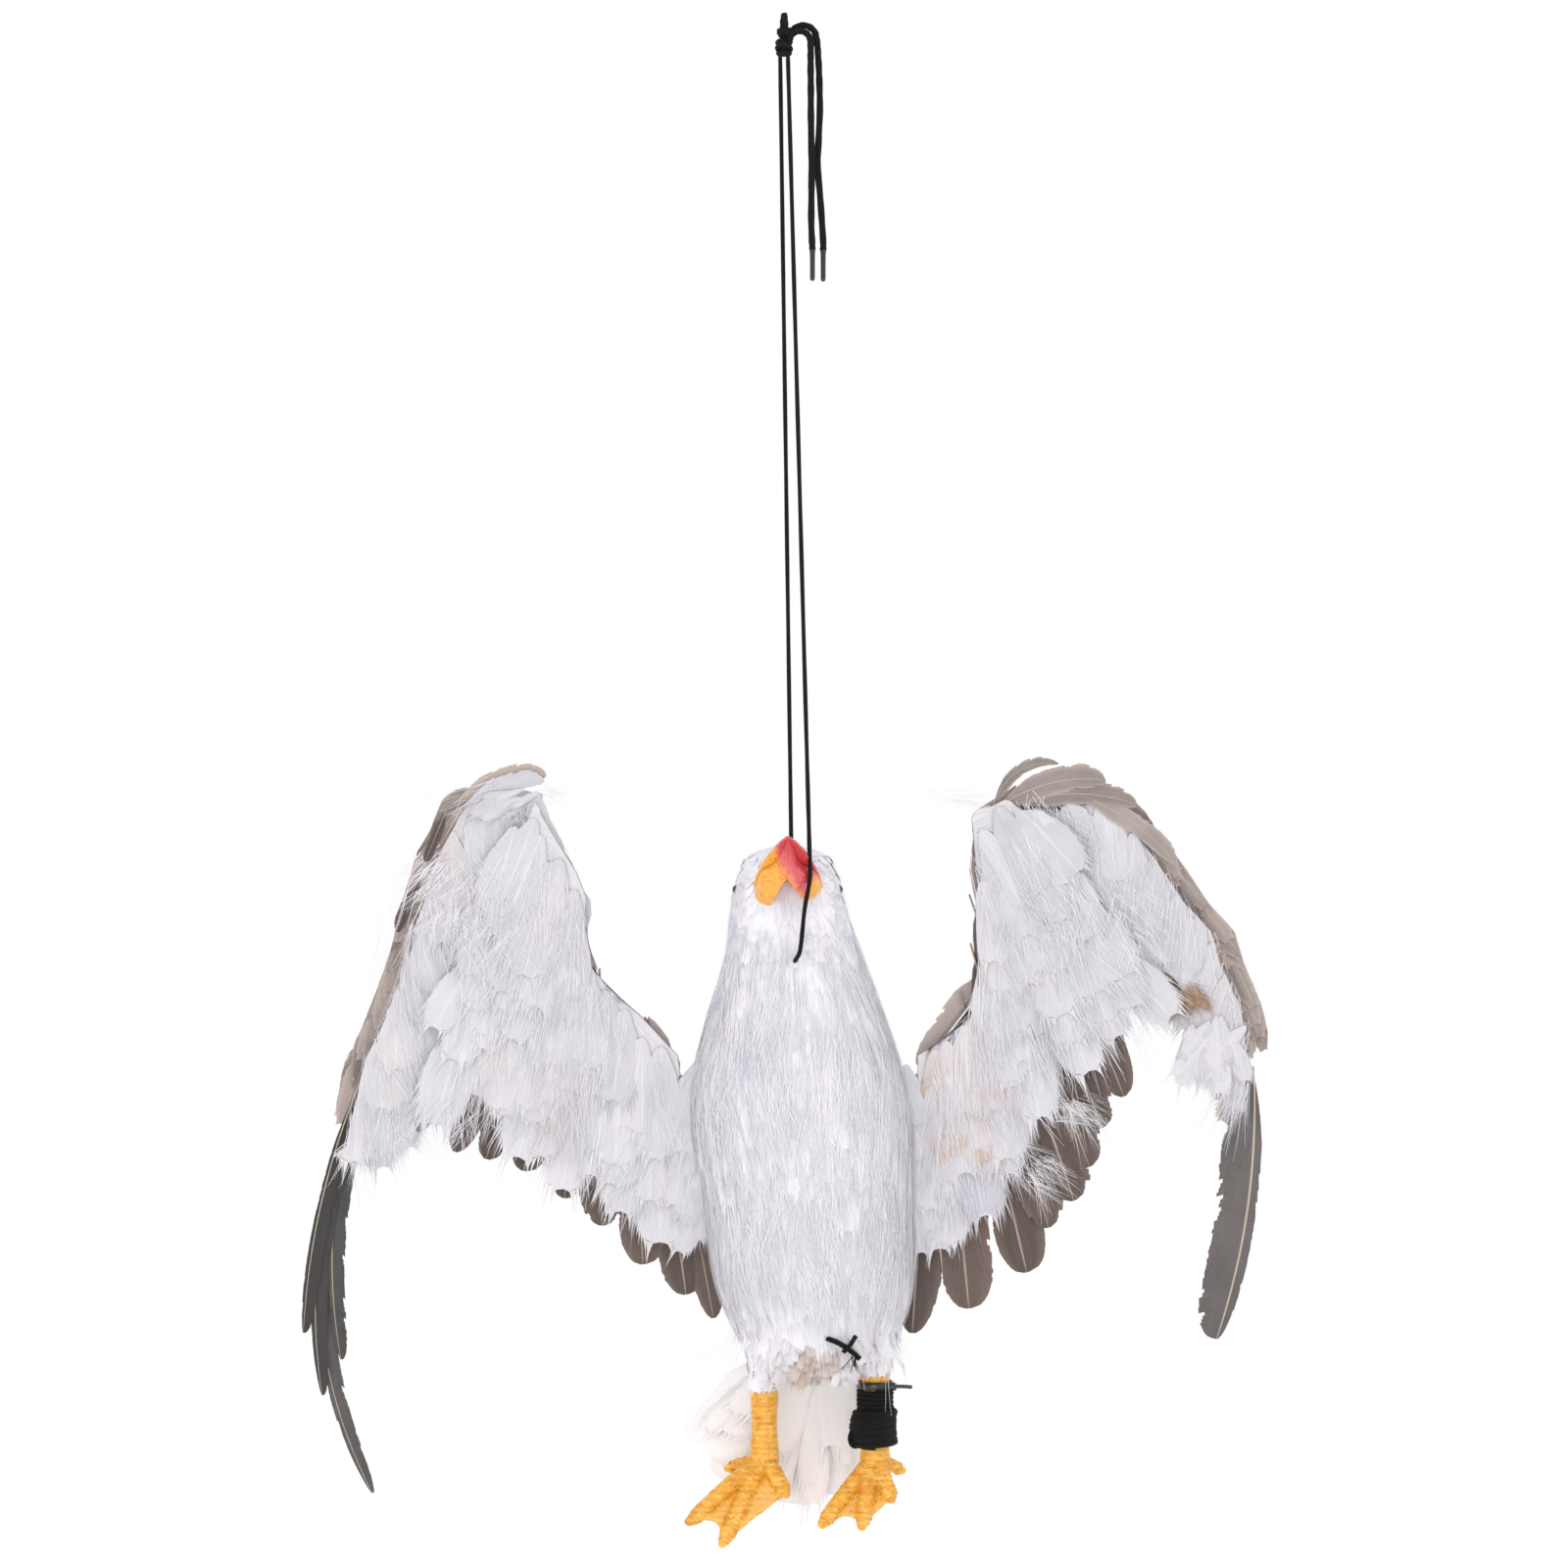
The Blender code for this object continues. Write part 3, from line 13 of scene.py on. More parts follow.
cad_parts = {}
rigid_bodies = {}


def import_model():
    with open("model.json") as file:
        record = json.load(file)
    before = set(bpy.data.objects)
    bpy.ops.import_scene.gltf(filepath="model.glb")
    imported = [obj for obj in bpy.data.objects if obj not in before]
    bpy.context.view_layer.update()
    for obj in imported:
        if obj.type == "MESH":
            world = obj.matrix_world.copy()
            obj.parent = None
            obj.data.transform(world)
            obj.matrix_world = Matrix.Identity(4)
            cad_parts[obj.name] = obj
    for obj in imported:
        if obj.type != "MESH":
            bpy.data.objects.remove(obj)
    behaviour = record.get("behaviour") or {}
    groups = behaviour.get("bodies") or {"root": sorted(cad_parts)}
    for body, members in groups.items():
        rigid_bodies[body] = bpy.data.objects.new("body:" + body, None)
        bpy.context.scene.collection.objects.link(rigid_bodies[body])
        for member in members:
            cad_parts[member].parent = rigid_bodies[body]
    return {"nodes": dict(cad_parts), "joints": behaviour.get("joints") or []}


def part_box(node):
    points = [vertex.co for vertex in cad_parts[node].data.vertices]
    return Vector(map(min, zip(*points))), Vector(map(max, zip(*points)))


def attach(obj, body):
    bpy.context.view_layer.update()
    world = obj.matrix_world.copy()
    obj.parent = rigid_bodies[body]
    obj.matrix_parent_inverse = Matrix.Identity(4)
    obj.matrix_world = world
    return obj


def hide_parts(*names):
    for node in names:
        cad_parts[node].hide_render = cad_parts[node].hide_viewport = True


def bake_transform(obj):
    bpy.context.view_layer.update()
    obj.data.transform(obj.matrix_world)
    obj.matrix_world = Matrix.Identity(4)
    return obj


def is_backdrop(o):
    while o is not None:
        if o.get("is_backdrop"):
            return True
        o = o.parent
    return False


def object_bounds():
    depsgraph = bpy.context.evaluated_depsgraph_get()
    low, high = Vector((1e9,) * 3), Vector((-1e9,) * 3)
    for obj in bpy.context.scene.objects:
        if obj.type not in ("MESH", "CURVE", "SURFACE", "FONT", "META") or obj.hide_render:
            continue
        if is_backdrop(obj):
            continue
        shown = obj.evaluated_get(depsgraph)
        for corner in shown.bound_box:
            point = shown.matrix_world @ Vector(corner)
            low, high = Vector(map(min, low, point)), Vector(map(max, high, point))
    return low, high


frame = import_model()

bl_info = {
    "name": "Feathered Gull Decoy",
    "version": (1, 0, 0),
    "blender": (4, 5, 0),
    "location": "3D View > Sidebar > Gull Decoy",
    "description": "Plumage, bill, feet and hanging lace of a gull decoy",
    "category": "Object",
}

JOINTS = {joint["name"]: joint for joint in frame["joints"]}
SIDES = {"right": -1.0, "left": 1.0}
BELLY = Vector((0.0, -1.0, 0.0))
BACK = Vector((0.0, 1.0, 0.0))
UP = Vector((0.0, 0.0, 1.0))
DOWN = Vector((0.0, 0.0, -1.0))
ACROSS = Vector((1.0, 0.0, 0.0))


# Settings


def length_setting(name, description, default):
    """A length in metres that a user may change."""
    return FloatProperty(name=name, description=description, default=default, min=0.0001, unit="LENGTH",
                         precision=4)


def colour_setting(name, description, default):
    """A linear colour that a user may change."""
    return FloatVectorProperty(name=name, description=description, default=default, size=3, min=0.0, max=1.0,
                               subtype="COLOR")


class PlumageSettings(bpy.types.PropertyGroup):
    """Sizes and colours of the feathers."""
    body_length: length_setting("Body feather length", "Length of a feather on breast and back", 0.044)
    body_width: length_setting("Body feather width", "Width of a feather on breast and back", 0.017)
    body_pitch: length_setting("Body feather pitch", "Distance between two rows of body feathers", 0.0062)
    head_length: length_setting("Head feather length", "Length of a feather on the head", 0.0125)
    head_pitch: length_setting("Head feather pitch", "Distance between two rows of head feathers", 0.0036)
    covert_length: length_setting("Underwing covert length", "Length of a white feather under the wing", 0.052)
    covert_width: length_setting("Underwing covert width", "Width of a white feather under the wing", 0.025)
    seed: IntProperty(name="Seed", description="Seed of every random choice in the plumage", default=11, min=0)
    white: colour_setting("White", "Colour of breast, head and tail", (0.82, 0.8, 0.84))
    lilac: colour_setting("Lilac shade", "Colour of the shaded white feathers", (0.66, 0.64, 0.72))
    cream: colour_setting("Cream", "Colour of the warmest white feathers", (0.8, 0.72, 0.66))
    tan: colour_setting("Tan", "Colour of the tan feathers", (0.6, 0.47, 0.4))
    grey_brown: colour_setting("Grey brown", "Colour of the leading edge feathers", (0.46, 0.39, 0.37))
    brown: colour_setting("Brown", "Colour of the secondaries", (0.115, 0.078, 0.066))
    dark: colour_setting("Dark", "Colour of the primaries", (0.028, 0.025, 0.025))
    shaft: colour_setting("Shaft", "Colour of the feather shafts", (0.62, 0.52, 0.4))


class ResinSettings(bpy.types.PropertyGroup):
    """Colours of the moulded bill, feet and eyes."""
    bill_yellow: colour_setting("Bill yellow", "Colour of the bill's base", (0.86, 0.4, 0.045))
    bill_red: colour_setting("Bill red", "Colour of the bill's tip", (0.62, 0.045, 0.05))
    foot_yellow: colour_setting("Foot yellow", "Colour of the feet", (0.8, 0.37, 0.022))
    web_yellow: colour_setting("Web yellow", "Colour of the thin webs", (0.84, 0.46, 0.1))
    scale_pitch: length_setting("Scale pitch", "Distance from one ring scale to the next", 0.0021)


class LaceSettings(bpy.types.PropertyGroup):
    """Sizes and colour of the lace and the lashing."""
    width: length_setting("Lace width", "Widest size across the lace", 0.0034)
    thickness: length_setting("Lace thickness", "Thinnest size across the lace", 0.0022)
    lashing_width: length_setting("Lashing cord width", "Diameter of the cord round the left leg", 0.0024)
    black: colour_setting("Black", "Colour of lace, lashing and tie", (0.0065, 0.0062, 0.0058))


class StageSettings(bpy.types.PropertyGroup):
    """Camera, floor and light."""
    distance: length_setting("Camera distance", "How far the camera stands from the lace", 2.4)
    view_width: length_setting("View width", "Width of the view at the lace", 0.8)
    aim_depth: length_setting("Aim depth", "How far below the hook the camera looks", 0.3935)
    floor_drop: length_setting("Floor drop", "How far the floor lies below the toes", 0.3)
    floor_colour: colour_setting("Floor colour", "Colour of floor and backdrop", (0.92, 0.92, 0.92))
    world_light: FloatProperty(name="Room light", description="Strength of the even light", default=1.03,
                               min=0.0)
    key_watts: FloatProperty(name="Key lamp", description="Power of the soft lamp, in watts", default=4.4,
                             min=0.0)


SETTINGS = {
    "decoy_plumage": PlumageSettings,
    "decoy_resin": ResinSettings,
    "decoy_lace": LaceSettings,
    "decoy_stage": StageSettings,
}


def plumage():
    return bpy.context.scene.decoy_plumage


def resin():
    return bpy.context.scene.decoy_resin


def lace():
    return bpy.context.scene.decoy_lace


# Node helpers


def add(tree, kind, inputs=None, **settings):
    """New node; an input that is a socket is linked, and any other value is set."""
    node = tree.nodes.new(kind)
    for key, value in settings.items():
        setattr(node, key, value)
    for key, value in (inputs or {}).items():
        if isinstance(value, bpy.types.NodeSocket):
            tree.links.new(value, node.inputs[key])
        else:
            node.inputs[key].default_value = value
    return node


def sums(tree, operation, *values):
    """Result of a sum on sockets and numbers."""
    return add(tree, "ShaderNodeMath", dict(enumerate(values)), operation=operation).outputs[0]


def limit(tree, value, low, high, start=0.0, end=1.0):
    """Value carried from one range to another and kept inside it."""
    names = ("Value", "From Min", "From Max", "To Min", "To Max")
    node = add(tree, "ShaderNodeMapRange", dict(zip(names, (value, low, high, start, end))), clamp=True)
    return node.outputs["Result"]


def mix(tree, factor, first, second, mode="MIX"):
    """Blend of two colours."""
    node = tree.nodes.new("ShaderNodeMix")
    node.data_type = "RGBA"
    node.blend_type = mode
    for index, value in ((0, factor), (6, first), (7, second)):
        if isinstance(value, bpy.types.NodeSocket):
            tree.links.new(value, node.inputs[index])
        else:
            node.inputs[index].default_value = value if index == 0 else (*value, 1.0)
    return node.outputs[2]


def ramp(tree, factor, stops):
    """Colour that runs through stops of position and colour."""
    node = add(tree, "ShaderNodeValToRGB", {"Fac": factor})
    marks = node.color_ramp.elements
    while len(marks) < len(stops):
        marks.new(0.5)
    for mark, (position, colour) in zip(marks, stops):
        mark.position = position
        mark.color = (*colour, 1.0)
    return node.outputs["Color"]


def cloud(tree, vector, scale, detail=3.0, roughness=0.55):
    """Noise between 0 and 1."""
    node = add(tree, "ShaderNodeTexNoise", {"Vector": vector, "Scale": scale, "Detail": detail,
                                             "Roughness": roughness})
    return node.outputs["Fac"]


def stretched(tree, vector, scale):
    """Coordinates stretched by a scale on each axis."""
    return add(tree, "ShaderNodeMapping", {"Vector": vector, "Scale": scale}).outputs["Vector"]


def scaled(colour, factor, most=1.0):
    """A colour made lighter or darker, up to a limit."""
    return tuple(min(most, value * factor) for value in colour)


def between(first, second, share=0.5):
    """A colour part of the way from one to another."""
    return tuple(a * (1 - share) + b * share for a, b in zip(first, second))


def times(tree, first, second):
    """Product of two values."""
    return sums(tree, "MULTIPLY", first, second)


def plus(tree, first, second):
    """Sum of two values."""
    return sums(tree, "ADD", first, second)


def minus(tree, first, second):
    """Difference of two values."""
    return sums(tree, "SUBTRACT", first, second)


def object_place(tree):
    """Place on the piece, in metres."""
    return add(tree, "ShaderNodeTexCoord").outputs["Object"]


def axes(tree, vector):
    """X, Y and Z of a vector."""
    return add(tree, "ShaderNodeSeparateXYZ", {"Vector": vector}).outputs


def trait(tree, name):
    """Value that a mesh carries under a name."""
    return add(tree, "ShaderNodeAttribute", attribute_name=name).outputs["Fac"]


def cells(tree, vector, scale):
    """Distance from the middles of scattered cells."""
    return add(tree, "ShaderNodeTexVoronoi", {"Vector": vector, "Scale": scale}).outputs["Distance"]


def specks(tree, spot, scale, size, patch_scale, patches):
    """Specks of a size that come in patches."""
    return times(tree, limit(tree, cells(tree, spot, scale), *size, 1.0, 0.0),
                 limit(tree, cloud(tree, spot, patch_scale), *patches))


def start_material(name, roughness, **sockets):
    """Tree and shader of a new material with its plain values set."""
    made = bpy.data.materials.new(name)
    made.use_nodes = True
    shader = made.node_tree.nodes["Principled BSDF"]
    shader.inputs["Roughness"].default_value = roughness
    for socket, value in sockets.items():
        shader.inputs[socket.replace("_", " ")].default_value = value
    return made.node_tree, shader


def finish_colour(tree, shader, colour, height=None, distance=0.0001, strength=0.5):
    """Colour of a material, and its bump where it has one."""
    tree.links.new(colour, shader.inputs["Base Color"])
    if height is not None:
        bump = add(tree, "ShaderNodeBump", {"Height": height, "Distance": distance, "Strength": strength})
        tree.links.new(bump.outputs["Normal"], shader.inputs["Normal"])


# Materials


def vane_material(name, stops, shaft=None, edge=None, barb_lines=70.0, roughness=0.75, streak=0.16):
    """Feather with barb lines, its own tint, and a shaft and an edge of another colour."""
    tree, shader = start_material(name, roughness)
    parts = axes(tree, add(tree, "ShaderNodeUVMap", uv_map="UVMap").outputs["UV"])
    out = sums(tree, "ABSOLUTE", minus(tree, parts["X"], 0.5))
    tint = trait(tree, "tint")
    mottle = cloud(tree, object_place(tree), 55.0)
    colour = ramp(tree, plus(tree, tint, times(tree, minus(tree, mottle, 0.5), 0.5)), stops)
    barbs = minus(tree, parts["Y"], times(tree, out, 0.8))
    lines = sums(tree, "SINE", times(tree, barbs, barb_lines * 2.0 * pi))
    wide = add(tree, "ShaderNodeCombineXYZ", {
        "X": times(tree, out, 2.0), "Y": times(tree, barbs, barb_lines * 0.5), "Z": tint})
    strands = cloud(tree, wide.outputs["Vector"], 3.0, 4.0)
    dull = limit(tree, strands, 0.3, 0.7, 1.0 - streak, 1.0)
    dull = add(tree, "ShaderNodeCombineColor", {"Red": dull, "Green": dull, "Blue": dull}).outputs["Color"]
    colour = mix(tree, 1.0, colour, dull, "MULTIPLY")
    if edge:
        colour = mix(tree, limit(tree, out, 0.3, 0.48, 0.0, edge[1]), colour, edge[0])
    if shaft:
        colour = mix(tree, limit(tree, out, 0.012, 0.03, shaft[1], 0.0), colour, shaft[0])
    finish_colour(tree, shader, colour, plus(tree, times(tree, lines, 0.25), strands), 0.0003, 0.35)


def make_materials():
    """Every finish of the decoy."""
    names = ("lilac", "white", "cream", "tan", "grey_brown", "brown", "dark", "shaft")
    lilac, white, cream, tan, grey, brown, dark, shaft = (tuple(getattr(plumage(), name)) for name in names)
    black = tuple(lace().black)
    pink = tuple(w * 0.62 + t * 0.38 for w, t in zip(white, tan))
    pale = scaled(white, 0.9)
    bright_lilac, bright_white, bright_cream = (scaled(tone, 1.09, 0.93) for tone in (lilac, white, cream))
    vane_material("breast plumage", [(0.0, bright_lilac), (0.42, bright_white), (0.97, bright_white),
                                     (1.0, bright_cream)], streak=0.05, roughness=0.85)
    # Painted light: the tail's white is set brighter than the other white plumage to offset the shade the body
    # casts on it.
    vane_material("tail plumage", [(0.0, (0.95, 0.93, 0.94)), (0.4, (0.97, 0.95, 0.955)),
                                   (1.0, (0.97, 0.945, 0.935))], edge=(white, 0.5), streak=0.06, roughness=0.85)
    vane_material("underwing plumage", [(0.0, scaled(lilac, 0.86)), (0.3, scaled(pale, 0.9)),
                                        (0.72, scaled(white, 0.9)), (0.86, pink), (1.0, tan)],
                  shaft=(white, 0.5), streak=0.14, roughness=0.85)
    vane_material("leading edge plumage", [(0.0, scaled(grey, 0.52)), (0.35, grey), (0.75, between(grey, tan)),
                                           (1.0, tan)], shaft=(shaft, 0.6), edge=(tan, 0.45), streak=0.3)
    vane_material("upperwing plumage", [(0.0, brown), (0.5, grey), (1.0, scaled(grey, 1.35))],
                  shaft=(shaft, 0.5), edge=(tan, 0.45), streak=0.3)
    vane_material("secondary plumage", [(0.0, scaled(brown, 0.8)), (0.5, brown), (1.0, scaled(brown, 1.45))],
                  shaft=(scaled(shaft, 0.7), 0.9), edge=(scaled(brown, 1.8), 0.5), streak=0.42, roughness=0.6)
    vane_material("primary plumage", [(0.0, dark), (0.5, scaled(dark, 1.7)), (1.0, (0.165, 0.145, 0.14))],
                  shaft=(shaft, 0.95), streak=0.45, roughness=0.5, barb_lines=140.0)
    vane_material("barb plumage", [(0.0, scaled(lilac, 1.05)), (0.3, pale), (0.6, white),
                                   (1.0, scaled(white, 1.06))], streak=0.03, roughness=0.85)
    vane_material("tan down", [(0.0, white), (0.45, pink), (0.7, between(pink, tan)), (1.0, tan)],
                  streak=0.2, roughness=0.9)
    vane_material("rusty down", [(0.0, (0.34, 0.2, 0.12)), (0.5, (0.5, 0.32, 0.21)), (1.0, tan)],
                  streak=0.3, roughness=0.9)
    bill_material()
    foot_material()
    lace_material("braided lace", 900.0)
    lace_material("lashing cord", 1300.0)
    fibre_materials(lilac, white)
    gloss_material("aglet plastic", black, 0.28, 900.0)
    gloss_material("tie plastic", black, 0.32, 500.0)
    gloss_material("eye bead", (0.006, 0.006, 0.007), 0.08, 300.0)


def bill_material():
    """Yellow resin that runs into red towards the tip, with dark specks and pale streaks of painted highlight.
    """
    tree, shader = start_material("bill resin", 0.32, Coat_Weight=0.5, Coat_Roughness=0.15)
    spot = object_place(tree)
    x, z = axes(tree, spot)["X"], axes(tree, spot)["Z"]
    low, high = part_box("lower_bill")
    middle = (low[0] + high[0]) / 2
    rise = limit(tree, z, low[2], high[2])
    side = limit(tree, x, middle - 0.002, middle + 0.008, 0.0, 0.5)
    wander = times(tree, minus(tree, cloud(tree, spot, 260.0, 4.0), 0.5), 0.55)
    pale_side = limit(tree, x, middle - 0.0085, middle - 0.004, 0.75, 0.0)
    pale_gape = times(tree, limit(tree, x, middle + 0.01, middle + 0.013, 0.0, 0.75),
                      limit(tree, z, -0.445, -0.435, 1.0, 0.0))
    redness = minus(tree, plus(tree, plus(tree, rise, side), wander), plus(tree, pale_side, pale_gape))
    yellow, red = tuple(resin().bill_yellow), tuple(resin().bill_red)
    orange = (yellow[0], yellow[1] * 0.62, yellow[2] * 1.5)
    rosy = (red[0] * 1.15, red[1] * 2.6, red[2] * 2.6)
    colour = ramp(tree, redness, [(0.28, yellow), (0.5, orange), (0.66, rosy), (0.95, red)])
    speck = specks(tree, spot, 620.0, (0.16, 0.24), 180.0, (0.44, 0.54))
    colour = mix(tree, times(tree, speck, 0.85), colour, (0.14, 0.04, 0.02))
    # Painted highlight: thin pale streaks stand in for the shine along the bill's edges.
    highlight_streaks = cloud(tree, stretched(tree, spot, (900.0, 60.0, 60.0)), 1.0, 5.0)
    colour = mix(tree, limit(tree, highlight_streaks, 0.66, 0.72, 0.0, 0.45), colour, (0.95, 0.8, 0.62))
    height = plus(tree, cloud(tree, spot, 420.0, 5.0), times(tree, speck, -0.8))
    finish_colour(tree, shader, colour, height, 0.0006, 0.6)


def foot_material():
    """Yellow-orange resin with ring scales, painted highlight and painted shade in bands across them, paler
    webs, dark specks, painted shade in the grooves and a wax shine.
    """
    tree, shader = start_material("foot resin", 0.4, Coat_Weight=0.12, Coat_Roughness=0.25)
    spot = object_place(tree)
    yellow, web = tuple(resin().foot_yellow), tuple(resin().web_yellow)
    deep = (yellow[0] * 0.8, yellow[1] * 0.66, yellow[2] * 0.7)
    pale = (0.88, 0.54, 0.12)
    colour = ramp(tree, cloud(tree, spot, 190.0, 5.0), [(0.3, deep), (0.5, yellow), (0.75, pale)])
    colour = mix(tree, times(tree, trait(tree, "web"), 0.75), colour, web)
    # Painted shade: the grooves between the ring scales are darkened.
    colour = mix(tree, times(tree, trait(tree, "groove"), 0.55), colour, (0.5, 0.16, 0.01))
    # Painted highlight and painted shade: pale bands on the scales' crests and dark bands between them stand in
    # for how light falls on the ridges.
    bend = times(tree, cloud(tree, spot, 110.0), 7.0)
    rings = sums(tree, "SINE", plus(tree, times(tree, axes(tree, spot)["Z"], 2.0 * pi / 0.0031), bend))
    broken = limit(tree, cloud(tree, spot, 330.0), 0.42, 0.56)
    ring = times(tree, limit(tree, rings, 0.86, 0.99, 0.0, 0.55), broken)
    colour = mix(tree, ring, colour, (0.93, 0.66, 0.24))
    shade = times(tree, limit(tree, rings, -0.8, -0.99, 0.0, 0.45), broken)
    colour = mix(tree, shade, colour, (0.42, 0.13, 0.01))
    speck = specks(tree, spot, 430.0, (0.13, 0.2), 140.0, (0.5, 0.56))
    colour = mix(tree, times(tree, speck, 0.85), colour, (0.1, 0.035, 0.012))
    height = plus(tree, cloud(tree, spot, 500.0, 4.0), times(tree, speck, -1.0))
    finish_colour(tree, shader, colour, height, 0.0004, 0.5)


def lace_material(name, weave):
    """Black braid: strands crossing both ways, with pale flecks of painted highlight where they lie flat."""
    tree, shader = start_material(name, 0.7, Specular_IOR_Level=0.2)
    parts = axes(tree, add(tree, "ShaderNodeUVMap", uv_map="UVMap").outputs["UV"])
    turn = times(tree, parts["X"], 12.0 * pi)
    run = times(tree, parts["Y"], weave * 2.0 * pi)
    first = sums(tree, "SINE", plus(tree, run, turn))
    second = sums(tree, "SINE", minus(tree, run, turn))
    # Painted highlight: pale flecks where the strands cross stand in for glints off the weave.
    painted_glint = limit(tree, times(tree, first, second), 0.86, 0.98, 0.0, 0.6)
    colour = mix(tree, painted_glint, tuple(lace().black), (0.12, 0.115, 0.105))
    finish_colour(tree, shader, colour, sums(tree, "MAXIMUM", first, second), 0.0003, 0.8)


def fibre_materials(lilac, white):
    """Soft white down, cut white foam with fine cells, and drawn steel wire."""
    tree, shader = start_material("white down", 0.9)
    fibres = cloud(tree, stretched(tree, object_place(tree), (900.0, 900.0, 90.0)), 1.0, 5.0)
    finish_colour(tree, shader, ramp(tree, fibres, [(0.3, lilac), (0.6, white)]), fibres, 0.0008, 0.6)
    tree, shader = start_material("cut foam", 0.9)
    foam = cells(tree, object_place(tree), 700.0)
    colour = ramp(tree, foam, [(0.0, (0.86, 0.85, 0.82)), (0.8, (0.74, 0.73, 0.69))])
    finish_colour(tree, shader, colour, foam, 0.0004, 0.5)
    tree, shader = start_material("steel wire", 0.32, Metallic=1.0)
    lines = cloud(tree, stretched(tree, object_place(tree), (3000.0, 3000.0, 120.0)), 1.0)
    colour = ramp(tree, lines, [(0.3, (0.42, 0.42, 0.43)), (0.7, (0.62, 0.62, 0.63))])
    finish_colour(tree, shader, colour, lines, 0.00005, 0.4)


def gloss_material(name, colour, roughness, scale):
    """Smooth black plastic with faint moulding marks."""
    tree, shader = start_material(name, roughness, Coat_Weight=0.3)
    marks = cloud(tree, object_place(tree), scale)
    lighter = tuple(min(1.0, value * 2.2 + 0.004) for value in colour)
    finish_colour(tree, shader, ramp(tree, marks, [(0.45, colour), (0.8, lighter)]), marks, 0.0001, 0.3)


def finish(name):
    """A finish by name, made by the first operator."""
    return bpy.data.materials[name]


# Mesh helpers


def link(name, mesh, material=None):
    """New object at the origin, with a finish by name where it has one."""
    piece = bpy.data.objects.new(name, mesh)
    bpy.context.scene.collection.objects.link(piece)
    if material:
        mesh.materials.append(finish(material))
    return piece


def link_built(name, built, material=None):
    """New smooth object from a bmesh."""
    for face in built.faces:
        face.smooth = True
    mesh = bpy.data.meshes.new(name)
    built.to_mesh(mesh)
    built.free()
    return link(name, mesh, material)


def corners_of(node):
    """Low and high corner of a packed node's box."""
    return [Vector(corner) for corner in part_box(node)]


def box_middle(node):
    """Middle of a packed node's box."""
    low, high = corners_of(node)
    return (low + high) / 2


def smooth_path(route, steps):
    """Curve through a route's own points."""
    route = [Vector(point) for point in route]
    padded = [2 * route[0] - route[1]] + route + [2 * route[-1] - route[-2]]
    path = []
    for i in range(1, len(padded) - 2):
        p0, p1, p2, p3 = padded[i - 1:i + 3]
        for k in range(steps):
            t = k / steps
            path.append(0.5 * (2 * p1 + (p2 - p0) * t + (2 * p0 - 5 * p1 + 4 * p2 - p3) * t * t
                               + (3 * p1 - p0 - 3 * p2 + p3) * t ** 3))
    path.append(route[-1])
    return path


def blend_three(values, share):
    """Value at a share of the way through a start, a middle and an end value."""
    start, middle, end = values
    rest = 1 - share
    return start * rest * (1 - 2 * share) + middle * 4 * share * rest + end * share * (2 * share - 1)


def uv_layer(built):
    """The one UV map of a bmesh."""
    return built.loops.layers.uv.get("UVMap") or built.loops.layers.uv.new("UVMap")


def uv_face(built, layer, corners, marks):
    """New face with a UV mark at each corner."""
    for loop, mark in zip(built.faces.new(corners).loops, marks):
        loop[layer].uv = mark


def tile(rows, i, k, flip=False):
    """Corners of one tile of a grid, where the first column follows on the last."""
    j = (k + 1) % len(rows[i])
    corners = (rows[i][k], rows[i][j], rows[i + 1][j], rows[i + 1][k])
    return corners[:1] + corners[:0:-1] if flip else corners


def at_share(path, share):
    """Point at a share of a path, and the number of the point before it."""
    spot = share * (len(path) - 1)
    low = min(int(spot), len(path) - 2)
    return path[low].lerp(path[low + 1], spot - low), low


def sweep(built, path, wide, thick, count=10, flat_way=None):
    """Oval tube along a path; wide may vary along it, and UVs run round it and along it in metres."""
    layer = uv_layer(built)
    wides = wide if isinstance(wide, list) else [wide] * len(path)
    thicks = thick if isinstance(thick, list) else [thick] * len(path)
    tangent = (path[1] - path[0]).normalized()
    side = flat_way or ACROSS
    side = (side - tangent * side.dot(tangent)).normalized()
    rings = []
    runs = [0.0]
    for i, point in enumerate(path):
        ahead = (path[min(i + 1, len(path) - 1)] - path[max(i - 1, 0)]).normalized()
        side = (side - ahead * side.dot(ahead)).normalized()
        rise = ahead.cross(side)
        turns = [2 * pi * k / count for k in range(count)]
        rings.append([built.verts.new(point + side * cos(t) * wides[i] / 2 + rise * sin(t) * thicks[i] / 2)
                      for t in turns])
        if i:
            runs.append(runs[-1] + (point - path[i - 1]).length)
    for i in range(len(path) - 1):
        for k in range(count):
            uv_face(built, layer, tile(rings, i, k), [
                (turn / count, runs[run]) for turn, run in ((k, i), (k + 1, i), (k + 1, i + 1), (k, i + 1))])
    built.faces.new(list(reversed(rings[0])))
    built.faces.new(rings[-1])


def dress(piece, body, slot, *nodes):
    """Let a piece ride on a body and stand for packed nodes; the slot is not used."""
    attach(piece, body)
    if nodes:
        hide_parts(*nodes)


# Trunk surface, measured on the packed feather coats


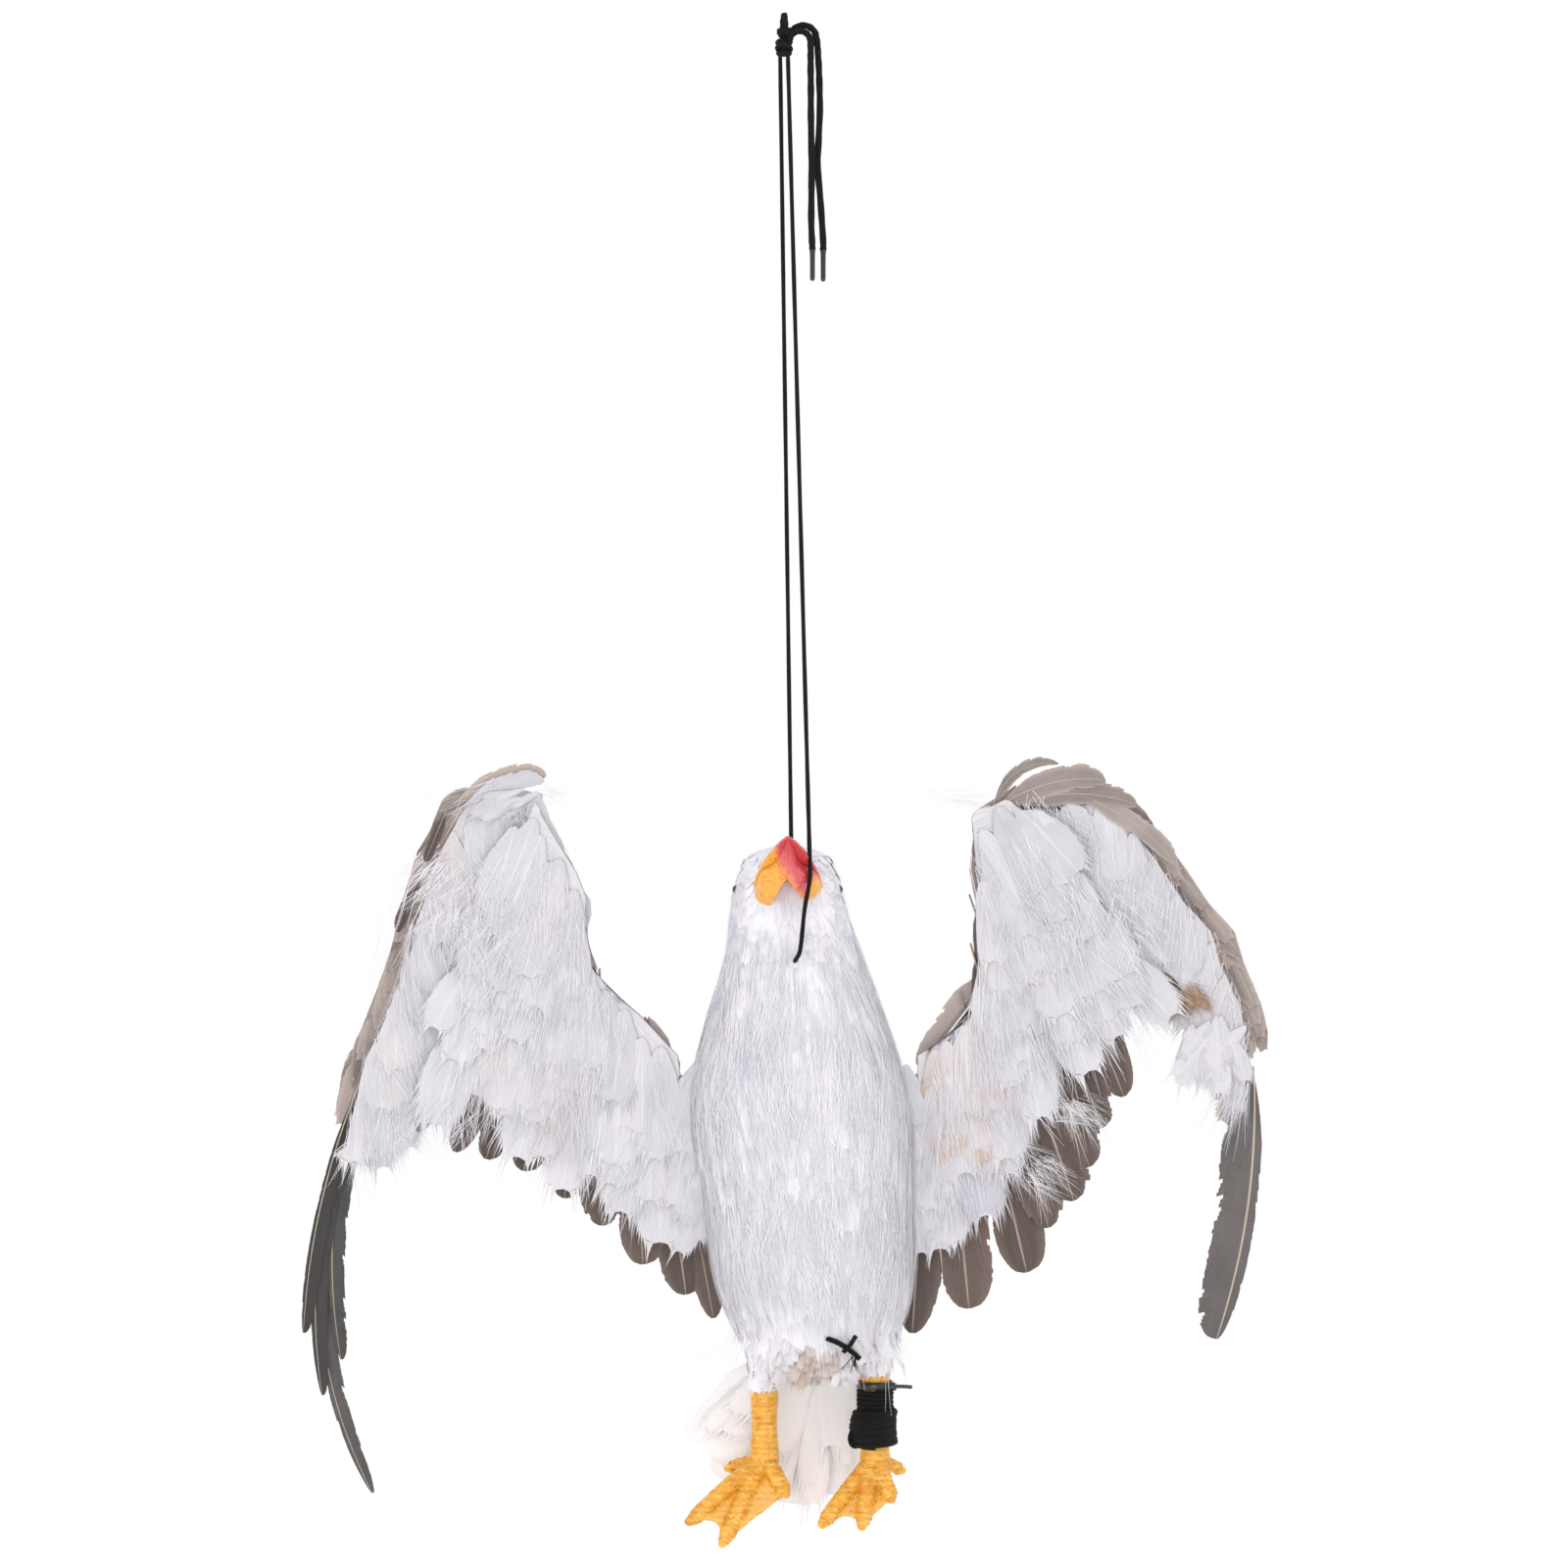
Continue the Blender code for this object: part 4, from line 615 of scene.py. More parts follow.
# Depth below the hook, centre X, centre Y, half width and half depth of the feathered trunk.
TRUNK_STATIONS = (
    (0.424, 0.002, -0.006, 0.00336, 0.00342),
    (0.427, 0.002, -0.006, 0.014, 0.01425),
    (0.4371, 0.002, -0.006, 0.02408, 0.02451),
    (0.451, 0.002, -0.006, 0.028, 0.0285),
    (0.48, 0.0049, -0.003, 0.0345, 0.03078),
    (0.514, 0.00624, 0.0, 0.04525, 0.03775),
    (0.548, 0.0078, 0.0, 0.054, 0.047),
    (0.6, 0.0119, 0.0, 0.053, 0.047),
    (0.656, 0.016, 0.0, 0.0475, 0.04136),
    (0.688, 0.018, 0.0, 0.0342, 0.02914),
)


def read_places(mesh):
    """Positions of a mesh's vertices as rows."""
    places = np.empty(len(mesh.vertices) * 3)
    mesh.vertices.foreach_get("co", places)
    return places.reshape(-1, 3)


def write_places(mesh, places):
    """Put a mesh's vertices at new positions."""
    mesh.vertices.foreach_set("co", places.ravel())
    mesh.update()


def press(height, rise, spread):
    """Heights pressed down to less than a rise, in their old order."""
    return np.where(height > 0.0, rise * (1.0 - np.exp(-np.maximum(height, 0.0) / spread)), height)


# Depth from which the rump's feathers hang free.
FREE_BELOW = 0.676


class Trunk:
    """Feathered surface of head and body."""

    def __init__(self):
        stations = np.array(TRUNK_STATIONS)
        slopes = np.gradient(stations[:, 1:], stations[:, 0], axis=0)
        rows = []
        for mark in np.linspace(stations[0, 0], stations[-1, 0], 260):
            low = min(int(np.searchsorted(stations[:, 0], mark, side="right")) - 1, len(stations) - 2)
            span = stations[low + 1, 0] - stations[low, 0]
            t = (mark - stations[low, 0]) / span
            ease = 2 * t ** 3 - 3 * t ** 2 + 1
            row = ease * stations[low, 1:] + (1 - ease) * stations[low + 1, 1:]
            row += span * ((t ** 3 - 2 * t ** 2 + t) * slopes[low] + (t ** 3 - t ** 2) * slopes[low + 1])
            rows.append([mark, *row])
        self.table = np.array(rows)

    def section(self, depth):
        """Centre X, centre Y, half width and half depth at a depth."""
        return [float(np.interp(depth, self.table[:, 0], self.table[:, k])) for k in range(1, 5)]

    def point(self, depth, turn, out=0.0):
        """Point on the surface; turn 0 faces +X and minus a quarter turn faces the belly side."""
        x, y, wide, deep = self.section(depth)
        return Vector((x + (wide + out) * cos(turn), y + (deep + out) * sin(turn), -depth))

    def lie(self, depth, turn):
        """Point, downward direction and outward normal of the surface."""
        here = self.point(depth, turn)
        down = (self.point(depth + 0.002, turn) - self.point(depth - 0.002, turn)).normalized()
        across = (self.point(depth, turn + 0.02) - self.point(depth, turn - 0.02)).normalized()
        normal = across.cross(down)
        if normal.dot(Vector((cos(turn), sin(turn), 0.0))) < 0:
            normal = -normal
        return here, down, normal.normalized()

    def settle(self, piece, rise, base):
        """Press a piece's feathers on to the surface; what is below a last depth hangs free."""
        mesh = piece.data
        places = read_places(mesh)
        depth = -places[:, 2]
        x, y, wide, deep = (np.interp(depth, self.table[:, 0], self.table[:, k]) for k in range(1, 5))
        across, through = places[:, 0] - x, places[:, 1] - y
        away = np.maximum(np.hypot(across, through), 1e-6)
        ratio = np.maximum(np.hypot(across / wide, through / deep), 1e-6)
        radius = away / ratio
        height = away - radius
        free = np.clip((depth - FREE_BELOW) / 0.012, 0.0, 1.0)
        settled = base + press(height, rise, PRESS_SPREAD)
        height = settled + (height - settled) * free
        scale = (radius + height) / away
        places[:, 0] = x + across * scale
        places[:, 1] = y + through * scale
        write_places(mesh, places)


# Feathers made once and laid many times


def soft_feather(name, seed, width, strands, fringe, curl, camber, slant=0.5):
    """Feather of unit length along +Y with a soft rim of barb ends; it is only laid by the scatter tree."""
    dice = random.Random(seed)
    built = bmesh.new()
    layer = uv_layer(built)
    half = width / 2

    def spot(x, y):
        return Vector((x, y, curl * y * y - camber * abs(x / half) ** 1.8))

    def reach(v):
        rise = min(1.0, (v + 0.05) / 0.4) ** 0.7
        return half * rise * sqrt(max(0.02, 1.0 - max(0.0, (v - 0.5) / 0.52) ** 2.2))

    def rim(side, v):
        wide = reach(v)
        return side * wide, v * 0.88 + slant * wide * (1.0 - 0.5 * v)

    def face(side, corners, marks):
        if side > 0:
            corners, marks = corners[::-1], marks[::-1]
        uv_face(built, layer, [built.verts.new(spot(*corner)) for corner in corners],
                [(0.5 + side * 0.5 * u, v) for u, v in marks])

    rows = (0.0, 0.12, 0.28, 0.45, 0.62, 0.78, 0.9, 1.0)
    for side in (-1.0, 1.0):
        for low, high in zip(rows, rows[1:]):
            face(side, [(0.0, low * 0.88), (0.0, high * 0.88), rim(side, high), rim(side, low)],
                 [(0.0, low), (0.0, high), (1.0, high), (1.0, low)])
        for k in range(strands):
            low = 0.1 + 0.9 * k / strands
            high = 0.1 + 0.9 * (k + 1) / strands
            first, last = rim(side, low), rim(side, high)
            middle = ((first[0] + last[0]) / 2, (first[1] + last[1]) / 2)
            lean = side * (0.42 - 0.38 * low) + dice.uniform(-0.16, 0.16)
            reach_out = fringe * dice.uniform(0.45, 1.35)
            tip = (middle[0] + lean * reach_out, middle[1] + reach_out)
            waist = 0.45
            near = (first[0] * (1 - waist) + tip[0] * waist + (last[0] - first[0]) * 0.15,
                    first[1] * (1 - waist) + tip[1] * waist)
            far = (last[0] * (1 - waist) + tip[0] * waist - (last[0] - first[0]) * 0.15,
                   last[1] * (1 - waist) + tip[1] * waist)
            face(side, [first, last, far, near], [(1.0, low), (1.0, high), (1.0, high), (1.0, low)])
            face(side, [near, far, tip], [(1.0, low), (1.0, high), (1.0, high)])
    bmesh.ops.remove_doubles(built, verts=built.verts[:], dist=0.0004)
    return link_built(name, built)


def wisp(name, seed, strands=5):
    """Few loose barbs of unit length along +Y that spring from one root."""
    dice = random.Random(seed)
    built = bmesh.new()
    layer = uv_layer(built)
    for k in range(strands):
        start = Vector((dice.uniform(-0.25, 0.25), dice.uniform(0.0, 0.3), 0.0))
        lean = dice.uniform(-0.16, 0.16)
        bend = dice.uniform(-0.14, 0.14)
        long = dice.uniform(0.5, 1.0)
        rows = []
        for v in (0.0, 0.3, 0.6, 0.85, 1.0):
            middle = start + Vector((lean * v + bend * v * v, v * long, 0.05 * v * v))
            thin = Vector((0.0085 * (1.0 - 0.8 * v), 0.0, 0.0))
            rows.append((built.verts.new(middle - thin), built.verts.new(middle + thin)))
        for i in range(4):
            uv_face(built, layer, tile(rows, i, 0), [(0.8, v / 4) for v in (i, i, i + 1, i + 1)])
    return link_built(name, built)


SIZE_VARIATION = 0.14
PRESS_SPREAD = 0.006


def scatter_tree():
    """Geometry nodes that lay one of three feathers on every point, turned and sized by the point."""
    found = bpy.data.node_groups.get("feathers on points")
    if found:
        return found
    tree = bpy.data.node_groups.new("feathers on points", "GeometryNodeTree")
    for name, kind in (("Geometry", "Geometry"), ("Feather A", "Object"), ("Feather B", "Object"),
                       ("Feather C", "Object"), ("Finish", "Material"), ("Size variation", "Float"),
                       ("Seed", "Int")):
        tree.interface.new_socket(name, in_out="INPUT", socket_type="NodeSocket" + kind)
    tree.interface.new_socket("Geometry", in_out="OUTPUT", socket_type="NodeSocketGeometry")
    entry = tree.nodes.new("NodeGroupInput").outputs
    choices = tree.nodes.new("GeometryNodeJoinGeometry")
    for letter in "ABC":
        shape = add(tree, "GeometryNodeObjectInfo", {"Object": entry["Feather " + letter]})
        one = add(tree, "GeometryNodeGeometryToInstance", {"Geometry": shape.outputs["Geometry"]})
        tree.links.new(one.outputs[0], choices.inputs[0])
    pick = add(tree, "FunctionNodeRandomValue", {4: 0, 5: 2, "Seed": entry["Seed"]}, data_type="INT")
    facing = add(tree, "GeometryNodeInputNamedAttribute", {"Name": "facing"}, data_type="FLOAT_VECTOR")
    turn = add(tree, "FunctionNodeEulerToRotation", {0: facing.outputs[0]})
    size = add(tree, "GeometryNodeInputNamedAttribute", {"Name": "size"}, data_type="FLOAT_VECTOR")
    least = minus(tree, 1.0, entry["Size variation"])
    most = plus(tree, 1.0, entry["Size variation"])
    vary = add(tree, "FunctionNodeRandomValue", {2: least, 3: most, "Seed": entry["Seed"]}, data_type="FLOAT")
    scale = add(tree, "ShaderNodeVectorMath", {0: size.outputs[0], "Scale": vary.outputs[1]}, operation="SCALE")
    placed = add(tree, "GeometryNodeInstanceOnPoints", {
        "Points": entry["Geometry"], "Instance": choices.outputs[0], "Pick Instance": True,
        "Instance Index": pick.outputs[2], "Rotation": turn.outputs[0], "Scale": scale.outputs[0]})
    real = add(tree, "GeometryNodeRealizeInstances", {"Geometry": placed.outputs[0]})
    dressed = add(tree, "GeometryNodeSetMaterial", {"Geometry": real.outputs[0], "Material": entry["Finish"]})
    add(tree, "NodeGroupOutput", {"Geometry": dressed.outputs[0]})
    return tree


def scatter(name, spots, kind, material, seed):
    """Plain mesh with a feather of a kind on each spot: place, direction, normal, length, width and tint."""
    mesh = bpy.data.meshes.new(name + "_spots")
    mesh.from_pydata([tuple(spot[0]) for spot in spots], [], [])
    facings = []
    sizes = []
    for place, along, normal, length, width, tint in spots:
        across = along.cross(normal).normalized()
        outward = across.cross(along).normalized()
        turned = Matrix((across, along.normalized(), outward)).transposed()
        facings.extend(turned.to_euler())
        sizes.extend((width, length, length))
    for key, form, values in (("facing", "FLOAT_VECTOR", facings), ("size", "FLOAT_VECTOR", sizes),
                              ("tint", "FLOAT", [spot[5] for spot in spots])):
        field = mesh.attributes.new(key, form, "POINT")
        field.data.foreach_set("vector" if form == "FLOAT_VECTOR" else "value", values)
    holder = link(name + "_spots", mesh)
    laying = holder.modifiers.new("feathers", "NODES")
    tree = scatter_tree()
    laying.node_group = tree
    inputs = {item.name: item.identifier for item in tree.interface.items_tree if item.in_out == "INPUT"}
    for letter, template in zip("ABC", feather_sets()[kind]):
        laying[inputs["Feather " + letter]] = template
    for key, value in (("Finish", finish(material)), ("Size variation", SIZE_VARIATION), ("Seed", seed)):
        laying[inputs[key]] = value
    ready = holder.evaluated_get(bpy.context.evaluated_depsgraph_get())
    result = bpy.data.meshes.new_from_object(ready)
    result.name = name
    for key in ("facing", "size"):
        if key in result.attributes:
            result.attributes.remove(result.attributes[key])
    bpy.data.objects.remove(holder, do_unlink=True)
    return link(name, result)


def laid(along, normal, lift, swing=0.0):
    """Direction and normal of a feather raised off its surface and swung in it."""
    along = Matrix.Rotation(swing, 3, normal) @ along
    raised = along * cos(lift) + normal * sin(lift)
    return raised, normal * cos(lift) - along * sin(lift)


def join(name, pieces):
    """One object from several."""
    built = bmesh.new()
    materials = []
    for piece in pieces:
        shift = len(materials)
        materials.extend(piece.data.materials)
        before = len(built.faces)
        built.from_mesh(piece.data)
        built.faces.ensure_lookup_table()
        for face in built.faces[before:]:
            face.material_index += shift
        bpy.data.objects.remove(piece, do_unlink=True)
    mesh = bpy.data.meshes.new(name)
    built.to_mesh(mesh)
    built.free()
    joined = link(name, mesh)
    for material in materials:
        mesh.materials.append(material)
    return joined


# Lace


class LaceRoute:
    """Route of the lace, from the knot round the neck and back, as the packed model has it."""
    loop_depth = 0.0056
    diameter = 0.0028
    strand_offset = 0.0014
    throat_curl = 0.0053
    bill_touch = Vector((0.013, -0.047, -0.436))
    throat_x = 0.005
    throat_lean = 0.0026
    throat_depth = 0.4825
    nape_depth = 0.474
    gap = 0.0003
    tuck = 0.0012


def sling_route():
    """Down the front, past the bill, through the neck and up behind the head to the knot."""
    route = LaceRoute
    radius = route.diameter / 2
    foot = -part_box("lace_knot")[0][2]
    offset = route.strand_offset + radius * 0.4
    trunk = Trunk()
    start = Vector((offset, -radius - route.gap, -foot + route.tuck))
    end = Vector((-offset, radius + route.gap, -foot + route.tuck))
    throat = trunk.point(route.throat_depth, radians(-90))
    throat.x += route.throat_x - trunk.section(0.451)[0] - route.throat_lean
    nape = trunk.point(route.nape_depth, radians(90))
    bend = route.throat_curl
    touch = route.bill_touch
    points = [start, start.lerp(touch, 0.02)]
    points += [start.lerp(touch, share) for share in (0.15, 0.35, 0.55, 0.75, 0.9, 0.97)]
    points += [touch + Vector((0.0, bend * 0.1, -bend * 0.75)),
               touch + Vector((-bend * 0.5, bend * 0.19, -bend * 3.77)),
               throat + Vector((0.0028, -bend * 1.1, bend * 1.25)),
               throat + Vector((0.0008, -bend * 0.6, bend * 0.28)),
               throat.lerp(nape, 0.04), throat.lerp(nape, 0.5), throat.lerp(nape, 0.97),
               nape + Vector((0.0, bend * 0.55, bend * 0.25)), nape + Vector((0.0, bend * 0.92, bend * 1.2))]
    rise = points[-1]
    points += [rise.lerp(end, share) for share in (0.06, 0.2, 0.4, 0.6, 0.8, 0.98)]
    points.append(end)
    return points


# Each free end: radius of its arch, then sideways place and depth of the points down its run
FREE_ENDS = {
    "a": (0.0054, ((0.0135, 0.015), (0.0136, 0.0188), (0.0136, 0.0235), (0.0136, 0.03), (0.0137, 0.039),
                   (0.0137, 0.0495), (0.0139, 0.064), (0.0141, 0.078), (0.014, 0.093), (0.0139, 0.107),
                   (0.0143, 0.117), (0.0145, 0.121))),
    "b": (0.0068, ((0.0166, 0.013), (0.0171, 0.0168), (0.0174, 0.0215), (0.0178, 0.028), (0.0181, 0.037),
                   (0.0183, 0.0495), (0.0177, 0.064), (0.0172, 0.078), (0.0184, 0.093), (0.0194, 0.107),
                   (0.02, 0.117), (0.02, 0.121))),
}


def free_end_route(letter):
    """Out of the knot's side, over an arch and down, as a limp lace falls."""
    arch, run = FREE_ENDS[letter]
    lean = LaceRoute.diameter * (0.56 if letter == "b" else -0.56)
    right, depth = run[0]
    points = []
    for degrees in range(180, 0, -30):
        turn = radians(degrees)
        points.append(Vector((right - arch + arch * cos(turn), lean, -depth + arch * sin(turn))))
    return points + [Vector((x, lean, -z)) for x, z in run]


def braided(name, path, wide, thick, seed):
    """Lace along a path, a little narrower and wider along its run like a pulled braid."""
    dice = random.Random(seed)
    phase = dice.uniform(0.0, 6.0)
    built = bmesh.new()
    wides = [wide * (1.0 + 0.05 * sin(phase + i * 0.9) + dice.uniform(-0.02, 0.02)) for i in range(len(path))]
    thicks = [thick * (1.0 + dice.uniform(-0.03, 0.03)) for i in range(len(path))]
    sweep(built, path, wides, thicks, 12, ACROSS)
    return link_built(name, built, "braided lace")


def make_lace():
    """Loop, knot, sling, two free ends and their tips."""
    sizes = lace()
    make_knot()
    make_loop()
    path = smooth_path(sling_route(), 8)
    sling = braided("lace_sling_braid", path, sizes.thickness, sizes.thickness * 1.15, 3)
    dress(sling, "gull", "lace", "lace_sling")
    for letter, seed in (("a", 5), ("b", 6)):
        path = smooth_path(free_end_route(letter), 6)
        end = braided("lace_end_" + letter, path, sizes.width, sizes.thickness, seed)
        dress(end, "gull", "lace", "lace_free_end_" + letter)
        aglet = make_aglet(letter, path[-1])


def make_aglet(letter, top):
    """Crimped plastic tip with a rounded nose."""
    built = bmesh.new()
    shape = ((0.0, 0.0029), (0.0006, 0.0031), (0.002, 0.0028), (0.004, 0.0027), (0.009, 0.0026),
             (0.0142, 0.0026), (0.0155, 0.0022), (0.016, 0.0012))
    path = [top - UP * drop for drop, width in shape]
    sweep(built, path, [width for drop, width in shape], [width * 0.85 for drop, width in shape], 14)
    tip = link_built("lace_tip_" + letter, built, "aglet plastic")
    dress(tip, "gull", "aglet", "aglet_" + letter)
    return tip


def make_loop():
    """Narrow bight of the lace over the hook, flat side out, running down into the knot."""
    drop = LaceRoute.loop_depth
    deep = 0.0026
    route = [(0.0006, -0.0016, -drop - 0.0034), (0.0006, -0.0021, -drop), (0.0003, -deep, -drop * 0.45),
             (0.0, -deep * 0.5, -0.0009), (0.0, deep * 0.5, -0.0009), (-0.0003, deep, -drop * 0.45),
             (-0.0006, 0.0021, -drop), (-0.0006, 0.0016, -drop - 0.0034)]
    loop = braided("lace_loop_braid", smooth_path(route, 6), LaceRoute.diameter * 1.15, 0.0015, 9)
    dress(loop, "hanger", "lace", "lace_loop")


def make_knot():
    """Overhand knot drawn tight, as three crossing turns over a core, and the collar's turns above them."""
    low, high = corners_of("lace_knot")
    centre = (low + high) / 2
    built = bmesh.new()
    core = [UP * (high.z - 0.0006), centre, UP * (low.z + 0.0004)]
    sweep(built, core, [0.0046, 0.0058, 0.005], [0.0044, 0.0054, 0.0046], 12)
    for tilt, rise, radius, start in ((0.42, 0.0024, 0.0033, 0.0), (-0.38, -0.0006, 0.0034, 1.3),
                                      (0.2, -0.0031, 0.0029, 2.4)):
        turn = []
        for k in range(41):
            t = start + 2 * pi * 1.05 * k / 40
            out = radius * (1.0 + 0.08 * sin(2 * t))
            turn.append(centre + Vector((out * cos(t), out * sin(t) * 0.86, rise + sin(t) * tilt * radius)))
        sweep(built, turn, 0.0029, 0.0024, 10, UP)
    dress(link_built("lace_knot_turns", built, "braided lace"), "gull", "lace", "lace_knot")
    low, high = corners_of("lace_knot_collar")
    built = bmesh.new()
    turn = []
    fall = high.z - low.z - 0.0014
    for k in range(73):
        t = 2 * pi * 2.4 * k / 72
        turn.append(Vector((0.0026 * cos(t), 0.0024 * sin(t), high.z - 0.0006 - fall * k / 72)))
    sweep(built, turn, 0.0028, 0.0023, 10, UP)
    core = [UP * high.z, UP * ((low.z + high.z) / 2), UP * (low.z - 0.0004)]
    sweep(built, core, 0.0046, 0.0042, 12)
    dress(link_built("lace_collar_turn", built, "braided lace"), "collar", "lace", "lace_knot_collar")


# Bill and eyes


BILL_RISE = radians(42)
BILL_BASE = Vector((0.002, -0.03, -0.446))
BILL_LENGTH = 0.04
BILL_HALF_WIDTH = 0.0165


def bill_axes():
    """Directions along the bill and square to it."""
    along = Vector((0.0, -cos(BILL_RISE), sin(BILL_RISE)))
    rise = along.cross(ACROSS)
    return along, rise if rise.z > 0 else -rise


def bill_width(share):
    """Half width of the bill at a share of its length."""
    return BILL_HALF_WIDTH * (1.0 - share ** 1.55) + 0.0011


def lower_share(share):
    """The lower half of the bill against the upper one's width: as wide at its base, and half of it ahead."""
    ahead = min(1.0, max(0.0, (share - 0.34) / 0.26))
    return 0.97 - 0.47 * ahead * ahead * (3.0 - 2.0 * ahead)


def mandible(upper):
    """Closed shell of one half of the bill, split at its base into two branches when it is the lower one."""
    along, rise = bill_axes()
    rows, columns = 22, 24
    built = bmesh.new()
    length = BILL_LENGTH * (1.0 if upper else 0.955)
    notch = 0.0 if upper else 0.38
    outer = []
    inner = []
    for i in range(rows + 1):
        share = i / rows
        wide = bill_width(share) * (1.0 if upper else lower_share(share))
        deep = (0.0104 if upper else 0.0098) * (1.0 - 0.8 * share ** 1.2)
        seam = -0.0003 * sin(pi * share)
        high_row = []
        low_row = []
        for k in range(columns + 1):
            u = k / columns * 2 - 1
            open_half = (max(0.0, notch - share) / notch) ** 0.8 * 0.5 if notch else 0.0
            u_open = copysign(open_half + (1 - open_half) * abs(u), u if u else 1.0)
            arch = max(0.0, 1.0 - abs(u_open) ** 2.3) ** 0.55
            crease = -0.16 * exp(-(u_open / 0.16) ** 2) * (share ** 0.5) if not upper else 0.0
            sag = -0.0016 * sin(pi * share) if not upper else 0.0012 * sin(pi * share)
            level = deep * (arch + crease)
            place = BILL_BASE + along * length * share + ACROSS * wide * u_open
            if notch and u < 0:
                place -= along * length * 0.15 * max(0.0, 1.0 - share / notch) ** 1.4
            lump = 0.00045 * noise(place * 260)
            hook = -0.0022 * share ** 6 if upper else 0.0
            sign = 1.0 if upper else -1.0
            outside = sign * (level + lump) + 0.0003 * sign + sag + hook
            high_row.append(built.verts.new(place + rise * outside))
            low_row.append(built.verts.new(place + rise * (0.0002 * sign + seam + hook)))
        outer.append(high_row)
        inner.append(low_row)
    middle = columns // 2
    for i in range(rows):
        for k in range(columns):
            if k == middle - 1 and i / rows < notch:
                continue
            built.faces.new(tile(outer, i, k))
            built.faces.new(tile(inner, i, k, True))
        for k in (0, columns) + ((middle - 1, middle) if i / rows < notch else ()):
            built.faces.new((outer[i][k], outer[i + 1][k], inner[i + 1][k], inner[i][k]))
    for i in (0, rows):
        for k in range(columns):
            if k == middle - 1 and i / rows < notch:
                continue
            built.faces.new((outer[i][k], outer[i][k + 1], inner[i][k + 1], inner[i][k]))
    bmesh.ops.recalc_face_normals(built, faces=built.faces[:])
    return built


def make_bill():
    """Upper and lower bill and both eyes."""
    for name, upper in (("upper", True), ("lower", False)):
        half = link_built("bill_" + name, mandible(upper), "bill resin")
        step = half.modifiers.new("finer", "SUBSURF")
        step.levels = step.render_levels = 1
        keep_modifiers(half)
        dress(half, "gull", "bill", name + "_bill")
    for side in SIDES:
        low, high = corners_of(side + "_eye")
        built = bmesh.new()
        bmesh.ops.create_uvsphere(built, u_segments=24, v_segments=16, radius=(high - low).x / 2)
        forward = Vector((SIDES[side] * 0.0004, -0.0012, 0.0))
        bmesh.ops.translate(built, vec=(low + high) / 2 + forward, verts=built.verts[:])
        dress(link_built(side + "_eye_bead", built, "eye bead"), "gull", "eye", side + "_eye")


def keep_modifiers(piece):
    """Turn a piece's modifiers into its own mesh."""
    ready = piece.evaluated_get(bpy.context.evaluated_depsgraph_get())
    mesh = bpy.data.meshes.new_from_object(ready)
    piece.modifiers.clear()
    piece.data = mesh
    mesh.shade_smooth()


# Plumage of body and head


def near_bill(place):
    """How near a place is to the root of the bill, 1 at its wall, and the way out from the bill's line."""
    along, rise = bill_axes()
    offset = place - BILL_BASE
    away = offset - along * offset.dot(along)
    return hypot(away.x / BILL_HALF_WIDTH, away.dot(rise) / 0.0115), away


def trunk_spots(trunk, first, last, pitch, length, width, dice, lift, swirl=0.3):
    """Spots of feathers in rows down the trunk, flowing down and round the bill."""
    spots = []
    depth = first
    row = 0
    while depth < last:
        x, y, wide, deep = trunk.section(depth)
        count = max(6, int(pi * (wide + deep) / (width * 0.46)))
        for k in range(count):
            turn = 2 * pi * (k + 0.5 * (row % 2) + dice.uniform(-0.35, 0.35)) / count
            here, down, normal = trunk.lie(depth + dice.uniform(-1.3, 1.3) * pitch, turn)
            oval, away = near_bill(here)
            if here.y < -0.016 and oval < 1.0:
                continue
            if here.y < -0.01 and oval < 2.2:
                pull = away.normalized() * max(0.0, 2.2 - oval) * 0.8
                down = (down + pull - normal * pull.dot(normal)).normalized()
            swing = swirl * noise(here * 34 + Vector((3.0, 7.0, 1.0))) + dice.gauss(0.0, 0.1)
            along, outward = laid(down, normal, lift * dice.uniform(0.6, 1.3), swing)
            tint = min(1.0, max(0.0, 0.52 + 0.3 * noise(here * 22) + dice.gauss(0.0, 0.08)))
            size = dice.uniform(0.75, 1.25)
            spots.append((here - normal * 0.0006, along, outward, length * size, width * size / 0.62, tint))
        depth += pitch
        row += 1
    return spots


def make_down(name, trunk, first, last, inset, nodes):
    """Fuzzy white form under the feathers."""
    built = bmesh.new()
    rows, columns = 44, 72
    rings = []
    for i in range(rows + 1):
        ring = []
        for k in range(columns):
            turn = 2 * pi * k / columns
            spot = trunk.point(first + (last - first) * i / rows, turn, -inset)
            ruffle = 0.0009 * noise(spot * 130) + 0.0005 * noise(spot * 420)
            ring.append(built.verts.new(spot + Vector((cos(turn), sin(turn), 0.0)) * ruffle))
        rings.append(ring)
    for i in range(rows):
        for k in range(columns):
            built.faces.new(tile(rings, i, k, True))
    for ring, flip in ((rings[0], False), (rings[-1], True)):
        tip = built.verts.new(sum((vert.co for vert in ring), Vector()) / columns)
        for k in range(columns):
            corners = (ring[k], ring[(k + 1) % columns], tip)
            built.faces.new(corners[::-1] if flip else corners)
    bmesh.ops.recalc_face_normals(built, faces=built.faces[:])
    dress(link_built(name, built, "white down"), "gull", "white_feather", *nodes)


# Depth and place across, degrees from straight down and their spread, length and count of the face's strands;
# the rows at the bill's notch and left branch are white strands that stand in for painted highlight lines along
# the bill, the last row loose strands where the lace goes in.
FACE_STRANDS = (
    (0.445, 0.0016, -4, 16, 0.026, 7),
    (0.449, 0.005, 16, 24, 0.02, 5),
    (0.454, -0.012, -40, 50, 0.01, 9),
    (0.479, 0.004, -80, 60, 0.009, 14),
)


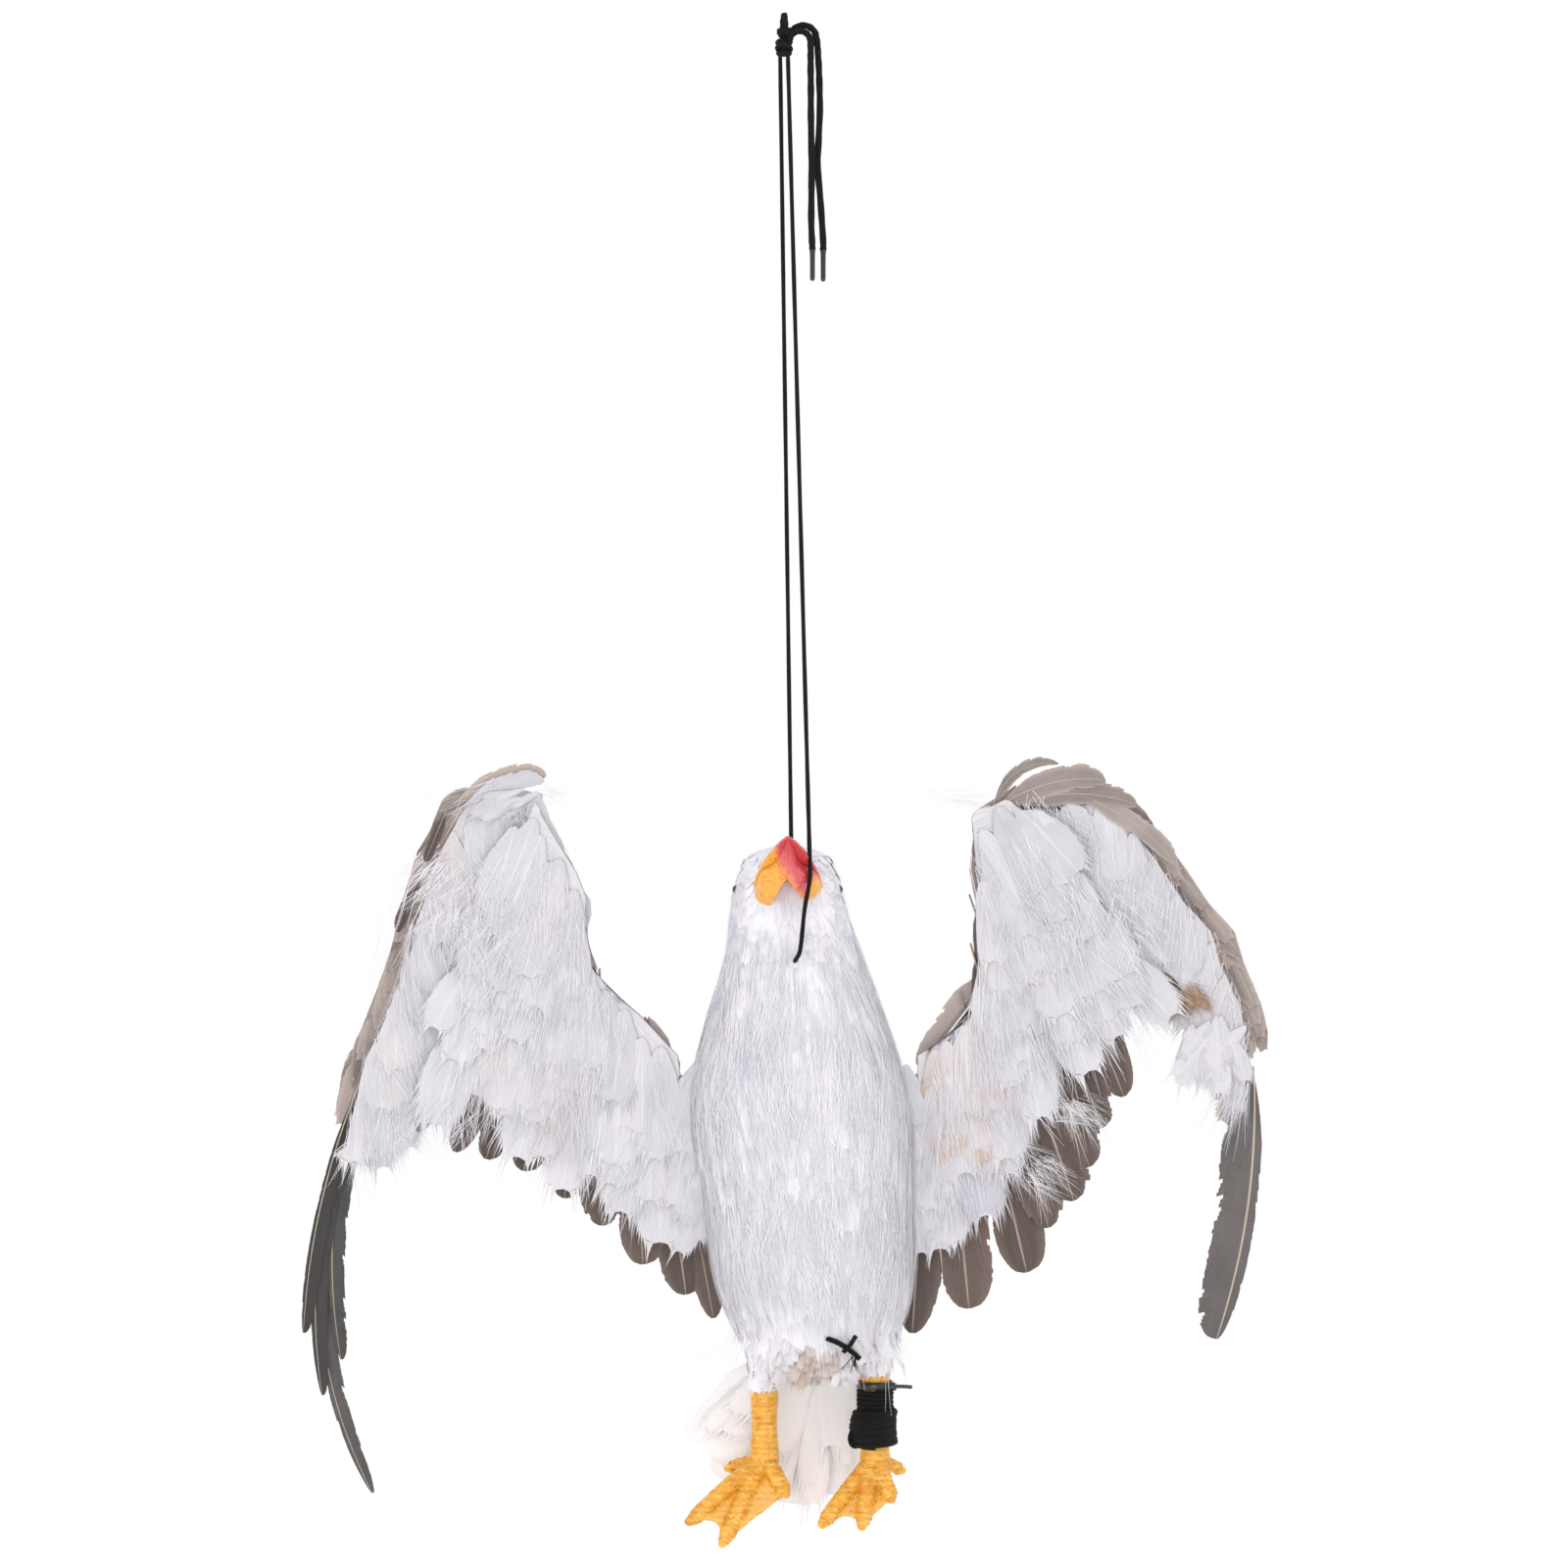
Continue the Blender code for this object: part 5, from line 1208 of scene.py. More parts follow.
def make_face_strands():
    """White strands in the notch of the bill and at its left branch that stand in for painted highlight lines,
    and loose strands where the lace goes in.
    """
    dice = random.Random(plumage().seed + 7)
    trunk = Trunk()
    spots = []
    for depth, x, angle, turn, long, count in FACE_STRANDS:
        for _ in range(count):
            place = trunk.point(depth + dice.uniform(-0.0015, 0.0015), radians(-90))
            place += Vector((x - trunk.section(depth)[0] + dice.gauss(0.0, 0.0012), -0.0022, 0.0))
            heading = radians(angle + dice.gauss(0.0, 0.5) * turn)
            lie = Vector((sin(heading), 0.0, -cos(heading)))
            along, outward = laid(lie, BELLY, 0.1, 0.0)
            size = long * dice.uniform(0.7, 1.2)
            spots.append((place, along, outward, size, size * 0.3, dice.uniform(0.1, 0.6)))
    strands = scatter("face_strands", spots, "wisp", "barb plumage", plumage().seed + 8)
    dress(strands, "gull", "white_feather")


def make_trunk_plumage():
    """Down and feathers of breast, back and head, the loose barbs over them and the tuft at the vent."""
    look = plumage()
    dice = random.Random(look.seed)
    trunk = Trunk()
    make_down("body_down", trunk, 0.476, 0.682, 0.0004, ("breast_feather_coat", "back_feather_coat"))
    make_down("head_down", trunk, 0.4245, 0.484, 0.0002, ("head_feather_coat_front", "head_feather_coat_back"))
    body = trunk_spots(trunk, 0.472, 0.632, look.body_pitch, look.body_length, look.body_width, dice,
                       lift=0.03)
    body += trunk_spots(trunk, 0.632, 0.666, look.body_pitch, look.body_length * 0.62, look.body_width * 0.9,
                        dice, lift=0.02, swirl=0.15)
    front = [spot for spot in body if spot[0].y < 0.0]
    back = [spot for spot in body if spot[0].y >= 0.0]
    head = trunk_spots(trunk, 0.425, 0.47, look.head_pitch, look.head_length, look.head_length * 0.55, dice,
                       lift=0.03, swirl=0.2)
    head += trunk_spots(trunk, 0.462, 0.48, look.head_pitch * 1.3, look.head_length * 2.0,
                        look.head_length * 0.9, dice, lift=0.03)
    for name, spots, rise in (("breast_plumage", front, 0.0012), ("back_plumage", back, 0.0016),
                              ("head_plumage", head, 0.001)):
        piece = scatter(name, spots, "body", "breast plumage", look.seed + len(spots))
        trunk.settle(piece, rise, 0.0002)
        dress(piece, "gull", "white_feather")
    loose = [spot for spot in body for k in range(2) if spot[0].z > -0.65] + head
    spots = []
    for place, along, normal, length, width, tint in loose:
        turned, outward = laid(along, normal, 0.03, dice.gauss(0.0, 0.16))
        shift = along * dice.uniform(0.0, 0.012) + along.cross(normal) * dice.uniform(-0.004, 0.004)
        spots.append((place + shift, turned, outward, length * dice.uniform(0.6, 1.15),
                      length * dice.uniform(0.4, 0.7), dice.random()))
    piece = scatter("loose_barbs", spots, "wisp", "barb plumage", look.seed + 4)
    trunk.settle(piece, 0.0018, 0.0007)
    dress(piece, "gull", "white_feather")
    low, high = corners_of("undertail_tuft")
    tuft = []
    for k in range(240):
        place = Vector((dice.uniform(low.x, high.x), low.y + dice.uniform(0.001, 0.004),
                        dice.uniform(low.z + 0.006, high.z + 0.006)))
        tan = hypot(place.x - 0.016, place.z + 0.68) < 0.011
        along, outward = laid(Vector((dice.gauss(0.0, 0.3), 0.0, -1.0)).normalized(), BELLY,
                              dice.uniform(0.05, 0.3))
        tuft.append((place, along, outward, dice.uniform(0.009, 0.014), 0.009,
                     dice.uniform(0.55, 1.0) if tan else dice.uniform(0.0, 0.45)))
    piece = scatter("undertail_down", tuft, "body", "tan down", look.seed + 5)
    dress(piece, "gull", "tan_down", "undertail_tuft")


def feather_sets():
    """Three feathers each for the body, the coverts and the wing's edge, and loose barbs, made on first use."""
    stems = {"body": "body_feather_", "covert": "covert_feather_", "stiff": "stiff_feather_",
             "wisp": "barb_wisp_"}
    if "body_feather_0" not in bpy.data.objects:
        for k in range(3):
            soft_feather(stems["body"] + str(k), 20 + k, 0.44, 14, 0.26, 0.02, 0.03)
            soft_feather(stems["covert"] + str(k), 30 + k, 0.5, 16, 0.2, 0.05, 0.04)
            soft_feather(stems["stiff"] + str(k), 40 + k, 0.34, 8, 0.06, 0.02, 0.03)
            wisp(stems["wisp"] + str(k), 50 + k)
    return {kind: [bpy.data.objects[stem + str(k)] for k in range(3)] for kind, stem in stems.items()}


def clear_templates():
    """Remove the feathers that were only there to be laid."""
    for pieces in feather_sets().values():
        for piece in pieces:
            bpy.data.objects.remove(piece, do_unlink=True)


# Wings


# Root lines of the arm and hand rows, outward and upward of shoulder and wrist, and the rows' lengths and
# angles from straight down at their start, middle and end.
ARM_LINES = {
    "right": ((0.0145, 0.013), (0.0545, 0.076), (0.0665, 0.113), (0.0885, 0.142)),
    "left": ((0.0145, 0.013), (0.0345, 0.072), (0.0365, 0.127), (0.0645, 0.151)),
}
HAND_LINES = {
    "right": ((-0.02, 0.012), (0.023, 0.013), (0.0528, -0.035), (0.0658, -0.079), (0.0878, -0.139)),
    "left": ((0.0, 0.011), (0.0387, 0.0115), (0.0812, -0.0345), (0.1087, -0.0755), (0.1232, -0.137)),
}
ROWS = {
    "right": {
        "underwing": ((0.093, 0.137, 0.177), (2, 8, 20)),
        "upper": ((0.062, 0.092, 0.128), (1, 5, 20)),
        "hand_under": ((0.07, 0.096, 0.038), (-8, -11, -4)),
        "hand_upper": ((0.06, 0.078, 0.04), (-8, -11, 2)),
    },
    "left": {
        "underwing": ((0.098, 0.138, 0.142), (0, 14, 30)),
        "upper": ((0.064, 0.096, 0.112), (0, 12, 26)),
        "hand_under": ((0.086, 0.06, 0.016), (20, -8, -24)),
        "hand_upper": ((0.07, 0.052, 0.022), (20, -8, -24)),
    },
}
PRIMARY_ROWS = {
    "right": ((0.0, 13.0, 0.134, 0.0042, 0.006), (0.0008, 7.5, 0.164, 0.0045, 0.012),
              (0.0016, 5.0, 0.145, 0.0045, 0.01), (0.0024, -0.6, 0.213, 0.005, 0.026)),
    "left": ((-0.004, -7.6, 0.141, 0.0104, 0.007),),
}
HAND_TIPS = {"right": (0.0835, -0.132), "left": (0.1185, -0.13)}
# Share of the arm's line at the root, tip X and Z, half width and roundness of each secondary.
SECONDARIES = {
    "right": ((0.0, -0.036, -0.6665, 0.0095, 0.4), (0.07, -0.05, -0.6545, 0.0135, 0.26),
              (0.16, -0.072, -0.639, 0.0135, 0.26), (0.28, -0.093, -0.619, 0.014, 0.28),
              (0.4, -0.112, -0.605, 0.014, 0.3), (0.52, -0.133, -0.591, 0.0135, 0.3),
              (0.64, -0.152, -0.585, 0.012, 0.32), (0.76, -0.168, -0.581, 0.0105, 0.32),
              (0.9, -0.187, -0.571, 0.0085, 0.34)),
    "left": ((0.0, 0.0655, -0.674, 0.015, 0.6), (0.1, 0.0945, -0.6615, 0.0145, 0.24),
             (0.24, 0.124, -0.643, 0.014, 0.22), (0.38, 0.135, -0.62, 0.013, 0.24),
             (0.52, 0.148, -0.606, 0.0145, 0.22), (0.66, 0.156, -0.589, 0.0125, 0.24),
             (0.78, 0.1625, -0.569, 0.012, 0.24), (0.92, 0.1735, -0.553, 0.011, 0.24)),
}
# The wings' inner and outer edges as X and Z, and their tops.
INNER_EDGES = {
    "right": ((-0.05, -0.534), (-0.0705, -0.512), (-0.0895, -0.4955), (-0.098, -0.4835), (-0.1005, -0.4735),
              (-0.1015, -0.4685), (-0.099, -0.461), (-0.0985, -0.451), (-0.1035, -0.4385),
              (-0.113, -0.4235), (-0.122, -0.4085), (-0.121, -0.3935), (-0.125, -0.3865)),
    "left": ((0.0625, -0.5335), (0.074, -0.5265), (0.0865, -0.5185), (0.0955, -0.505), (0.0995, -0.4885),
             (0.0985, -0.4535), (0.095, -0.4385), (0.0945, -0.4235), (0.093, -0.4085), (0.1, -0.3935)),
}
OUTER_EDGES = {
    "right": ((-0.2345, -0.581), (-0.2315, -0.566), (-0.2275, -0.551), (-0.226, -0.536),
              (-0.2175, -0.521), (-0.211, -0.506), (-0.2055, -0.491), (-0.2, -0.476),
              (-0.197, -0.461), (-0.1925, -0.446), (-0.1885, -0.431), (-0.1795, -0.416),
              (-0.174, -0.401), (-0.1645, -0.3935), (-0.142, -0.386)),
    "left": ((0.2465, -0.581), (0.247, -0.551), (0.2475, -0.536), (0.248, -0.521), (0.2445, -0.506),
             (0.237, -0.491), (0.234, -0.4835), (0.23, -0.4685), (0.2155, -0.4535), (0.206, -0.4385),
             (0.201, -0.431), (0.1955, -0.4235), (0.1845, -0.4085), (0.177, -0.401), (0.1635, -0.3935),
             (0.1415, -0.386)),
}
WING_TOP = -0.3845
# Width of the grey-brown band along the leading edge, and where the white coverts turn tan.
EDGE_WIDTHS = {"right": 0.0115, "left": 0.0125}
TOP_BANDS = {"right": 0.005, "left": 0.022}
TAN_PATCHES = {"right": (-0.105, -0.57, 0.01), "left": (0.0915, -0.556, 0.018)}
# Share of a row's reach that its sheet of down covers, and how deep the arm's wire lies in from the inner edge.
SHEET_REACH = 0.86
WIRE_COVER = 0.01
# Group, name, root line, levels down the row, feathers in a row, shares of a covert's length and width, inset
# and packed nodes of the layers of coverts, the two white ones first.
COVERTS = (
    ("arm", "underwing_coverts", "underwing", (0.62, 0.5, 0.38, 0.27, 0.17, 0.08, 0.0), 10, 1.0, 1.0, 0.006,
     ("lesser_underwing", "greater_underwing")),
    ("hand", "hand_coverts", "hand_under", (0.6, 0.45, 0.3, 0.15, 0.0), 12, 0.85, 0.85, 0.0,
     ("hand_underwing",)),
    ("arm", "upperwing_coverts", "upper", (0.66, 0.5, 0.34, 0.17, 0.0), 13, 0.9, 0.8, 0.004,
     ("arm_upper_coverts",)),
    ("hand", "hand_upper_feathers", "hand_upper", (0.5, 0.25, 0.0), 14, 0.8, 0.7, 0.0, ("hand_upper_coverts",)),
)


class Wing:
    """One wing's lines and directions."""

    def __init__(self, side):
        self.side = side
        self.sign = SIDES[side]
        self.shoulder = Vector(JOINTS[side + "_shoulder"]["pos_m"])
        self.wrist = Vector(JOINTS[side + "_wrist"]["pos_m"])
        self.arm_path = smooth_path(self.line(ARM_LINES[side], self.shoulder), 8)
        self.hand_path = smooth_path(self.line(HAND_LINES[side], self.wrist), 8)

    def line(self, points, origin):
        """A line's points on this side."""
        return [origin + Vector((self.sign * out, 0.0, up)) for out, up in points]

    def edge(self, z, line):
        """How far out an edge of the wing lies at one height or several."""
        line = sorted((height, x * self.sign) for x, height in line)
        return np.interp(z, [height for height, out in line], [out for height, out in line])

    def inner(self, z):
        """How far out the wing's inner edge lies at a height."""
        return float(self.edge(z, INNER_EDGES[self.side]))

    def lean(self, degrees):
        """Direction at an angle outward of straight down."""
        return Vector((self.sign * sin(radians(degrees)), 0.0, -cos(radians(degrees))))

    def hang(self, path, row, share):
        """Root, direction and length of a row's feather at a share of its line."""
        lengths, angles = ROWS[self.side][row]
        return at_share(path, share)[0], self.lean(blend_three(angles, share)), blend_three(lengths, share)

    def front(self, group):
        """Y of the white surface of arm or hand; the hand's is drawn up towards the arm's."""
        arm, hand = box_front(self.side + "_greater_underwing"), box_front(self.side + "_hand_underwing")
        return arm if group == "arm" else hand - min(0.003, max(0.0, hand - arm - 0.001))


def covert_spots(wing, path, row, levels, count, facing, depth, length, width, dice, tint_of=None, inset=0.0):
    """Spots of feathers in rows down a wing surface, each row lying under the next one up."""
    normal = Vector((0.0, facing, 0.0))
    spots = []
    for number, level in enumerate(levels):
        for k in range(count):
            share = (k + 0.5 + dice.uniform(-0.3, 0.3) + 0.5 * (number % 2 - 0.5)) / count
            root, along, reach = wing.hang(path, row, min(max(share, 0.0), 1.0))
            place = root + along * reach * max(0.0, level + dice.uniform(-0.03, 0.03))
            place.x = wing.sign * max(wing.sign * place.x + inset,
                                      wing.inner(place.z) + dice.uniform(0.004, 0.009))
            place.y = depth + normal.y * (0.0016 * (1.0 - level) + dice.uniform(0.0, 0.0005))
            swing = 0.3 * noise(place * 30 + Vector((9.0, 1.0, 4.0))) + dice.gauss(0.0, 0.1)
            raised, outward = laid(along, normal, dice.uniform(0.015, 0.05), swing)
            size = dice.uniform(0.85, 1.15)
            long = min(length * size, reach * (1.04 - level) + 0.004)
            tint = dice.gauss(0.52, 0.17) + 0.25 * noise(place * 26)
            if tint_of:
                tint = tint_of(place, tint)
            spots.append((place, raised, outward, long, width * size / 0.58, min(1.0, max(0.0, tint))))
    return spots


def under_sheet(wing, path, row, depth, facing):
    """Thin ruffled sheet of down under a row's feathers."""
    columns, rows = 30, 12
    built = bmesh.new()
    layer = uv_layer(built)
    shade = built.verts.layers.float.new("tint")
    grid = []
    for k in range(columns + 1):
        root, along, reach = wing.hang(path, row, k / columns)
        line = []
        for i in range(rows + 1):
            place = root + along * reach * SHEET_REACH * i / rows
            place.x = wing.sign * max(wing.sign * place.x, wing.inner(place.z) + 0.0025)
            place.y = depth - facing * 0.0003 + facing * 0.0005 * noise(place * 150)
            corner = built.verts.new(place)
            corner[shade] = 0.5 + 0.3 * noise(place * 30)
            line.append(corner)
        grid.append(line)
    for k in range(columns):
        for i in range(rows):
            marks = ((k, i), (k + 1, i), (k + 1, i + 1), (k, i + 1))
            uv_face(built, layer, tile(grid, k, i, True),
                    [(0.55 + 0.4 * a / columns, b / rows) for a, b in marks])
    built.normal_update()
    if built.faces[:][0].normal.y * facing < 0:
        bmesh.ops.reverse_faces(built, faces=built.faces[:])
    return link_built(wing.side + "_sheet", built)


def flatten(piece, depth, facing, rise):
    """Press feathers of a wing surface towards its plane."""
    places = read_places(piece.data)
    places[:, 1] = depth + facing * press((places[:, 1] - depth) * facing, rise, PRESS_SPREAD)
    write_places(piece.data, places)


def vane(built, root, course, inner, outer, bow=0.0, seed=0, tint=0.5, splits=2, curl=0.0, quill=0.06,
         round_tip=0.22, barbs=34, camber=0.1, slant=0.55):
    """One large feather along a course: a shaft and two vanes of barb strips that part in a few places."""
    dice = random.Random(seed)
    layer = uv_layer(built)
    shade = built.verts.layers.float.get("tint") or built.verts.layers.float.new("tint")
    along, length = course
    across = along.cross(BELLY).normalized()
    parted = sorted(dice.uniform(0.35, 0.97) for _ in range(splits))

    def centre(v):
        return root + along * length * v + across * bow * 4 * v * (1 - v) + BELLY * curl * v * v

    def half(v, width):
        rise = min(1.0, max(0.0, (v - quill) / 0.22)) ** 0.6
        fall = max(0.0, (v - 1.0 + round_tip) / round_tip)
        return width * rise * sqrt(max(0.02, 1.0 - fall ** 2.4))

    def corner(position):
        vert = built.verts.new(position)
        vert[shade] = tint
        return vert

    for side, width in ((-1.0, inner), (1.0, outer)):
        sag = 1.0
        for i in range(barbs):
            low = quill + (1.0 - quill) * i / barbs
            high = quill + (1.0 - quill) * (i + 1) / barbs
            if any(low <= mark < high for mark in parted):
                sag = dice.uniform(0.8, 0.95)
            else:
                sag = min(1.0, sag + 0.06)
            ragged = dice.uniform(0.965, 1.02)
            rows = []
            for v in (low, high):
                wide = half(v, width) * ragged
                lean = slant * (1.0 - 0.6 * max(0.0, (v - 0.8) / 0.2))
                row = []
                for share in (0.0, 0.5, 1.0):
                    out = wide * share * (sag if share == 1.0 else 1.0)
                    ahead = min(out * lean, max(0.0, 1.0 - v) * length * 0.9)
                    fall = BELLY * camber * width * share ** 2
                    row.append(centre(v) + across * side * out + along * ahead - fall)
                rows.append(row)
            for k in range(2):
                corners = [rows[0][k], rows[1][k], rows[1][k + 1], rows[0][k + 1]]
                spread = [(k / 2, low), (k / 2, high), ((k + 1) / 2, high), ((k + 1) / 2, low)]
                if side > 0:
                    corners.reverse()
                    spread.reverse()
                uv_face(built, layer, [corner(place) for place in corners],
                        [(0.5 + side * 0.5 * u, v) for u, v in spread])
    steps = 12
    thick = min(0.0011, 0.1 * (inner + outer))
    rings = []
    for i in range(steps + 1):
        wide = thick * (1.0 - 0.85 * i / steps)
        rings.append([corner(centre(i / steps) + across * wide * a / 2 + BELLY * wide * b / 2)
                      for a, b in ((1, 0), (0, 1), (-1, 0), (0, -1))])
    for i in range(steps):
        for k in range(4):
            uv_face(built, layer, tile(rings, i, k), [(0.5, 0.5)] * 4)


def span(root, tip):
    """Direction and length from one point to another."""
    return (tip - root).normalized(), (tip - root).length


def make_flights(wing):
    """Secondaries and scapular on the arm, primaries on the hand."""
    side, sign = wing.side, wing.sign
    dice = random.Random(plumage().seed + 60 + int(sign))
    built = bmesh.new()
    middle = box_middle(side + "_secondaries").y
    for k, (share, x, z, half, round_tip) in enumerate(SECONDARIES[side]):
        root = at_share(wing.arm_path, share)[0] + Vector((sign * 0.006, 0.0, -0.01))
        root.y = middle + 0.0022 - 0.0005 * k
        vane(built, root, span(root, Vector((x, root.y, z))), half, half * 0.86, 0.0, 100 + k,
             dice.uniform(0.1, 0.9), curl=dice.uniform(-0.001, 0.003), round_tip=round_tip, barbs=44)
    flights = link_built(side + "_secondary_feathers", built, "secondary plumage")
    dress(flights, side + "_arm", "brown_feather", side + "_secondaries")

    low, high = corners_of(side + "_scapular")
    middle = (low.y + high.y) / 2
    slim, round_tip = (0.75, 0.22) if side == "right" else (1.1, 0.75)
    if side == "left":
        top, foot = Vector((0.105, middle, -0.4895)), Vector((0.0685, middle, -0.5375))
    else:
        top = Vector((low.x * 0.85 + high.x * 0.15, middle, high.z + 0.002)) + Vector((-0.001, 0.0, -0.0045))
        foot = Vector((high.x * 0.85 + low.x * 0.15, middle, low.z)) + Vector((-0.001, 0.0, -0.0035))
    built = bmesh.new()
    for k, (swing, size, tint) in enumerate(((0.0, 1.0, 0.75), (8.0 * sign, 0.9, 0.3))):
        along = Matrix.Rotation(radians(swing), 3, BELLY) @ (foot - top).normalized()
        vane(built, top + Vector((sign * 0.002 * k, 0.0004 * k, 0.0)), (along, (foot - top).length * size),
             0.008 * slim, 0.0072 * slim, 0.0, 160 + k, tint, curl=0.001, quill=0.0, round_tip=round_tip,
             barbs=26)
    scapular = link_built(side + "_scapular_feathers", built, "upperwing plumage")
    dress(scapular, side + "_arm", "brown_feather", side + "_scapular")

    out, up = HAND_TIPS[side]
    tip = wing.wrist + Vector((sign * out, 0.0, up))
    for k, (place_out, angle, length, half, bow) in enumerate(PRIMARY_ROWS[side]):
        number = str(k + 1)
        root = Vector((tip.x - sign * place_out, box_middle(side + "_primary_" + number).y, tip.z))
        along = wing.lean(angle)
        outward = Vector((sign * cos(radians(angle)), 0.0, sin(radians(angle))))
        inner, outer = half * 0.42, half * 1.58
        if along.cross(BELLY).dot(outward) > 0:
            inner, outer, bow = outer, inner, -bow
        right = side == "right"
        built = bmesh.new()
        vane(built, root, (along, length), inner, outer, -bow, 200 + k, 0.25 + 0.18 * k if right else 0.95, 5,
             quill=0.04, round_tip=0.3, barbs=64, slant=0.9 if right else 0.5)
        feather = link_built(side + "_primary_feather_" + number, built, "primary plumage")
        dress(feather, side + "_hand", "black_feather", side + "_primary_" + number)


def make_coverts(wing):
    """White coverts under the wing, grey-brown ones over it and along its leading edge, and loose barbs."""
    look = plumage()
    side, sign = wing.side, wing.sign
    dice = random.Random(look.seed + 80 + int(sign))

    def warm(place, tint):
        """Tan patches lie near the tips of the inner wing."""
        patch = noise(place * 24 + Vector((0.0, 0.0, 5.0 * sign)))
        x, z, size = TAN_PATCHES[side]
        if hypot(place.x - x, place.z - 0.036 - z) / size < 1.0:
            return 0.92 + dice.gauss(0.0, 0.07)
        return min(0.78, tint + (0.16 if patch > 0.45 else 0.0))

    for step, (group, name, row, levels, count, long, wide, inset, nodes) in enumerate(COVERTS, 1):
        under = step < 3
        nodes = [side + "_" + node for node in nodes]
        facing = -1.0 if under else 1.0
        depth = wing.front(group) if under else box_rear(nodes[0])
        path = wing.arm_path if group == "arm" else wing.hand_path
        spots = covert_spots(wing, path, row, levels, count, facing, depth, look.covert_length * long,
                             look.covert_width * wide, dice, warm if under else None, inset)
        material = "underwing plumage" if under else "upperwing plumage"
        feathers = scatter(side + "_" + name, spots, "covert", material, look.seed + 10 * step + int(sign))
        flatten(feathers, depth, facing, 0.0034)
        sheet = under_sheet(wing, path, row, depth, facing)
        sheet.data.materials.append(finish(material))
        piece = join(side + "_" + name, [feathers, sheet])
        fit_edges(piece, wing, margin=EDGE_WIDTHS[side] if group == "hand" and under else 0.0,
                  lower=TOP_BANDS[side] if under else 0.0)
        dress(piece, side + "_" + group, "white_feather" if under else "grey_feather", *nodes)

    middle = box_middle(side + "_leading_edge_coverts").y
    edge = scatter(side + "_leading_edge_feathers", edge_spots(wing, dice, middle), "stiff",
                   "leading edge plumage", look.seed + 50)
    fit_edges(edge, wing)
    dress(edge, side + "_hand", "grey_feather", side + "_leading_edge_coverts")

    for path, row, count, group in ((wing.arm_path, "underwing", 420, "arm"),
                                    (wing.hand_path, "hand_under", 240, "hand")):
        front = wing.front(group)
        strands = []
        for k in range(count):
            root, along, reach = wing.hang(path, row, dice.uniform(0.02, 0.98))
            place = root + along * reach * (dice.uniform(0.0, 0.85) if k % 3 else dice.uniform(0.72, 0.94))
            place.x = sign * max(sign * place.x + 0.004, wing.inner(place.z) + dice.uniform(0.004, 0.01))
            place.y = front - 0.0012
            turned, outward = laid(along, BELLY, 0.03, dice.gauss(0.0, 0.22))
            size = dice.uniform(0.02, 0.044) * (1.0 if place.z > root.z - 0.7 * reach else 0.55)
            strands.append((place, turned, outward, size, size * dice.uniform(0.4, 0.7), dice.random()))
        piece = scatter(side + "_" + group + "_barbs", strands, "wisp", "barb plumage", look.seed + 70 + count)
        flatten(piece, front - 0.0028, -1.0, 0.0022)
        fit_edges(piece, wing, 0.003, 0.012, EDGE_WIDTHS[side] * 0.8 if group == "hand" else 0.0,
                  TOP_BANDS[side] * 0.8)
        dress(piece, side + "_" + group, "white_feather")


def fit_edges(piece, wing, give=0.0016, spread=0.005, margin=0.0, lower=0.0):
    """Draw a piece in to the wing's inner edge, its lowered top and its outer edge less a margin."""
    places = read_places(piece.data)
    out = places[:, 0] * wing.sign
    height = places[:, 2]
    top = WING_TOP - lower + lower * 0.12 * (np.sin(out * 130.0) + 0.7 * np.sin(out * 390.0 + 1.3))
    places[:, 2] = height = top + press(height - top, give, spread)
    for edge, turned in ((INNER_EDGES[wing.side], -1.0), (OUTER_EDGES[wing.side], 1.0)):
        bound = wing.edge(height, edge)
        if turned > 0:
            bound = bound - margin * np.clip((-0.39 - height) / 0.02, 0.0, 1.0)
        inside = height > min(z for x, z in edge) - 0.001
        out = np.where(inside, bound + turned * press((out - bound) * turned, give, spread), out)
    places[:, 0] = out * wing.sign
    write_places(piece.data, places)


def box_front(node):
    """Y of a packed node's belly side."""
    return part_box(node)[0][1]


def box_rear(node):
    """Y of a packed node's back side."""
    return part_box(node)[1][1]


def edge_spots(wing, dice, middle):
    """Spots of the narrow feathers that lie one over the next along the leading edge."""
    path = wing.hand_path
    spots = []
    count = 24
    for ring, (shift, reach, tint) in enumerate(((0.0035, 0.046, 0.34), (0.0002, 0.04, 0.62))):
        for k in range(count):
            share = (0.24 if wing.side == "right" else 0.14) + 0.7 * (k + 0.5 * ring) / count
            place, low = at_share(path, share)
            run = (path[min(low + 2, len(path) - 1)] - path[max(low - 1, 0)]).normalized()
            outward = Vector((wing.sign * abs(run.z), 0.0, abs(run.x)))
            place = place + outward * shift
            for facing in (-1.0, 1.0):
                where = Vector((place.x, middle + facing * (0.0022 - 0.0006 * ring), place.z))
                heading = (run - outward * dice.uniform(0.0, 0.14)).normalized()
                along, raised = laid(heading, Vector((0.0, facing, 0.0)), dice.uniform(0.01, 0.04),
                                     dice.gauss(0.0, 0.05))
                spots.append((where, along, raised, reach * dice.uniform(0.85, 1.1),
                              0.0125 * dice.uniform(0.85, 1.15) / 0.34,
                              min(1.0, max(0.0, tint + dice.gauss(0.0, 0.2)))))
    return spots


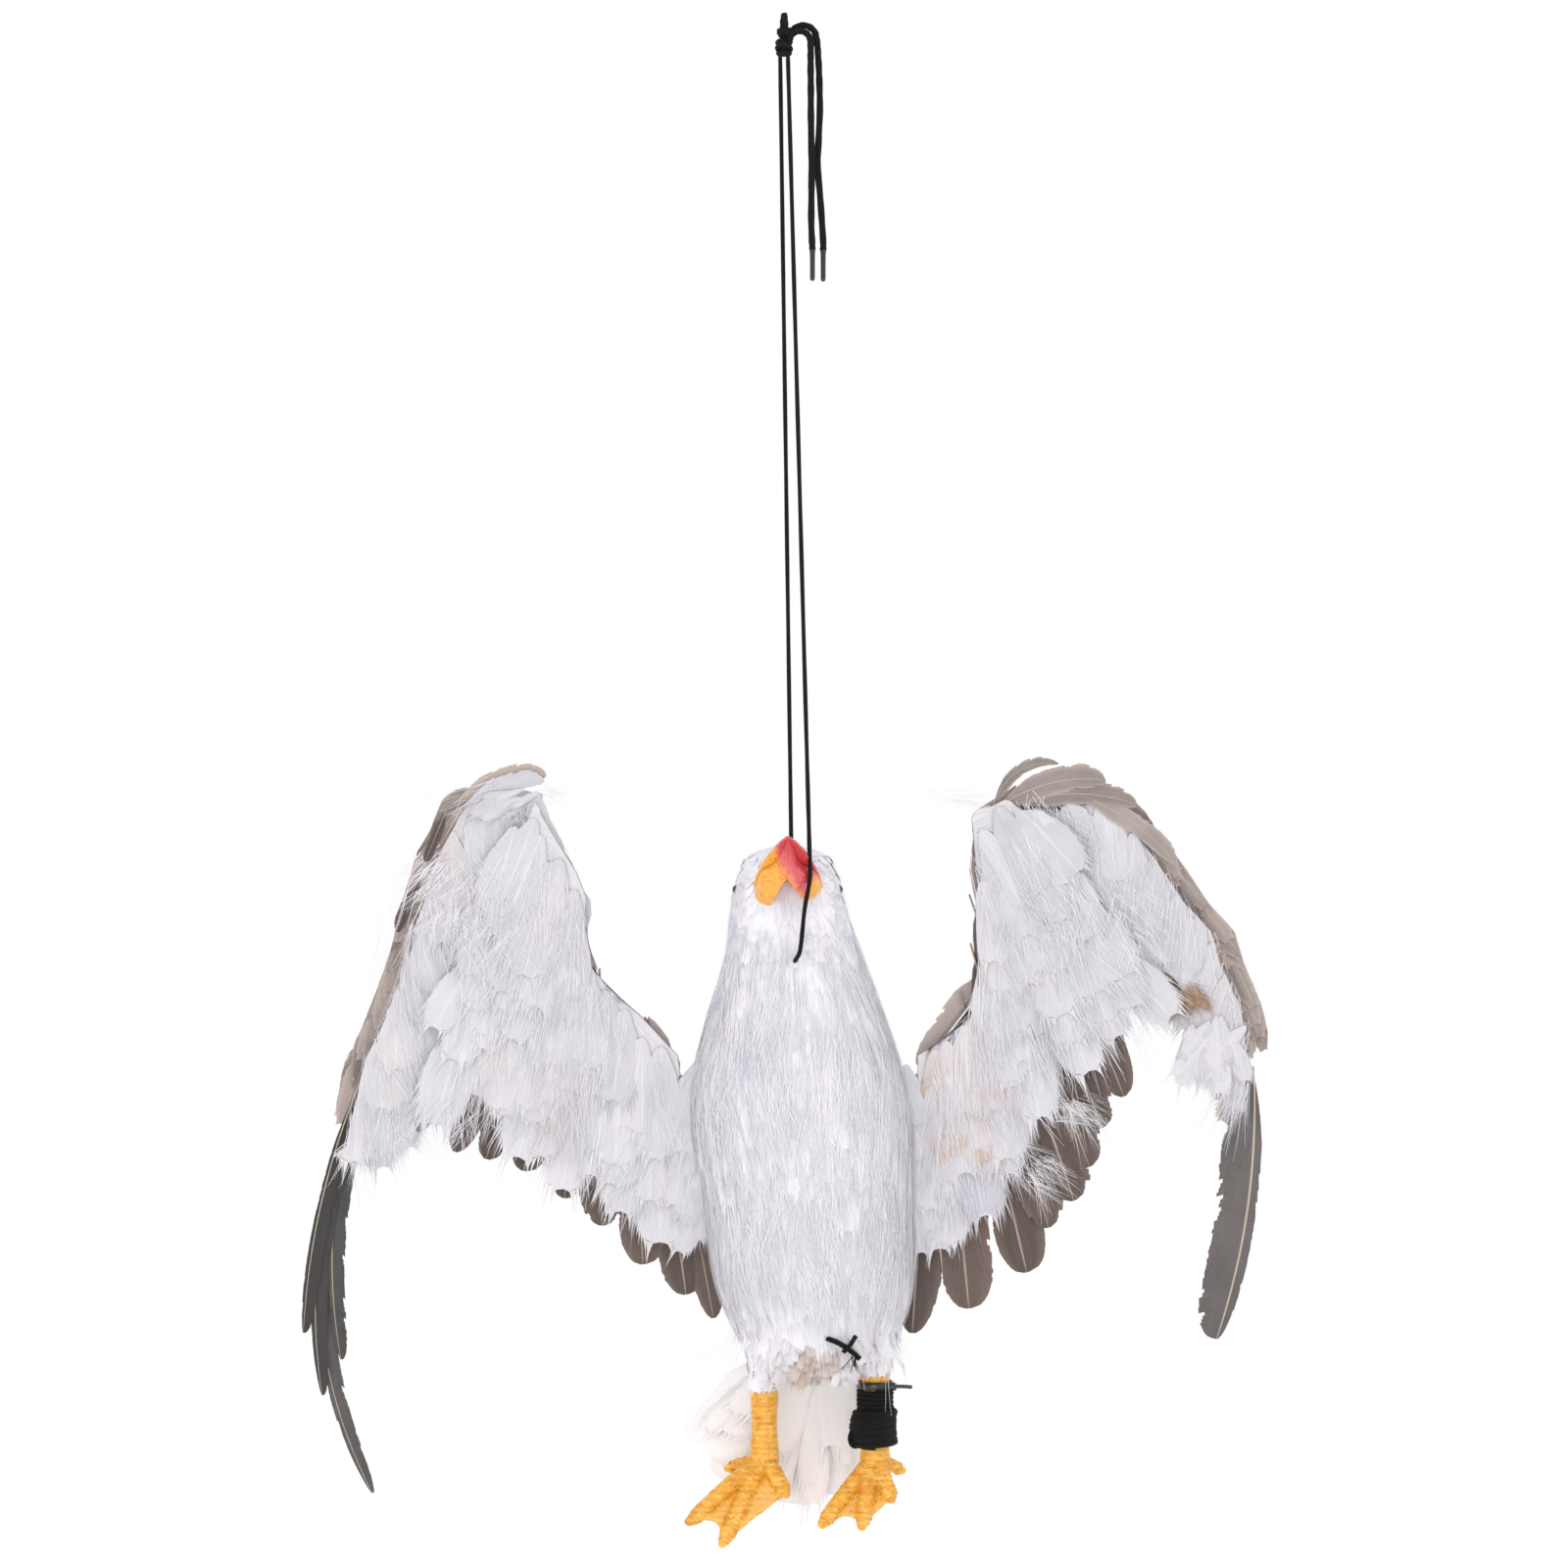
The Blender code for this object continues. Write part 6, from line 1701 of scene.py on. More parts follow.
def make_shoulder(wing):
    """Soft feathers that bridge the gap between body and arm."""
    side, sign = wing.side, wing.sign
    dice = random.Random(plumage().seed + 55 + int(sign))
    trunk = Trunk()
    for facing, level, material, name, slot in (
            (-1.0, wing.front("arm"), "underwing plumage", "front", "white_feather"),
            (1.0, box_rear(side + "_arm_upper_coverts"), "upperwing plumage", "rear", "grey_feather")):
        spots = []
        for k in range(22):
            z = -0.533 - 0.068 * k / 22
            x, _, wide, _ = trunk.section(-z)
            edge = x + sign * wide * 0.9
            place = Vector((edge + sign * dice.uniform(0.0, 0.009),
                            level + facing * dice.uniform(0.0006, 0.002), z))
            along, outward = laid(Vector((sign * dice.uniform(0.1, 0.34), 0.0, -1.0)).normalized(),
                                  Vector((0.0, facing, 0.0)), 0.02, dice.gauss(0.0, 0.06))
            spots.append((place, along, outward, dice.uniform(0.03, 0.042), 0.026, dice.uniform(0.25, 0.7)))
        piece = scatter(side + "_shoulder_feathers_" + name, spots, "covert", material, plumage().seed + 33)
        flatten(piece, level, facing, 0.003)
        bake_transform(piece)


# Group, plumage, root X and Z, tip X and Z, half width, bow, tint and depth in front of the wing of the stray
# feathers that lie over the rows.
STRAYS = (
    ("left_hand", "leading edge", (0.106, -0.407), (0.14, -0.383), 0.0032, 0.0085, 0.1, 0.0034),
    ("left_hand", "leading edge", (0.1065, -0.4075), (0.164, -0.3915), 0.0072, 0.006, 0.22, 0.0028),
    ("left_hand", "leading edge", (0.115, -0.405), (0.18, -0.404), 0.006, 0.006, 0.12, 0.0022),
    ("left_hand", "leading edge", (0.15, -0.3985), (0.2, -0.434), 0.0052, 0.004, 0.3, 0.002),
    ("left_hand", "secondary", (0.193, -0.488), (0.201, -0.51), 0.003, 0.0025, 0.4, 0.003),
    ("right_hand", "secondary", (-0.185, -0.44), (-0.1975, -0.469), 0.0034, 0.001, 0.1, 0.0016),
    ("right_hand", "secondary", (-0.172, -0.406), (-0.183, -0.433), 0.003, 0.0, 0.3, 0.003),
    ("right_hand", "leading edge", (-0.169, -0.404), (-0.1215, -0.3885), 0.0052, -0.005, 0.75, 0.0008),
    ("right_hand", "underwing", (-0.164, -0.405), (-0.1225, -0.3915), 0.005, -0.004, 0.15, 0.0022),
)
# Finish, template and slot of the kinds of tufts.
TUFT_KINDS = {
    "rusty": ("rusty down", "covert", "tan_down"),
    "rusty wisp": ("rusty down", "wisp", "tan_down"),
    "covert": ("underwing plumage", "covert", "white_feather"),
    "wisp": ("barb plumage", "wisp", "white_feather"),
}
# Group, kind, root X and Z, spread, degrees from straight down outward and their spread, length and width,
# tints and count of small tufts.
TUFTS = (
    ("left_hand", "rusty", (0.2055, -0.5), 0.006, 8, 60, 0.01, 0.007, (0.0, 1.0), 16),
    ("left_hand", "rusty wisp", (0.206, -0.4995), 0.0085, 10, 60, 0.014, 0.012, (0.0, 1.0), 46),
    ("left_hand", "covert", (0.22, -0.519), 0.01, -8, 34, 0.028, 0.018, (0.2, 0.8), 24),
    ("left_arm", "wisp", (0.146, -0.556), 0.014, 50, 44, 0.019, 0.01, (0.3, 0.9), 34),
    ("left_arm", "wisp", (0.124, -0.586), 0.016, 40, 44, 0.019, 0.01, (0.3, 0.9), 30),
    ("right_arm", "wisp", (-0.17, -0.558), 0.02, 20, 50, 0.022, 0.012, (0.3, 0.9), 40),
    ("left_hand", "wisp", (0.103, -0.401), 0.003, -88, 12, 0.026, 0.012, (0.2, 0.8), 9),
    ("left_hand", "wisp", (0.133, -0.41), 0.02, 10, 40, 0.03, 0.02, (0.2, 0.8), 30),
    ("right_hand", "wisp", (-0.124, -0.395), 0.005, -72, 26, 0.014, 0.01, (0.2, 0.8), 14),
    ("right_arm", "wisp", (-0.158, -0.455), 0.038, 16, 50, 0.03, 0.016, (0.2, 0.8), 70),
    ("left_arm", "wisp", (0.15, -0.46), 0.038, 16, 50, 0.03, 0.016, (0.2, 0.8), 60),
    ("right_hand", "wisp", (-0.14, -0.401), 0.017, 58, 30, 0.022, 0.01, (0.1, 0.6), 50),
    ("right_hand", "covert", (-0.137, -0.3995), 0.009, 66, 14, 0.022, 0.009, (0.1, 0.5), 12),
    ("right_hand", "wisp", (-0.175, -0.43), 0.013, 40, 26, 0.026, 0.018, (0.2, 0.8), 24),
)


def make_strays(wings):
    """Single feathers that lie across the rows, and the small tufts on the hands."""
    for number, (group, material, root, tip, half, bow, tint, forward) in enumerate(STRAYS):
        wing = wings[group.split("_")[0]]
        front = wing.front("hand") - forward
        root, tip = (Vector((x, front, z)) for x, z in (root, tip))
        built = bmesh.new()
        vane(built, root, span(root, tip), half, half * 0.9, -bow * wing.sign, 400 + number, tint, splits=4,
             curl=0.0008, round_tip=0.4, barbs=40, slant=0.8)
        stray = link_built("stray_feather_" + str(number + 1), built, material + " plumage")
        dress(stray, group, "white_feather" if material == "underwing" else "brown_feather")
    dice = random.Random(plumage().seed + 97)
    for number, (group, kind, root, spread, angle, turn, long, wide, tints, count) in enumerate(TUFTS):
        material, template, slot = TUFT_KINDS[kind]
        wing = wings[group.split("_")[0]]
        front = wing.front(group.split("_")[1]) - 0.003
        rusty = "rusty" in kind
        spots = []
        for k in range(count):
            place = Vector((root[0] + dice.gauss(0.0, 0.5) * spread, front,
                            root[1] + dice.gauss(0.0, 0.3) * spread))
            heading = radians(angle + dice.gauss(0.0, 0.5) * turn)
            lie = Vector((wing.sign * sin(heading), 0.0, -cos(heading)))
            along, outward = laid(lie, BELLY, dice.uniform(0.0, 0.4) if rusty else 0.04)
            size = dice.uniform(0.75, 1.2)
            spots.append((place, along, outward, long * size, wide * size, dice.uniform(*tints)))
        tuft = scatter("tuft_" + str(number + 1), spots, template, material, plumage().seed + 98 + number)
        flatten(tuft, front, -1.0, 0.003 if rusty else 0.0014)
        dress(tuft, group, slot)


def make_wires(wing):
    """Finish of the hand's wire, and the arm's wire bent back in among the feathers."""
    paint(wing.side + "_hand_wire", "steel wire")
    packed = frame["nodes"][wing.side + "_arm_wire"]
    mesh = packed.data.copy()
    mesh.transform(packed.matrix_world)
    piece = link(wing.side + "_arm_wire_bent", mesh)
    places = read_places(mesh)
    height = places[:, 2]
    middle = wing.edge(height, [(point.x, point.z) for point in wing.arm_path])
    bound = wing.edge(height, INNER_EDGES[wing.side]) + WIRE_COVER
    ends = np.clip((height - wing.shoulder.z - 0.008) / 0.012, 0.0, 1.0)
    ends *= np.clip((wing.wrist.z - 0.01 - height) / 0.012, 0.0, 1.0)
    places[:, 0] += wing.sign * np.maximum(0.0, bound - middle) * ends
    write_places(mesh, places)
    mesh.materials.clear()
    mesh.materials.append(finish("steel wire"))
    dress(piece, wing.side + "_arm", "steel_wire", wing.side + "_arm_wire")


def paint(node, material):
    """Give a packed node that stays in view a finer material."""
    slots = frame["nodes"][node].material_slots
    for slot in slots:
        slot.material = finish(material)
    if not slots:
        frame["nodes"][node].data.materials.append(finish(material))


# Tail


TAIL_ROOT = Vector((0.0175, 0.022, -0.679))


def make_tail():
    """White fan of five broad feathers with soft rims, and smaller ones over their roots."""
    dice = random.Random(plumage().seed + 90)
    for k, (angle, length) in enumerate(((41, 0.074), (27, 0.082), (12, 0.083), (-3, 0.078), (-17, 0.062))):
        node = "tail_feather_" + str(k + 1)
        turn = radians(angle)
        root = Vector((TAIL_ROOT.x + (k - 2.5) * 0.003, box_middle(node).y, TAIL_ROOT.z))
        built = bmesh.new()
        vane(built, root, (Vector((-sin(turn), 0.0, -cos(turn))), length * 1.04), 0.0184, 0.0176, 0.0, 300 + k,
             dice.uniform(0.2, 0.95), splits=1, round_tip=0.42, barbs=60, camber=0.04, slant=0.9)
        feather = link_built("tail_fan_" + str(k + 1), built, "tail plumage")
        dress(feather, "gull", "white_feather", node)
    spots = []
    for k in range(44):
        turn = radians(dice.uniform(-22, 52))
        along = Vector((-sin(turn), 0.0, -cos(turn)))
        place = TAIL_ROOT + along * dice.uniform(0.0, 0.03)
        place.y = box_front("tail_feather_1") - 0.0008
        if dice.random() < 0.5:
            place.y = box_rear("tail_feather_5") + 0.0008
        normal = BELLY if place.y < TAIL_ROOT.y + 0.002 else BACK
        raised, outward = laid(along, normal, dice.uniform(0.01, 0.04), dice.gauss(0.0, 0.05))
        spots.append((place, raised, outward, dice.uniform(0.044, 0.062), 0.032, dice.random()))
    piece = scatter("tail_coverts", spots, "body", "tail plumage", plumage().seed + 91)
    dress(piece, "gull", "white_feather")


# Legs


HIPS = {side: Vector(JOINTS[side + "_hip"]["pos_m"]) for side in SIDES}
SHANK_RADIUS = 0.0069
SHANK_LENGTH = 0.047
WEB_HALF_THICKNESS = 0.0014
FOOT_VOXEL = 0.0005
SCALE_HEIGHT = 0.00042
THIGH_DROP = 0.023
TIE_THICKNESS = 0.0011
# Across, drop and forward reach of each digit's tip from the ankle.
DIGITS = {
    "right": ((-0.038, 0.0295, 0.012), (-0.021, 0.0395, 0.017), (0.011, 0.015, 0.015),
              (-0.019, 0.005, -0.007)),
    "left": ((-0.027, 0.03, 0.015), (-0.007, 0.0305, 0.018), (0.008, 0.018, 0.013),
             (0.014, 0.006, -0.006)),
}


def foot_bones(side):
    """Centre lines of shank and digits with their radii, from the hip's place."""
    top = HIPS[side] + Vector((0.0, 0.0, 0.006 - THIGH_DROP))
    ankle = top + Vector((0.0, 0.0, -SHANK_LENGTH))
    heel = ankle + Vector((0.0, 0.0, -SHANK_RADIUS * 0.7))
    bones = [([top, top.lerp(ankle, 0.25), top.lerp(ankle, 0.62), ankle, heel],
              [SHANK_RADIUS * share for share in (1.12, 1.06, 0.92, 1.14, 0.65)])]
    for k, (across, drop, reach) in enumerate(DIGITS[side]):
        tip = ankle + Vector((across, -reach, -drop))
        size = 0.005 if k < 3 else 0.0038
        arch = Vector((0.0, -0.0014, 0.0018)) if k < 3 else Vector((0.0, 0.0, 0.001))
        points = [ankle, ankle.lerp(tip, 0.3) + arch, ankle.lerp(tip, 0.62) + arch * 0.8,
                  ankle.lerp(tip, 0.88), tip]
        bones.append((points, [size * share for share in (1.05, 0.9, 0.82, 0.86, 0.5)]))
    return bones, ankle


def make_foot(side):
    """Webbed resin foot: ring-scaled shank and digits with thin webs drawn in between them."""
    bones, ankle = foot_bones(side)
    built = bmesh.new()
    for points, radii in bones:
        path = smooth_path(points, 5)
        marks = np.linspace(0, len(radii) - 1, len(path))
        widths = [float(2 * np.interp(mark, range(len(radii)), radii)) for mark in marks]
        sweep(built, path, widths, widths, 14)
        for end, width in ((path[0], widths[0]), (path[-1], widths[-1])):
            bmesh.ops.create_icosphere(built, subdivisions=2, radius=width / 2, matrix=Matrix.Translation(end))
    web_sheet(built, ankle, [points[-1] for points, radii in bones[1:4]])
    bmesh.ops.recalc_face_normals(built, faces=built.faces[:])
    foot = link_built(side + "_resin_foot", built)
    step = foot.modifiers.new("one skin", "REMESH")
    step.mode = "VOXEL"
    step.voxel_size = FOOT_VOXEL
    step.use_smooth_shade = True
    keep_modifiers(foot)
    smooth = foot.modifiers.new("softer", "SMOOTH")
    smooth.factor = 0.5
    smooth.iterations = 5
    keep_modifiers(foot)
    score_scales(foot.data, bones)
    foot.data.materials.clear()
    foot.data.materials.append(finish("foot resin"))
    dress(foot, side + "_leg", "foot", side + "_foot")


def web_sheet(built, ankle, toes):
    """Thin webs between neighbouring toes, each edge drawn in."""
    steps = 10
    for first, second in zip(toes, toes[1:]):
        top, low = [], []
        normal = (first - ankle).cross(second - ankle).normalized() * WEB_HALF_THICKNESS
        hollow = 0.14 if first == toes[0] else 0.03
        for i in range(steps + 1):
            run = i / steps
            top.append([])
            low.append([])
            for k in range(steps + 1):
                side = k / steps
                edge = first.lerp(second, side)
                sag = DOWN * 0.0006 * sin(pi * side) * run
                place = ankle.lerp(edge, run * (0.98 - hollow * sin(pi * side))) + sag
                ripple = normal.normalized() * 0.0004 * sin(side * 16.0 + 1.0) * run
                top[i].append(built.verts.new(place + normal + ripple))
                low[i].append(built.verts.new(place - normal + ripple))
        for i in range(steps):
            for k in range(steps):
                built.faces.new(tile(top, i, k))
                built.faces.new(tile(low, i, k, True))
            for k in (0, steps):
                built.faces.new((top[i][k], top[i + 1][k], low[i + 1][k], low[i][k]))
        for i in (0, steps):
            for k in range(steps):
                built.faces.new((top[i][k], top[i][k + 1], low[i][k + 1], low[i][k]))


def score_scales(mesh, bones):
    """Press ring scales into shank and digits, and mark webs and the grooves' painted shade for the material.
    """
    places = read_places(mesh)
    normals = np.empty(len(places) * 3)
    mesh.vertices.foreach_get("normal", normals)
    best = np.full(len(places), 1e9)
    run = np.zeros(len(places))
    for number, (points, radii) in enumerate(bones):
        start_run = 0.013 * number
        for a, b, wide in zip(points, points[1:], radii):
            a, b = np.array(a), np.array(b)
            line = b - a
            size = np.linalg.norm(line)
            share = np.clip(((places - a) @ line) / size ** 2, 0.0, 1.0)
            gap = np.linalg.norm(places - (a + share[:, None] * line), axis=1) / wide
            nearer = gap < best
            best[nearer] = gap[nearer]
            run[nearer] = (start_run + share * size)[nearer]
            start_run += size
    wobble, lump = (np.array([noise(Vector(place) * scale) for place in places]) for scale in (240, 520))
    ring = np.mod(run / resin().scale_pitch + wobble * 0.35, 1.0)
    on_bone = np.clip(1.0 - (best - 1.05) / 0.35, 0.0, 1.0)
    ridge = np.minimum(ring * 1.35, 1.0) * (ring < 0.92)
    push = (ridge - 0.5) * SCALE_HEIGHT * on_bone + lump * 0.0001
    groove = np.clip((0.16 - ring) / 0.16, 0.0, 1.0) * on_bone
    for key, values in (("web", 1.0 - on_bone), ("groove", groove)):
        field = mesh.attributes.new(key, "FLOAT", "POINT")
        field.data.foreach_set("value", values.astype(np.float32))
    write_places(mesh, places + normals.reshape(-1, 3) * push[:, None])


def make_thigh(side):
    """Feathered thigh over its packed tuft."""
    dice = random.Random(plumage().seed + 95 + int(SIDES[side]))
    low, high = corners_of(side + "_thigh_tuft")
    hip = HIPS[side]
    radius = (high.x - low.x) / 2
    built = bmesh.new()
    shorter = 0.0 if side == "right" else 0.0065
    depths = (0.0098, 0.009, 0.006, 0.0, -0.006, -0.012, low.z - hip.z + 0.0004 + shorter)
    shares = (0.1, 0.45, 0.8, 0.97, 0.93, 0.86, 0.74)
    path = [hip + Vector((0.0, 0.0, depth)) for depth in depths]
    widths = [2 * radius * share for share in shares]
    sweep(built, path, widths, widths, 28)
    core = link_built(side + "_thigh_down", built, "white down")
    spots = []
    for row in range(6):
        depth = 0.004 + shorter * 0.4 - row * (0.0042 - shorter * 0.2)
        for k in range(16):
            turn = 2 * pi * (k + 0.5 * (row % 2) + dice.uniform(-0.3, 0.3)) / 16
            away = Vector((cos(turn), sin(turn), 0.0))
            wide = radius * (0.92 if depth > -0.01 else 0.84)
            place = hip + away * wide + Vector((0.0, 0.0, depth))
            along, outward = laid(DOWN, away, dice.uniform(-0.12, 0.03), dice.gauss(0.0, 0.12))
            spots.append((place, along, outward, dice.uniform(0.0105, 0.0135), 0.0125, dice.uniform(0.3, 0.9)))
    feathers = scatter(side + "_thigh_feathers", spots, "body", "breast plumage", plumage().seed + 96)
    thigh = join(side + "_thigh_plumage", [core, feathers])
    dress(thigh, side + "_leg", "white_feather", side + "_thigh_tuft")


def make_lashing():
    """Cord wound down the left shank and back up over its foot, with a loop drawn out at one side."""
    cord = lace().lashing_width
    low, high = corners_of("leg_lashing")
    centre = Vector((HIPS["left"].x, HIPS["left"].y, 0.0))
    inner = SHANK_RADIUS + cord / 2 + 0.0003
    turns = 13
    per_turn = 30
    span = high.z - low.z - cord
    path = []
    for i in range(turns * per_turn + 1):
        turn = i / per_turn
        z = high.z + 0.0022 - cord / 2 - (span + 0.0022) * turn / turns
        out = inner * (1.0 + 0.012 * sin(turn * 5.1))
        angle = 2 * pi * turn - pi / 2
        path.append(centre + Vector((out * cos(angle), out * sin(angle), z)))
    built = bmesh.new()
    sweep(built, path, cord * 1.05, cord, 10, UP)
    outer = (high.x - low.x) / 2 - cord / 2
    path = []
    rounds = 9
    for i in range(rounds * per_turn + 1):
        turn = i / per_turn
        share = turn / rounds
        z = low.z + cord * 0.7 + 0.0175 * share + 0.0003 * sin(turn * 9.0)
        wide = inner + cord * 0.8 + (outer - inner - cord * 0.9) * sin(pi * min(1.0, share + 0.12)) ** 0.7
        angle = 2 * pi * turn + 0.6
        lean = -0.0012 * sin(pi * share)
        path.append(centre + Vector((wide * cos(angle) + lean, wide * sin(angle), z)))
    sweep(built, path, cord * 1.25, cord, 10, UP)
    loop = []
    for i in range(31):
        t = pi * (0.1 + 1.8 * i / 30)
        loop.append(centre + Vector((-outer * 0.9 + 0.003 * cos(t), -outer * 0.42,
                                     low.z + 0.0056 - 0.0042 * sin(t))))
    sweep(built, loop, cord * 0.85, cord * 0.85, 10, BACK)
    lashing = link_built("leg_lashing_cord", built, "lashing cord")
    dress(lashing, "left_leg", "lace", "leg_lashing")


def make_tie():
    """Cable tie: a thin toothed strap, its lock and its tail."""
    low, high = corners_of("cable_tie")
    centre = Vector((HIPS["left"].x, HIPS["left"].y, 0.0))
    radius = SHANK_RADIUS + 0.0021
    middle, tall = (low.z + high.z) / 2, high.z - low.z
    built = bmesh.new()
    ring = [centre + Vector((radius * cos(t), radius * sin(t), middle)) for t in
            (2 * pi * 1.02 * k / 60 - 0.9 for k in range(61))]
    sweep(built, ring, tall * 0.92, TIE_THICKNESS, 12, UP)
    lock = centre + Vector((radius * 0.8 + 0.001, -radius * 0.8 - 0.0008, middle))
    path = [lock + Vector((dx, -dx * 0.2, 0.0)) for dx in (-0.0024, -0.002, 0.0, 0.002, 0.0024)]
    sweep(built, path, [tall * 0.75, tall, tall, tall, tall * 0.75],
          [0.0028, 0.0036, 0.0036, 0.0036, 0.0028], 12, UP)
    tail = [lock, lock + Vector((0.005, -0.0003, 0.0001)),
            Vector((high.x - 0.0004, lock.y - 0.0004, middle - 0.0002))]
    sweep(built, smooth_path(tail, 5), 0.0019, 0.001, 12, UP)
    tie = link_built("cable_tie_strap", built, "tie plastic")
    dress(tie, "left_leg", "tie_plastic", "cable_tie")


def make_vent_cord():
    """Short tie cord at the vent with a second end crossing it and frayed strands."""
    low, high = corners_of("vent_tie_cord")
    near = low.y - 0.0006
    built = bmesh.new()
    main = [Vector((low.x, near + 0.0006, high.z + 0.0004)), Vector((low.x + 0.007, near, high.z - 0.0025)),
            Vector((low.x + 0.0135, near, high.z - 0.007)), Vector((high.x + 0.0015, near, low.z - 0.0045))]
    sweep(built, smooth_path(main, 8), 0.0027, 0.0017, 10)
    stub = [Vector((high.x - 0.0005, near - 0.0012, high.z + 0.0018)),
            Vector((high.x - 0.004, near - 0.0014, high.z - 0.0035)),
            Vector((high.x - 0.007, near - 0.0012, low.z - 0.001))]
    sweep(built, smooth_path(stub, 8), 0.0023, 0.0015, 10)
    dice = random.Random(77)
    for k in range(7):
        start = Vector((high.x - 0.001 + dice.uniform(-0.002, 0.002), near - 0.001, low.z - 0.003))
        bend = Vector((dice.uniform(-0.005, 0.003), dice.uniform(-0.001, 0.001), -dice.uniform(0.003, 0.006)))
        thread = smooth_path([start, start + bend * 0.6 + Vector((dice.uniform(-0.001, 0.001), 0.0, 0.0)),
                              start + bend * 1.5], 5)
        sweep(built, thread, 0.0004, 0.0004, 6)
    cord = link_built("vent_cord_ends", built, "lashing cord")
    dress(cord, "gull", "lace", "vent_tie_cord")


def make_legs():
    """Thighs, feet, lashing, cable tie and the cord at the vent."""
    for side in SIDES:
        make_thigh(side)
        make_foot(side)
    make_lashing()
    make_tie()
    make_vent_cord()


def paint_inner_parts():
    """Finishes of the packed parts that stay in view between the feathers."""
    for node in ("body_core", "head_core"):
        paint(node, "cut foam")
    for node in ("hip_pin", "right_leg_wire", "left_leg_wire"):
        paint(node, "steel wire")


# Stage


def make_stage():
    """Camera at the photograph's place, soft lights, pale floor and backdrop."""
    scene = bpy.context.scene
    look = scene.decoy_stage
    scene.view_settings.view_transform = "Standard"
    data = bpy.data.cameras.new("view")
    data.sensor_width = 36.0
    data.lens = data.sensor_width * look.distance / look.view_width
    data.clip_end = 20.0
    camera = bpy.data.objects.new("view", data)
    camera.location = (0.0, -look.distance, -look.aim_depth)
    camera.rotation_euler = (radians(90), 0.0, 0.0)
    scene.collection.objects.link(camera)
    scene.camera = camera

    floor_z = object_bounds()[0][2] - look.floor_drop
    built = bmesh.new()
    bend, back = 1.2, 2.4
    turns = [pi / 2 * k / 12 for k in range(1, 13)]
    curve = [(back - bend + bend * sin(t), bend - bend * cos(t)) for t in turns]
    profile = [(-4.0, 0.0), (back - bend, 0.0), *curve, (back, 5.0)]
    rows = [[built.verts.new((x, y, floor_z + z)) for x in (-5.0, 5.0)] for y, z in profile]
    for near, far in zip(rows, rows[1:]):
        built.faces.new((near[0], near[1], far[1], far[0]))
    floor_material(tuple(look.floor_colour), floor_z)
    link_built("floor", built, "pale floor")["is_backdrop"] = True

    world = bpy.data.worlds.new("even light")
    scene.world = world
    world.use_nodes = True
    tree = world.node_tree
    tree.nodes.clear()
    path = add(tree, "ShaderNodeLightPath").outputs
    seen = sums(tree, "MAXIMUM", path["Is Camera Ray"],
                sums(tree, "MAXIMUM", path["Is Glossy Ray"], path["Is Transmission Ray"]))
    even, white = (add(tree, "ShaderNodeBackground", {"Color": (1.0, 1.0, 1.0, 1.0), "Strength": strength})
                   for strength in (look.world_light, 1.0))
    both = add(tree, "ShaderNodeMixShader", {0: seen, 1: even.outputs[0], 2: white.outputs[0]})
    add(tree, "ShaderNodeOutputWorld", {"Surface": both.outputs[0]})

    for name, place, size, share in (("key lamp", (-1.35, -1.25, 0.35), 1.2, 1.0),
                                     ("low lamp", (-0.2, -1.3, -1.0), 0.9, 1.3),
                                     ("fill lamp", (1.7, -0.8, -0.5), 1.0, 0.7)):
        lamp = bpy.data.lights.new(name, "AREA")
        lamp.size = size
        lamp.energy = look.key_watts * share
        light = bpy.data.objects.new(name, lamp)
        light.location = place
        light.rotation_euler = (Vector((0.0, 0.0, -0.55)) - Vector(place)).to_track_quat("-Z", "Y").to_euler()
        scene.collection.objects.link(light)


def floor_material(colour, floor_z):
    """Plain pale floor that keeps shadows, and whose backdrop reads as white where the camera sees it."""
    tree, shader = start_material("pale floor", 0.9)
    spot = object_place(tree)
    wall = limit(tree, axes(tree, spot)["Z"], floor_z, floor_z + 0.02)
    glow = add(tree, "ShaderNodeEmission", {"Color": (1.0, 1.0, 1.0, 1.0), "Strength": 1.0})
    seen = times(tree, add(tree, "ShaderNodeLightPath").outputs["Is Camera Ray"], wall)
    both = add(tree, "ShaderNodeMixShader", {0: seen, 1: shader.outputs[0], 2: glow.outputs[0]})
    tree.links.new(both.outputs[0], tree.nodes["Material Output"].inputs["Surface"])
    stops = [(0.3, colour), (0.7, scaled(colour, 0.985))]
    finish_colour(tree, shader, ramp(tree, cloud(tree, spot, 12.0), stops))


# Operators


class DECOY_OT_finishes(bpy.types.Operator):
    """Make the finishes of the decoy"""
    bl_idname = "decoy.finishes"
    bl_label = "Finishes"

    def execute(self, context):
        make_materials()
        return {"FINISHED"}


class DECOY_OT_stage(bpy.types.Operator):
    """Set up camera, floor and lights"""
    bl_idname = "decoy.stage"
    bl_label = "Stage"

    def execute(self, context):
        make_stage()
        return {"FINISHED"}


class DECOY_OT_lace(bpy.types.Operator):
    """Braid the lace, its knot, loop and tips"""
    bl_idname = "decoy.lace"
    bl_label = "Lace"

    def execute(self, context):
        make_lace()
        return {"FINISHED"}


class DECOY_OT_bill(bpy.types.Operator):
    """Mould the bill and set the eyes"""
    bl_idname = "decoy.bill"
    bl_label = "Bill and Eyes"

    def execute(self, context):
        make_bill()
        return {"FINISHED"}


class DECOY_OT_trunk(bpy.types.Operator):
    """Lay the feathers of body and head"""
    bl_idname = "decoy.trunk"
    bl_label = "Body Plumage"

    def execute(self, context):
        make_trunk_plumage()
        make_face_strands()
        return {"FINISHED"}


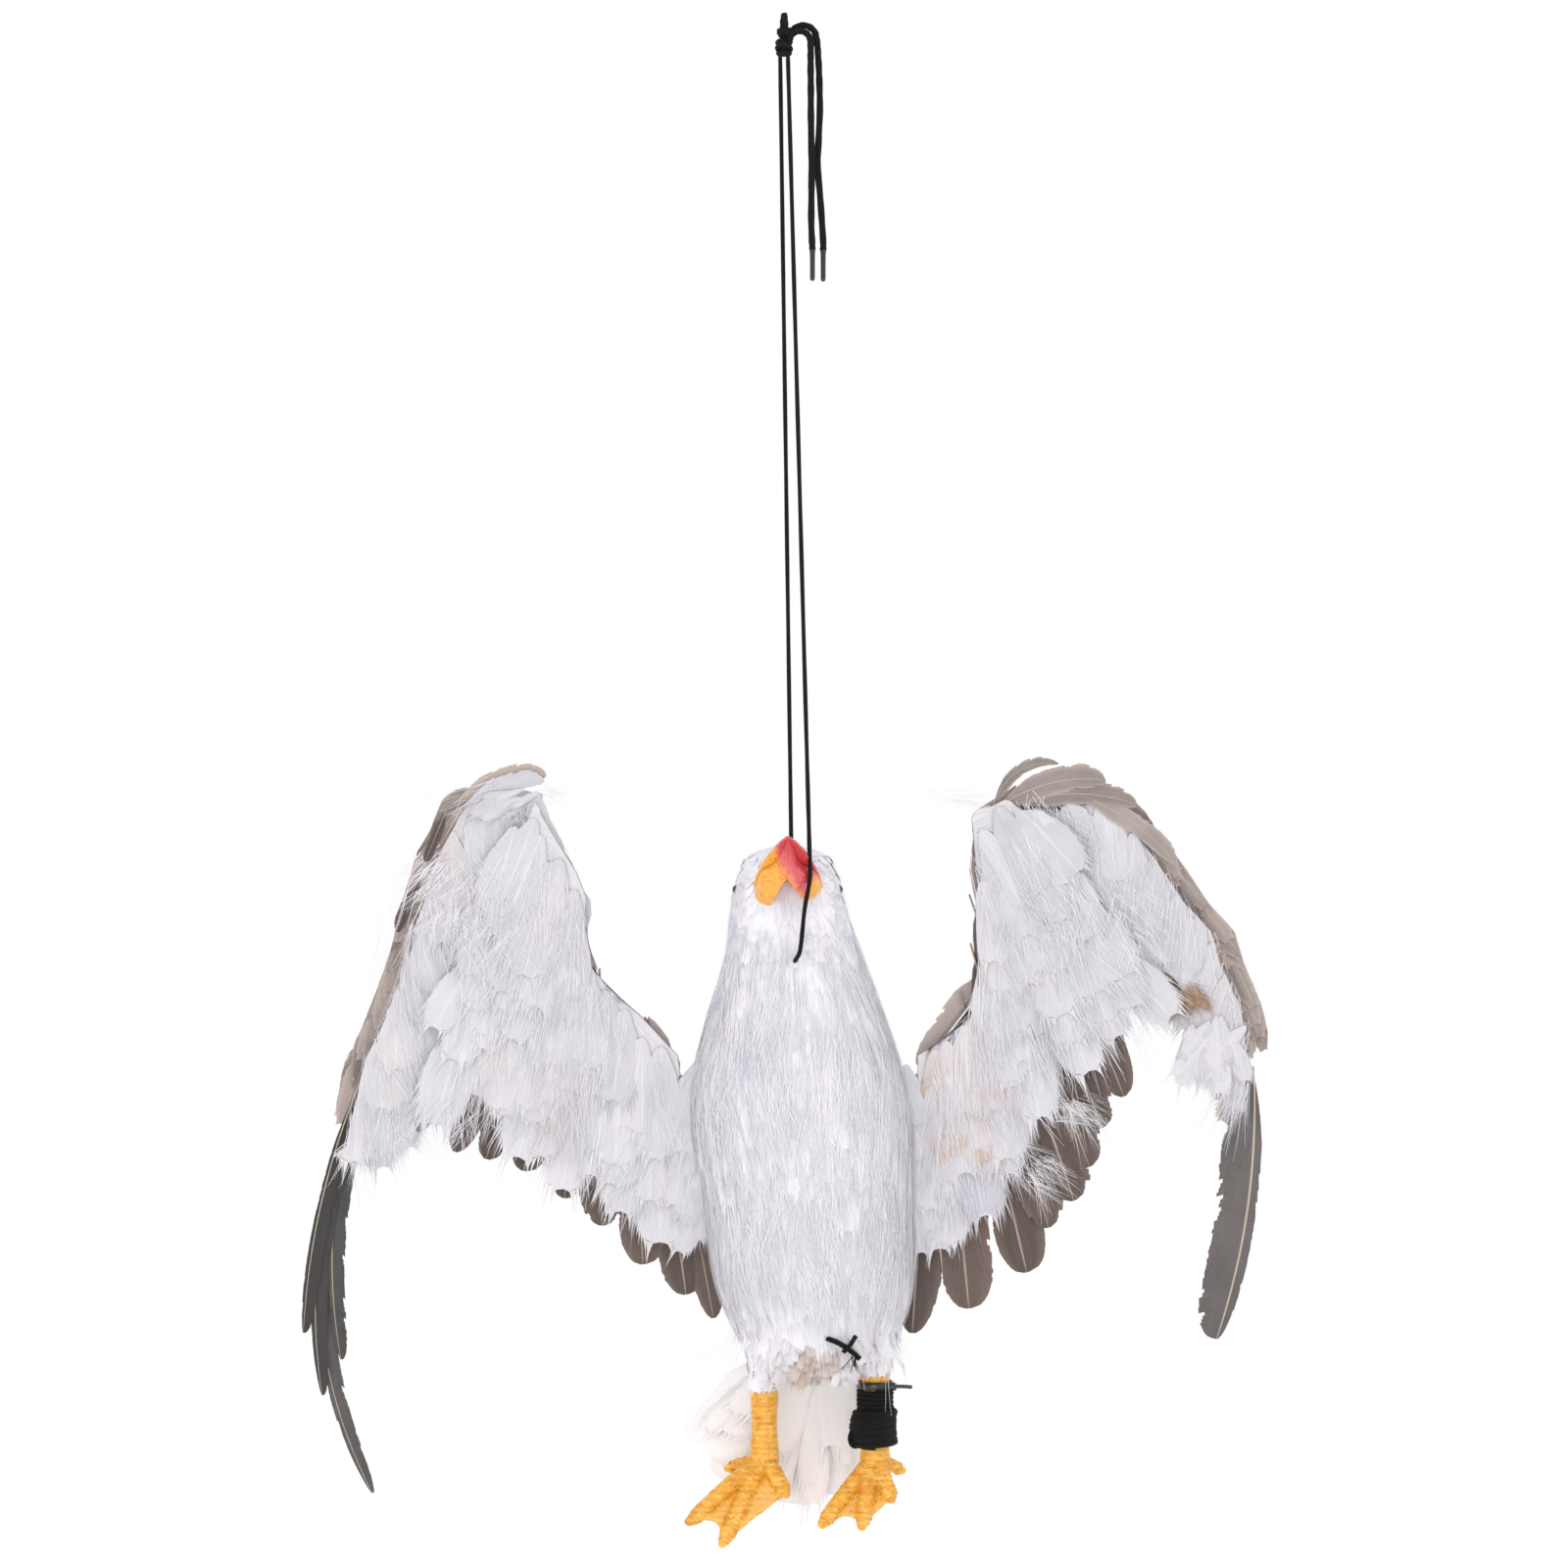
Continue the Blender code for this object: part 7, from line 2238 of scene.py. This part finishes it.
class DECOY_OT_wings(bpy.types.Operator):
    """Lay the feathers of both wings"""
    bl_idname = "decoy.wings"
    bl_label = "Wings"

    def execute(self, context):
        wings = {side: Wing(side) for side in SIDES}
        for wing in wings.values():
            make_flights(wing)
            make_coverts(wing)
            make_wires(wing)
            make_shoulder(wing)
        make_strays(wings)
        return {"FINISHED"}


class DECOY_OT_tail(bpy.types.Operator):
    """Fan out the tail"""
    bl_idname = "decoy.tail"
    bl_label = "Tail"

    def execute(self, context):
        make_tail()
        return {"FINISHED"}


class DECOY_OT_legs(bpy.types.Operator):
    """Make thighs, feet, lashing and cable tie"""
    bl_idname = "decoy.legs"
    bl_label = "Legs"

    def execute(self, context):
        make_legs()
        return {"FINISHED"}


class DECOY_OT_inner(bpy.types.Operator):
    """Finish the inner parts and clear the feather templates away"""
    bl_idname = "decoy.inner"
    bl_label = "Inner Parts"

    def execute(self, context):
        paint_inner_parts()
        clear_templates()
        return {"FINISHED"}


OPERATORS = (DECOY_OT_finishes, DECOY_OT_stage, DECOY_OT_lace, DECOY_OT_bill, DECOY_OT_trunk, DECOY_OT_wings,
             DECOY_OT_tail, DECOY_OT_legs, DECOY_OT_inner)


class DECOY_PT_panel(bpy.types.Panel):
    """Settings and steps of the gull decoy"""
    bl_idname = "DECOY_PT_panel"
    bl_label = "Gull Decoy"
    bl_space_type = "VIEW_3D"
    bl_region_type = "UI"
    bl_category = "Gull Decoy"

    def draw(self, context):
        for key, group in SETTINGS.items():
            box = self.layout.box()
            box.label(text=group.__doc__.rstrip("."))
            for name in group.__annotations__:
                box.prop(getattr(context.scene, key), name)
        for step in OPERATORS:
            self.layout.operator(step.bl_idname)


CLASSES = tuple(SETTINGS.values()) + OPERATORS + (DECOY_PT_panel,)


def register():
    for made in CLASSES:
        bpy.utils.register_class(made)
    for key, group in SETTINGS.items():
        setattr(bpy.types.Scene, key, PointerProperty(type=group))


def unregister():
    for key in SETTINGS:
        delattr(bpy.types.Scene, key)
    for made in reversed(CLASSES):
        bpy.utils.unregister_class(made)


def main():
    """Dress the decoy in order."""
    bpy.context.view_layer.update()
    register()
    for step in OPERATORS:
        family, action = step.bl_idname.split(".")
        getattr(getattr(bpy.ops, family), action)()
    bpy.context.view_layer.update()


if __name__ == "__main__":
    main()
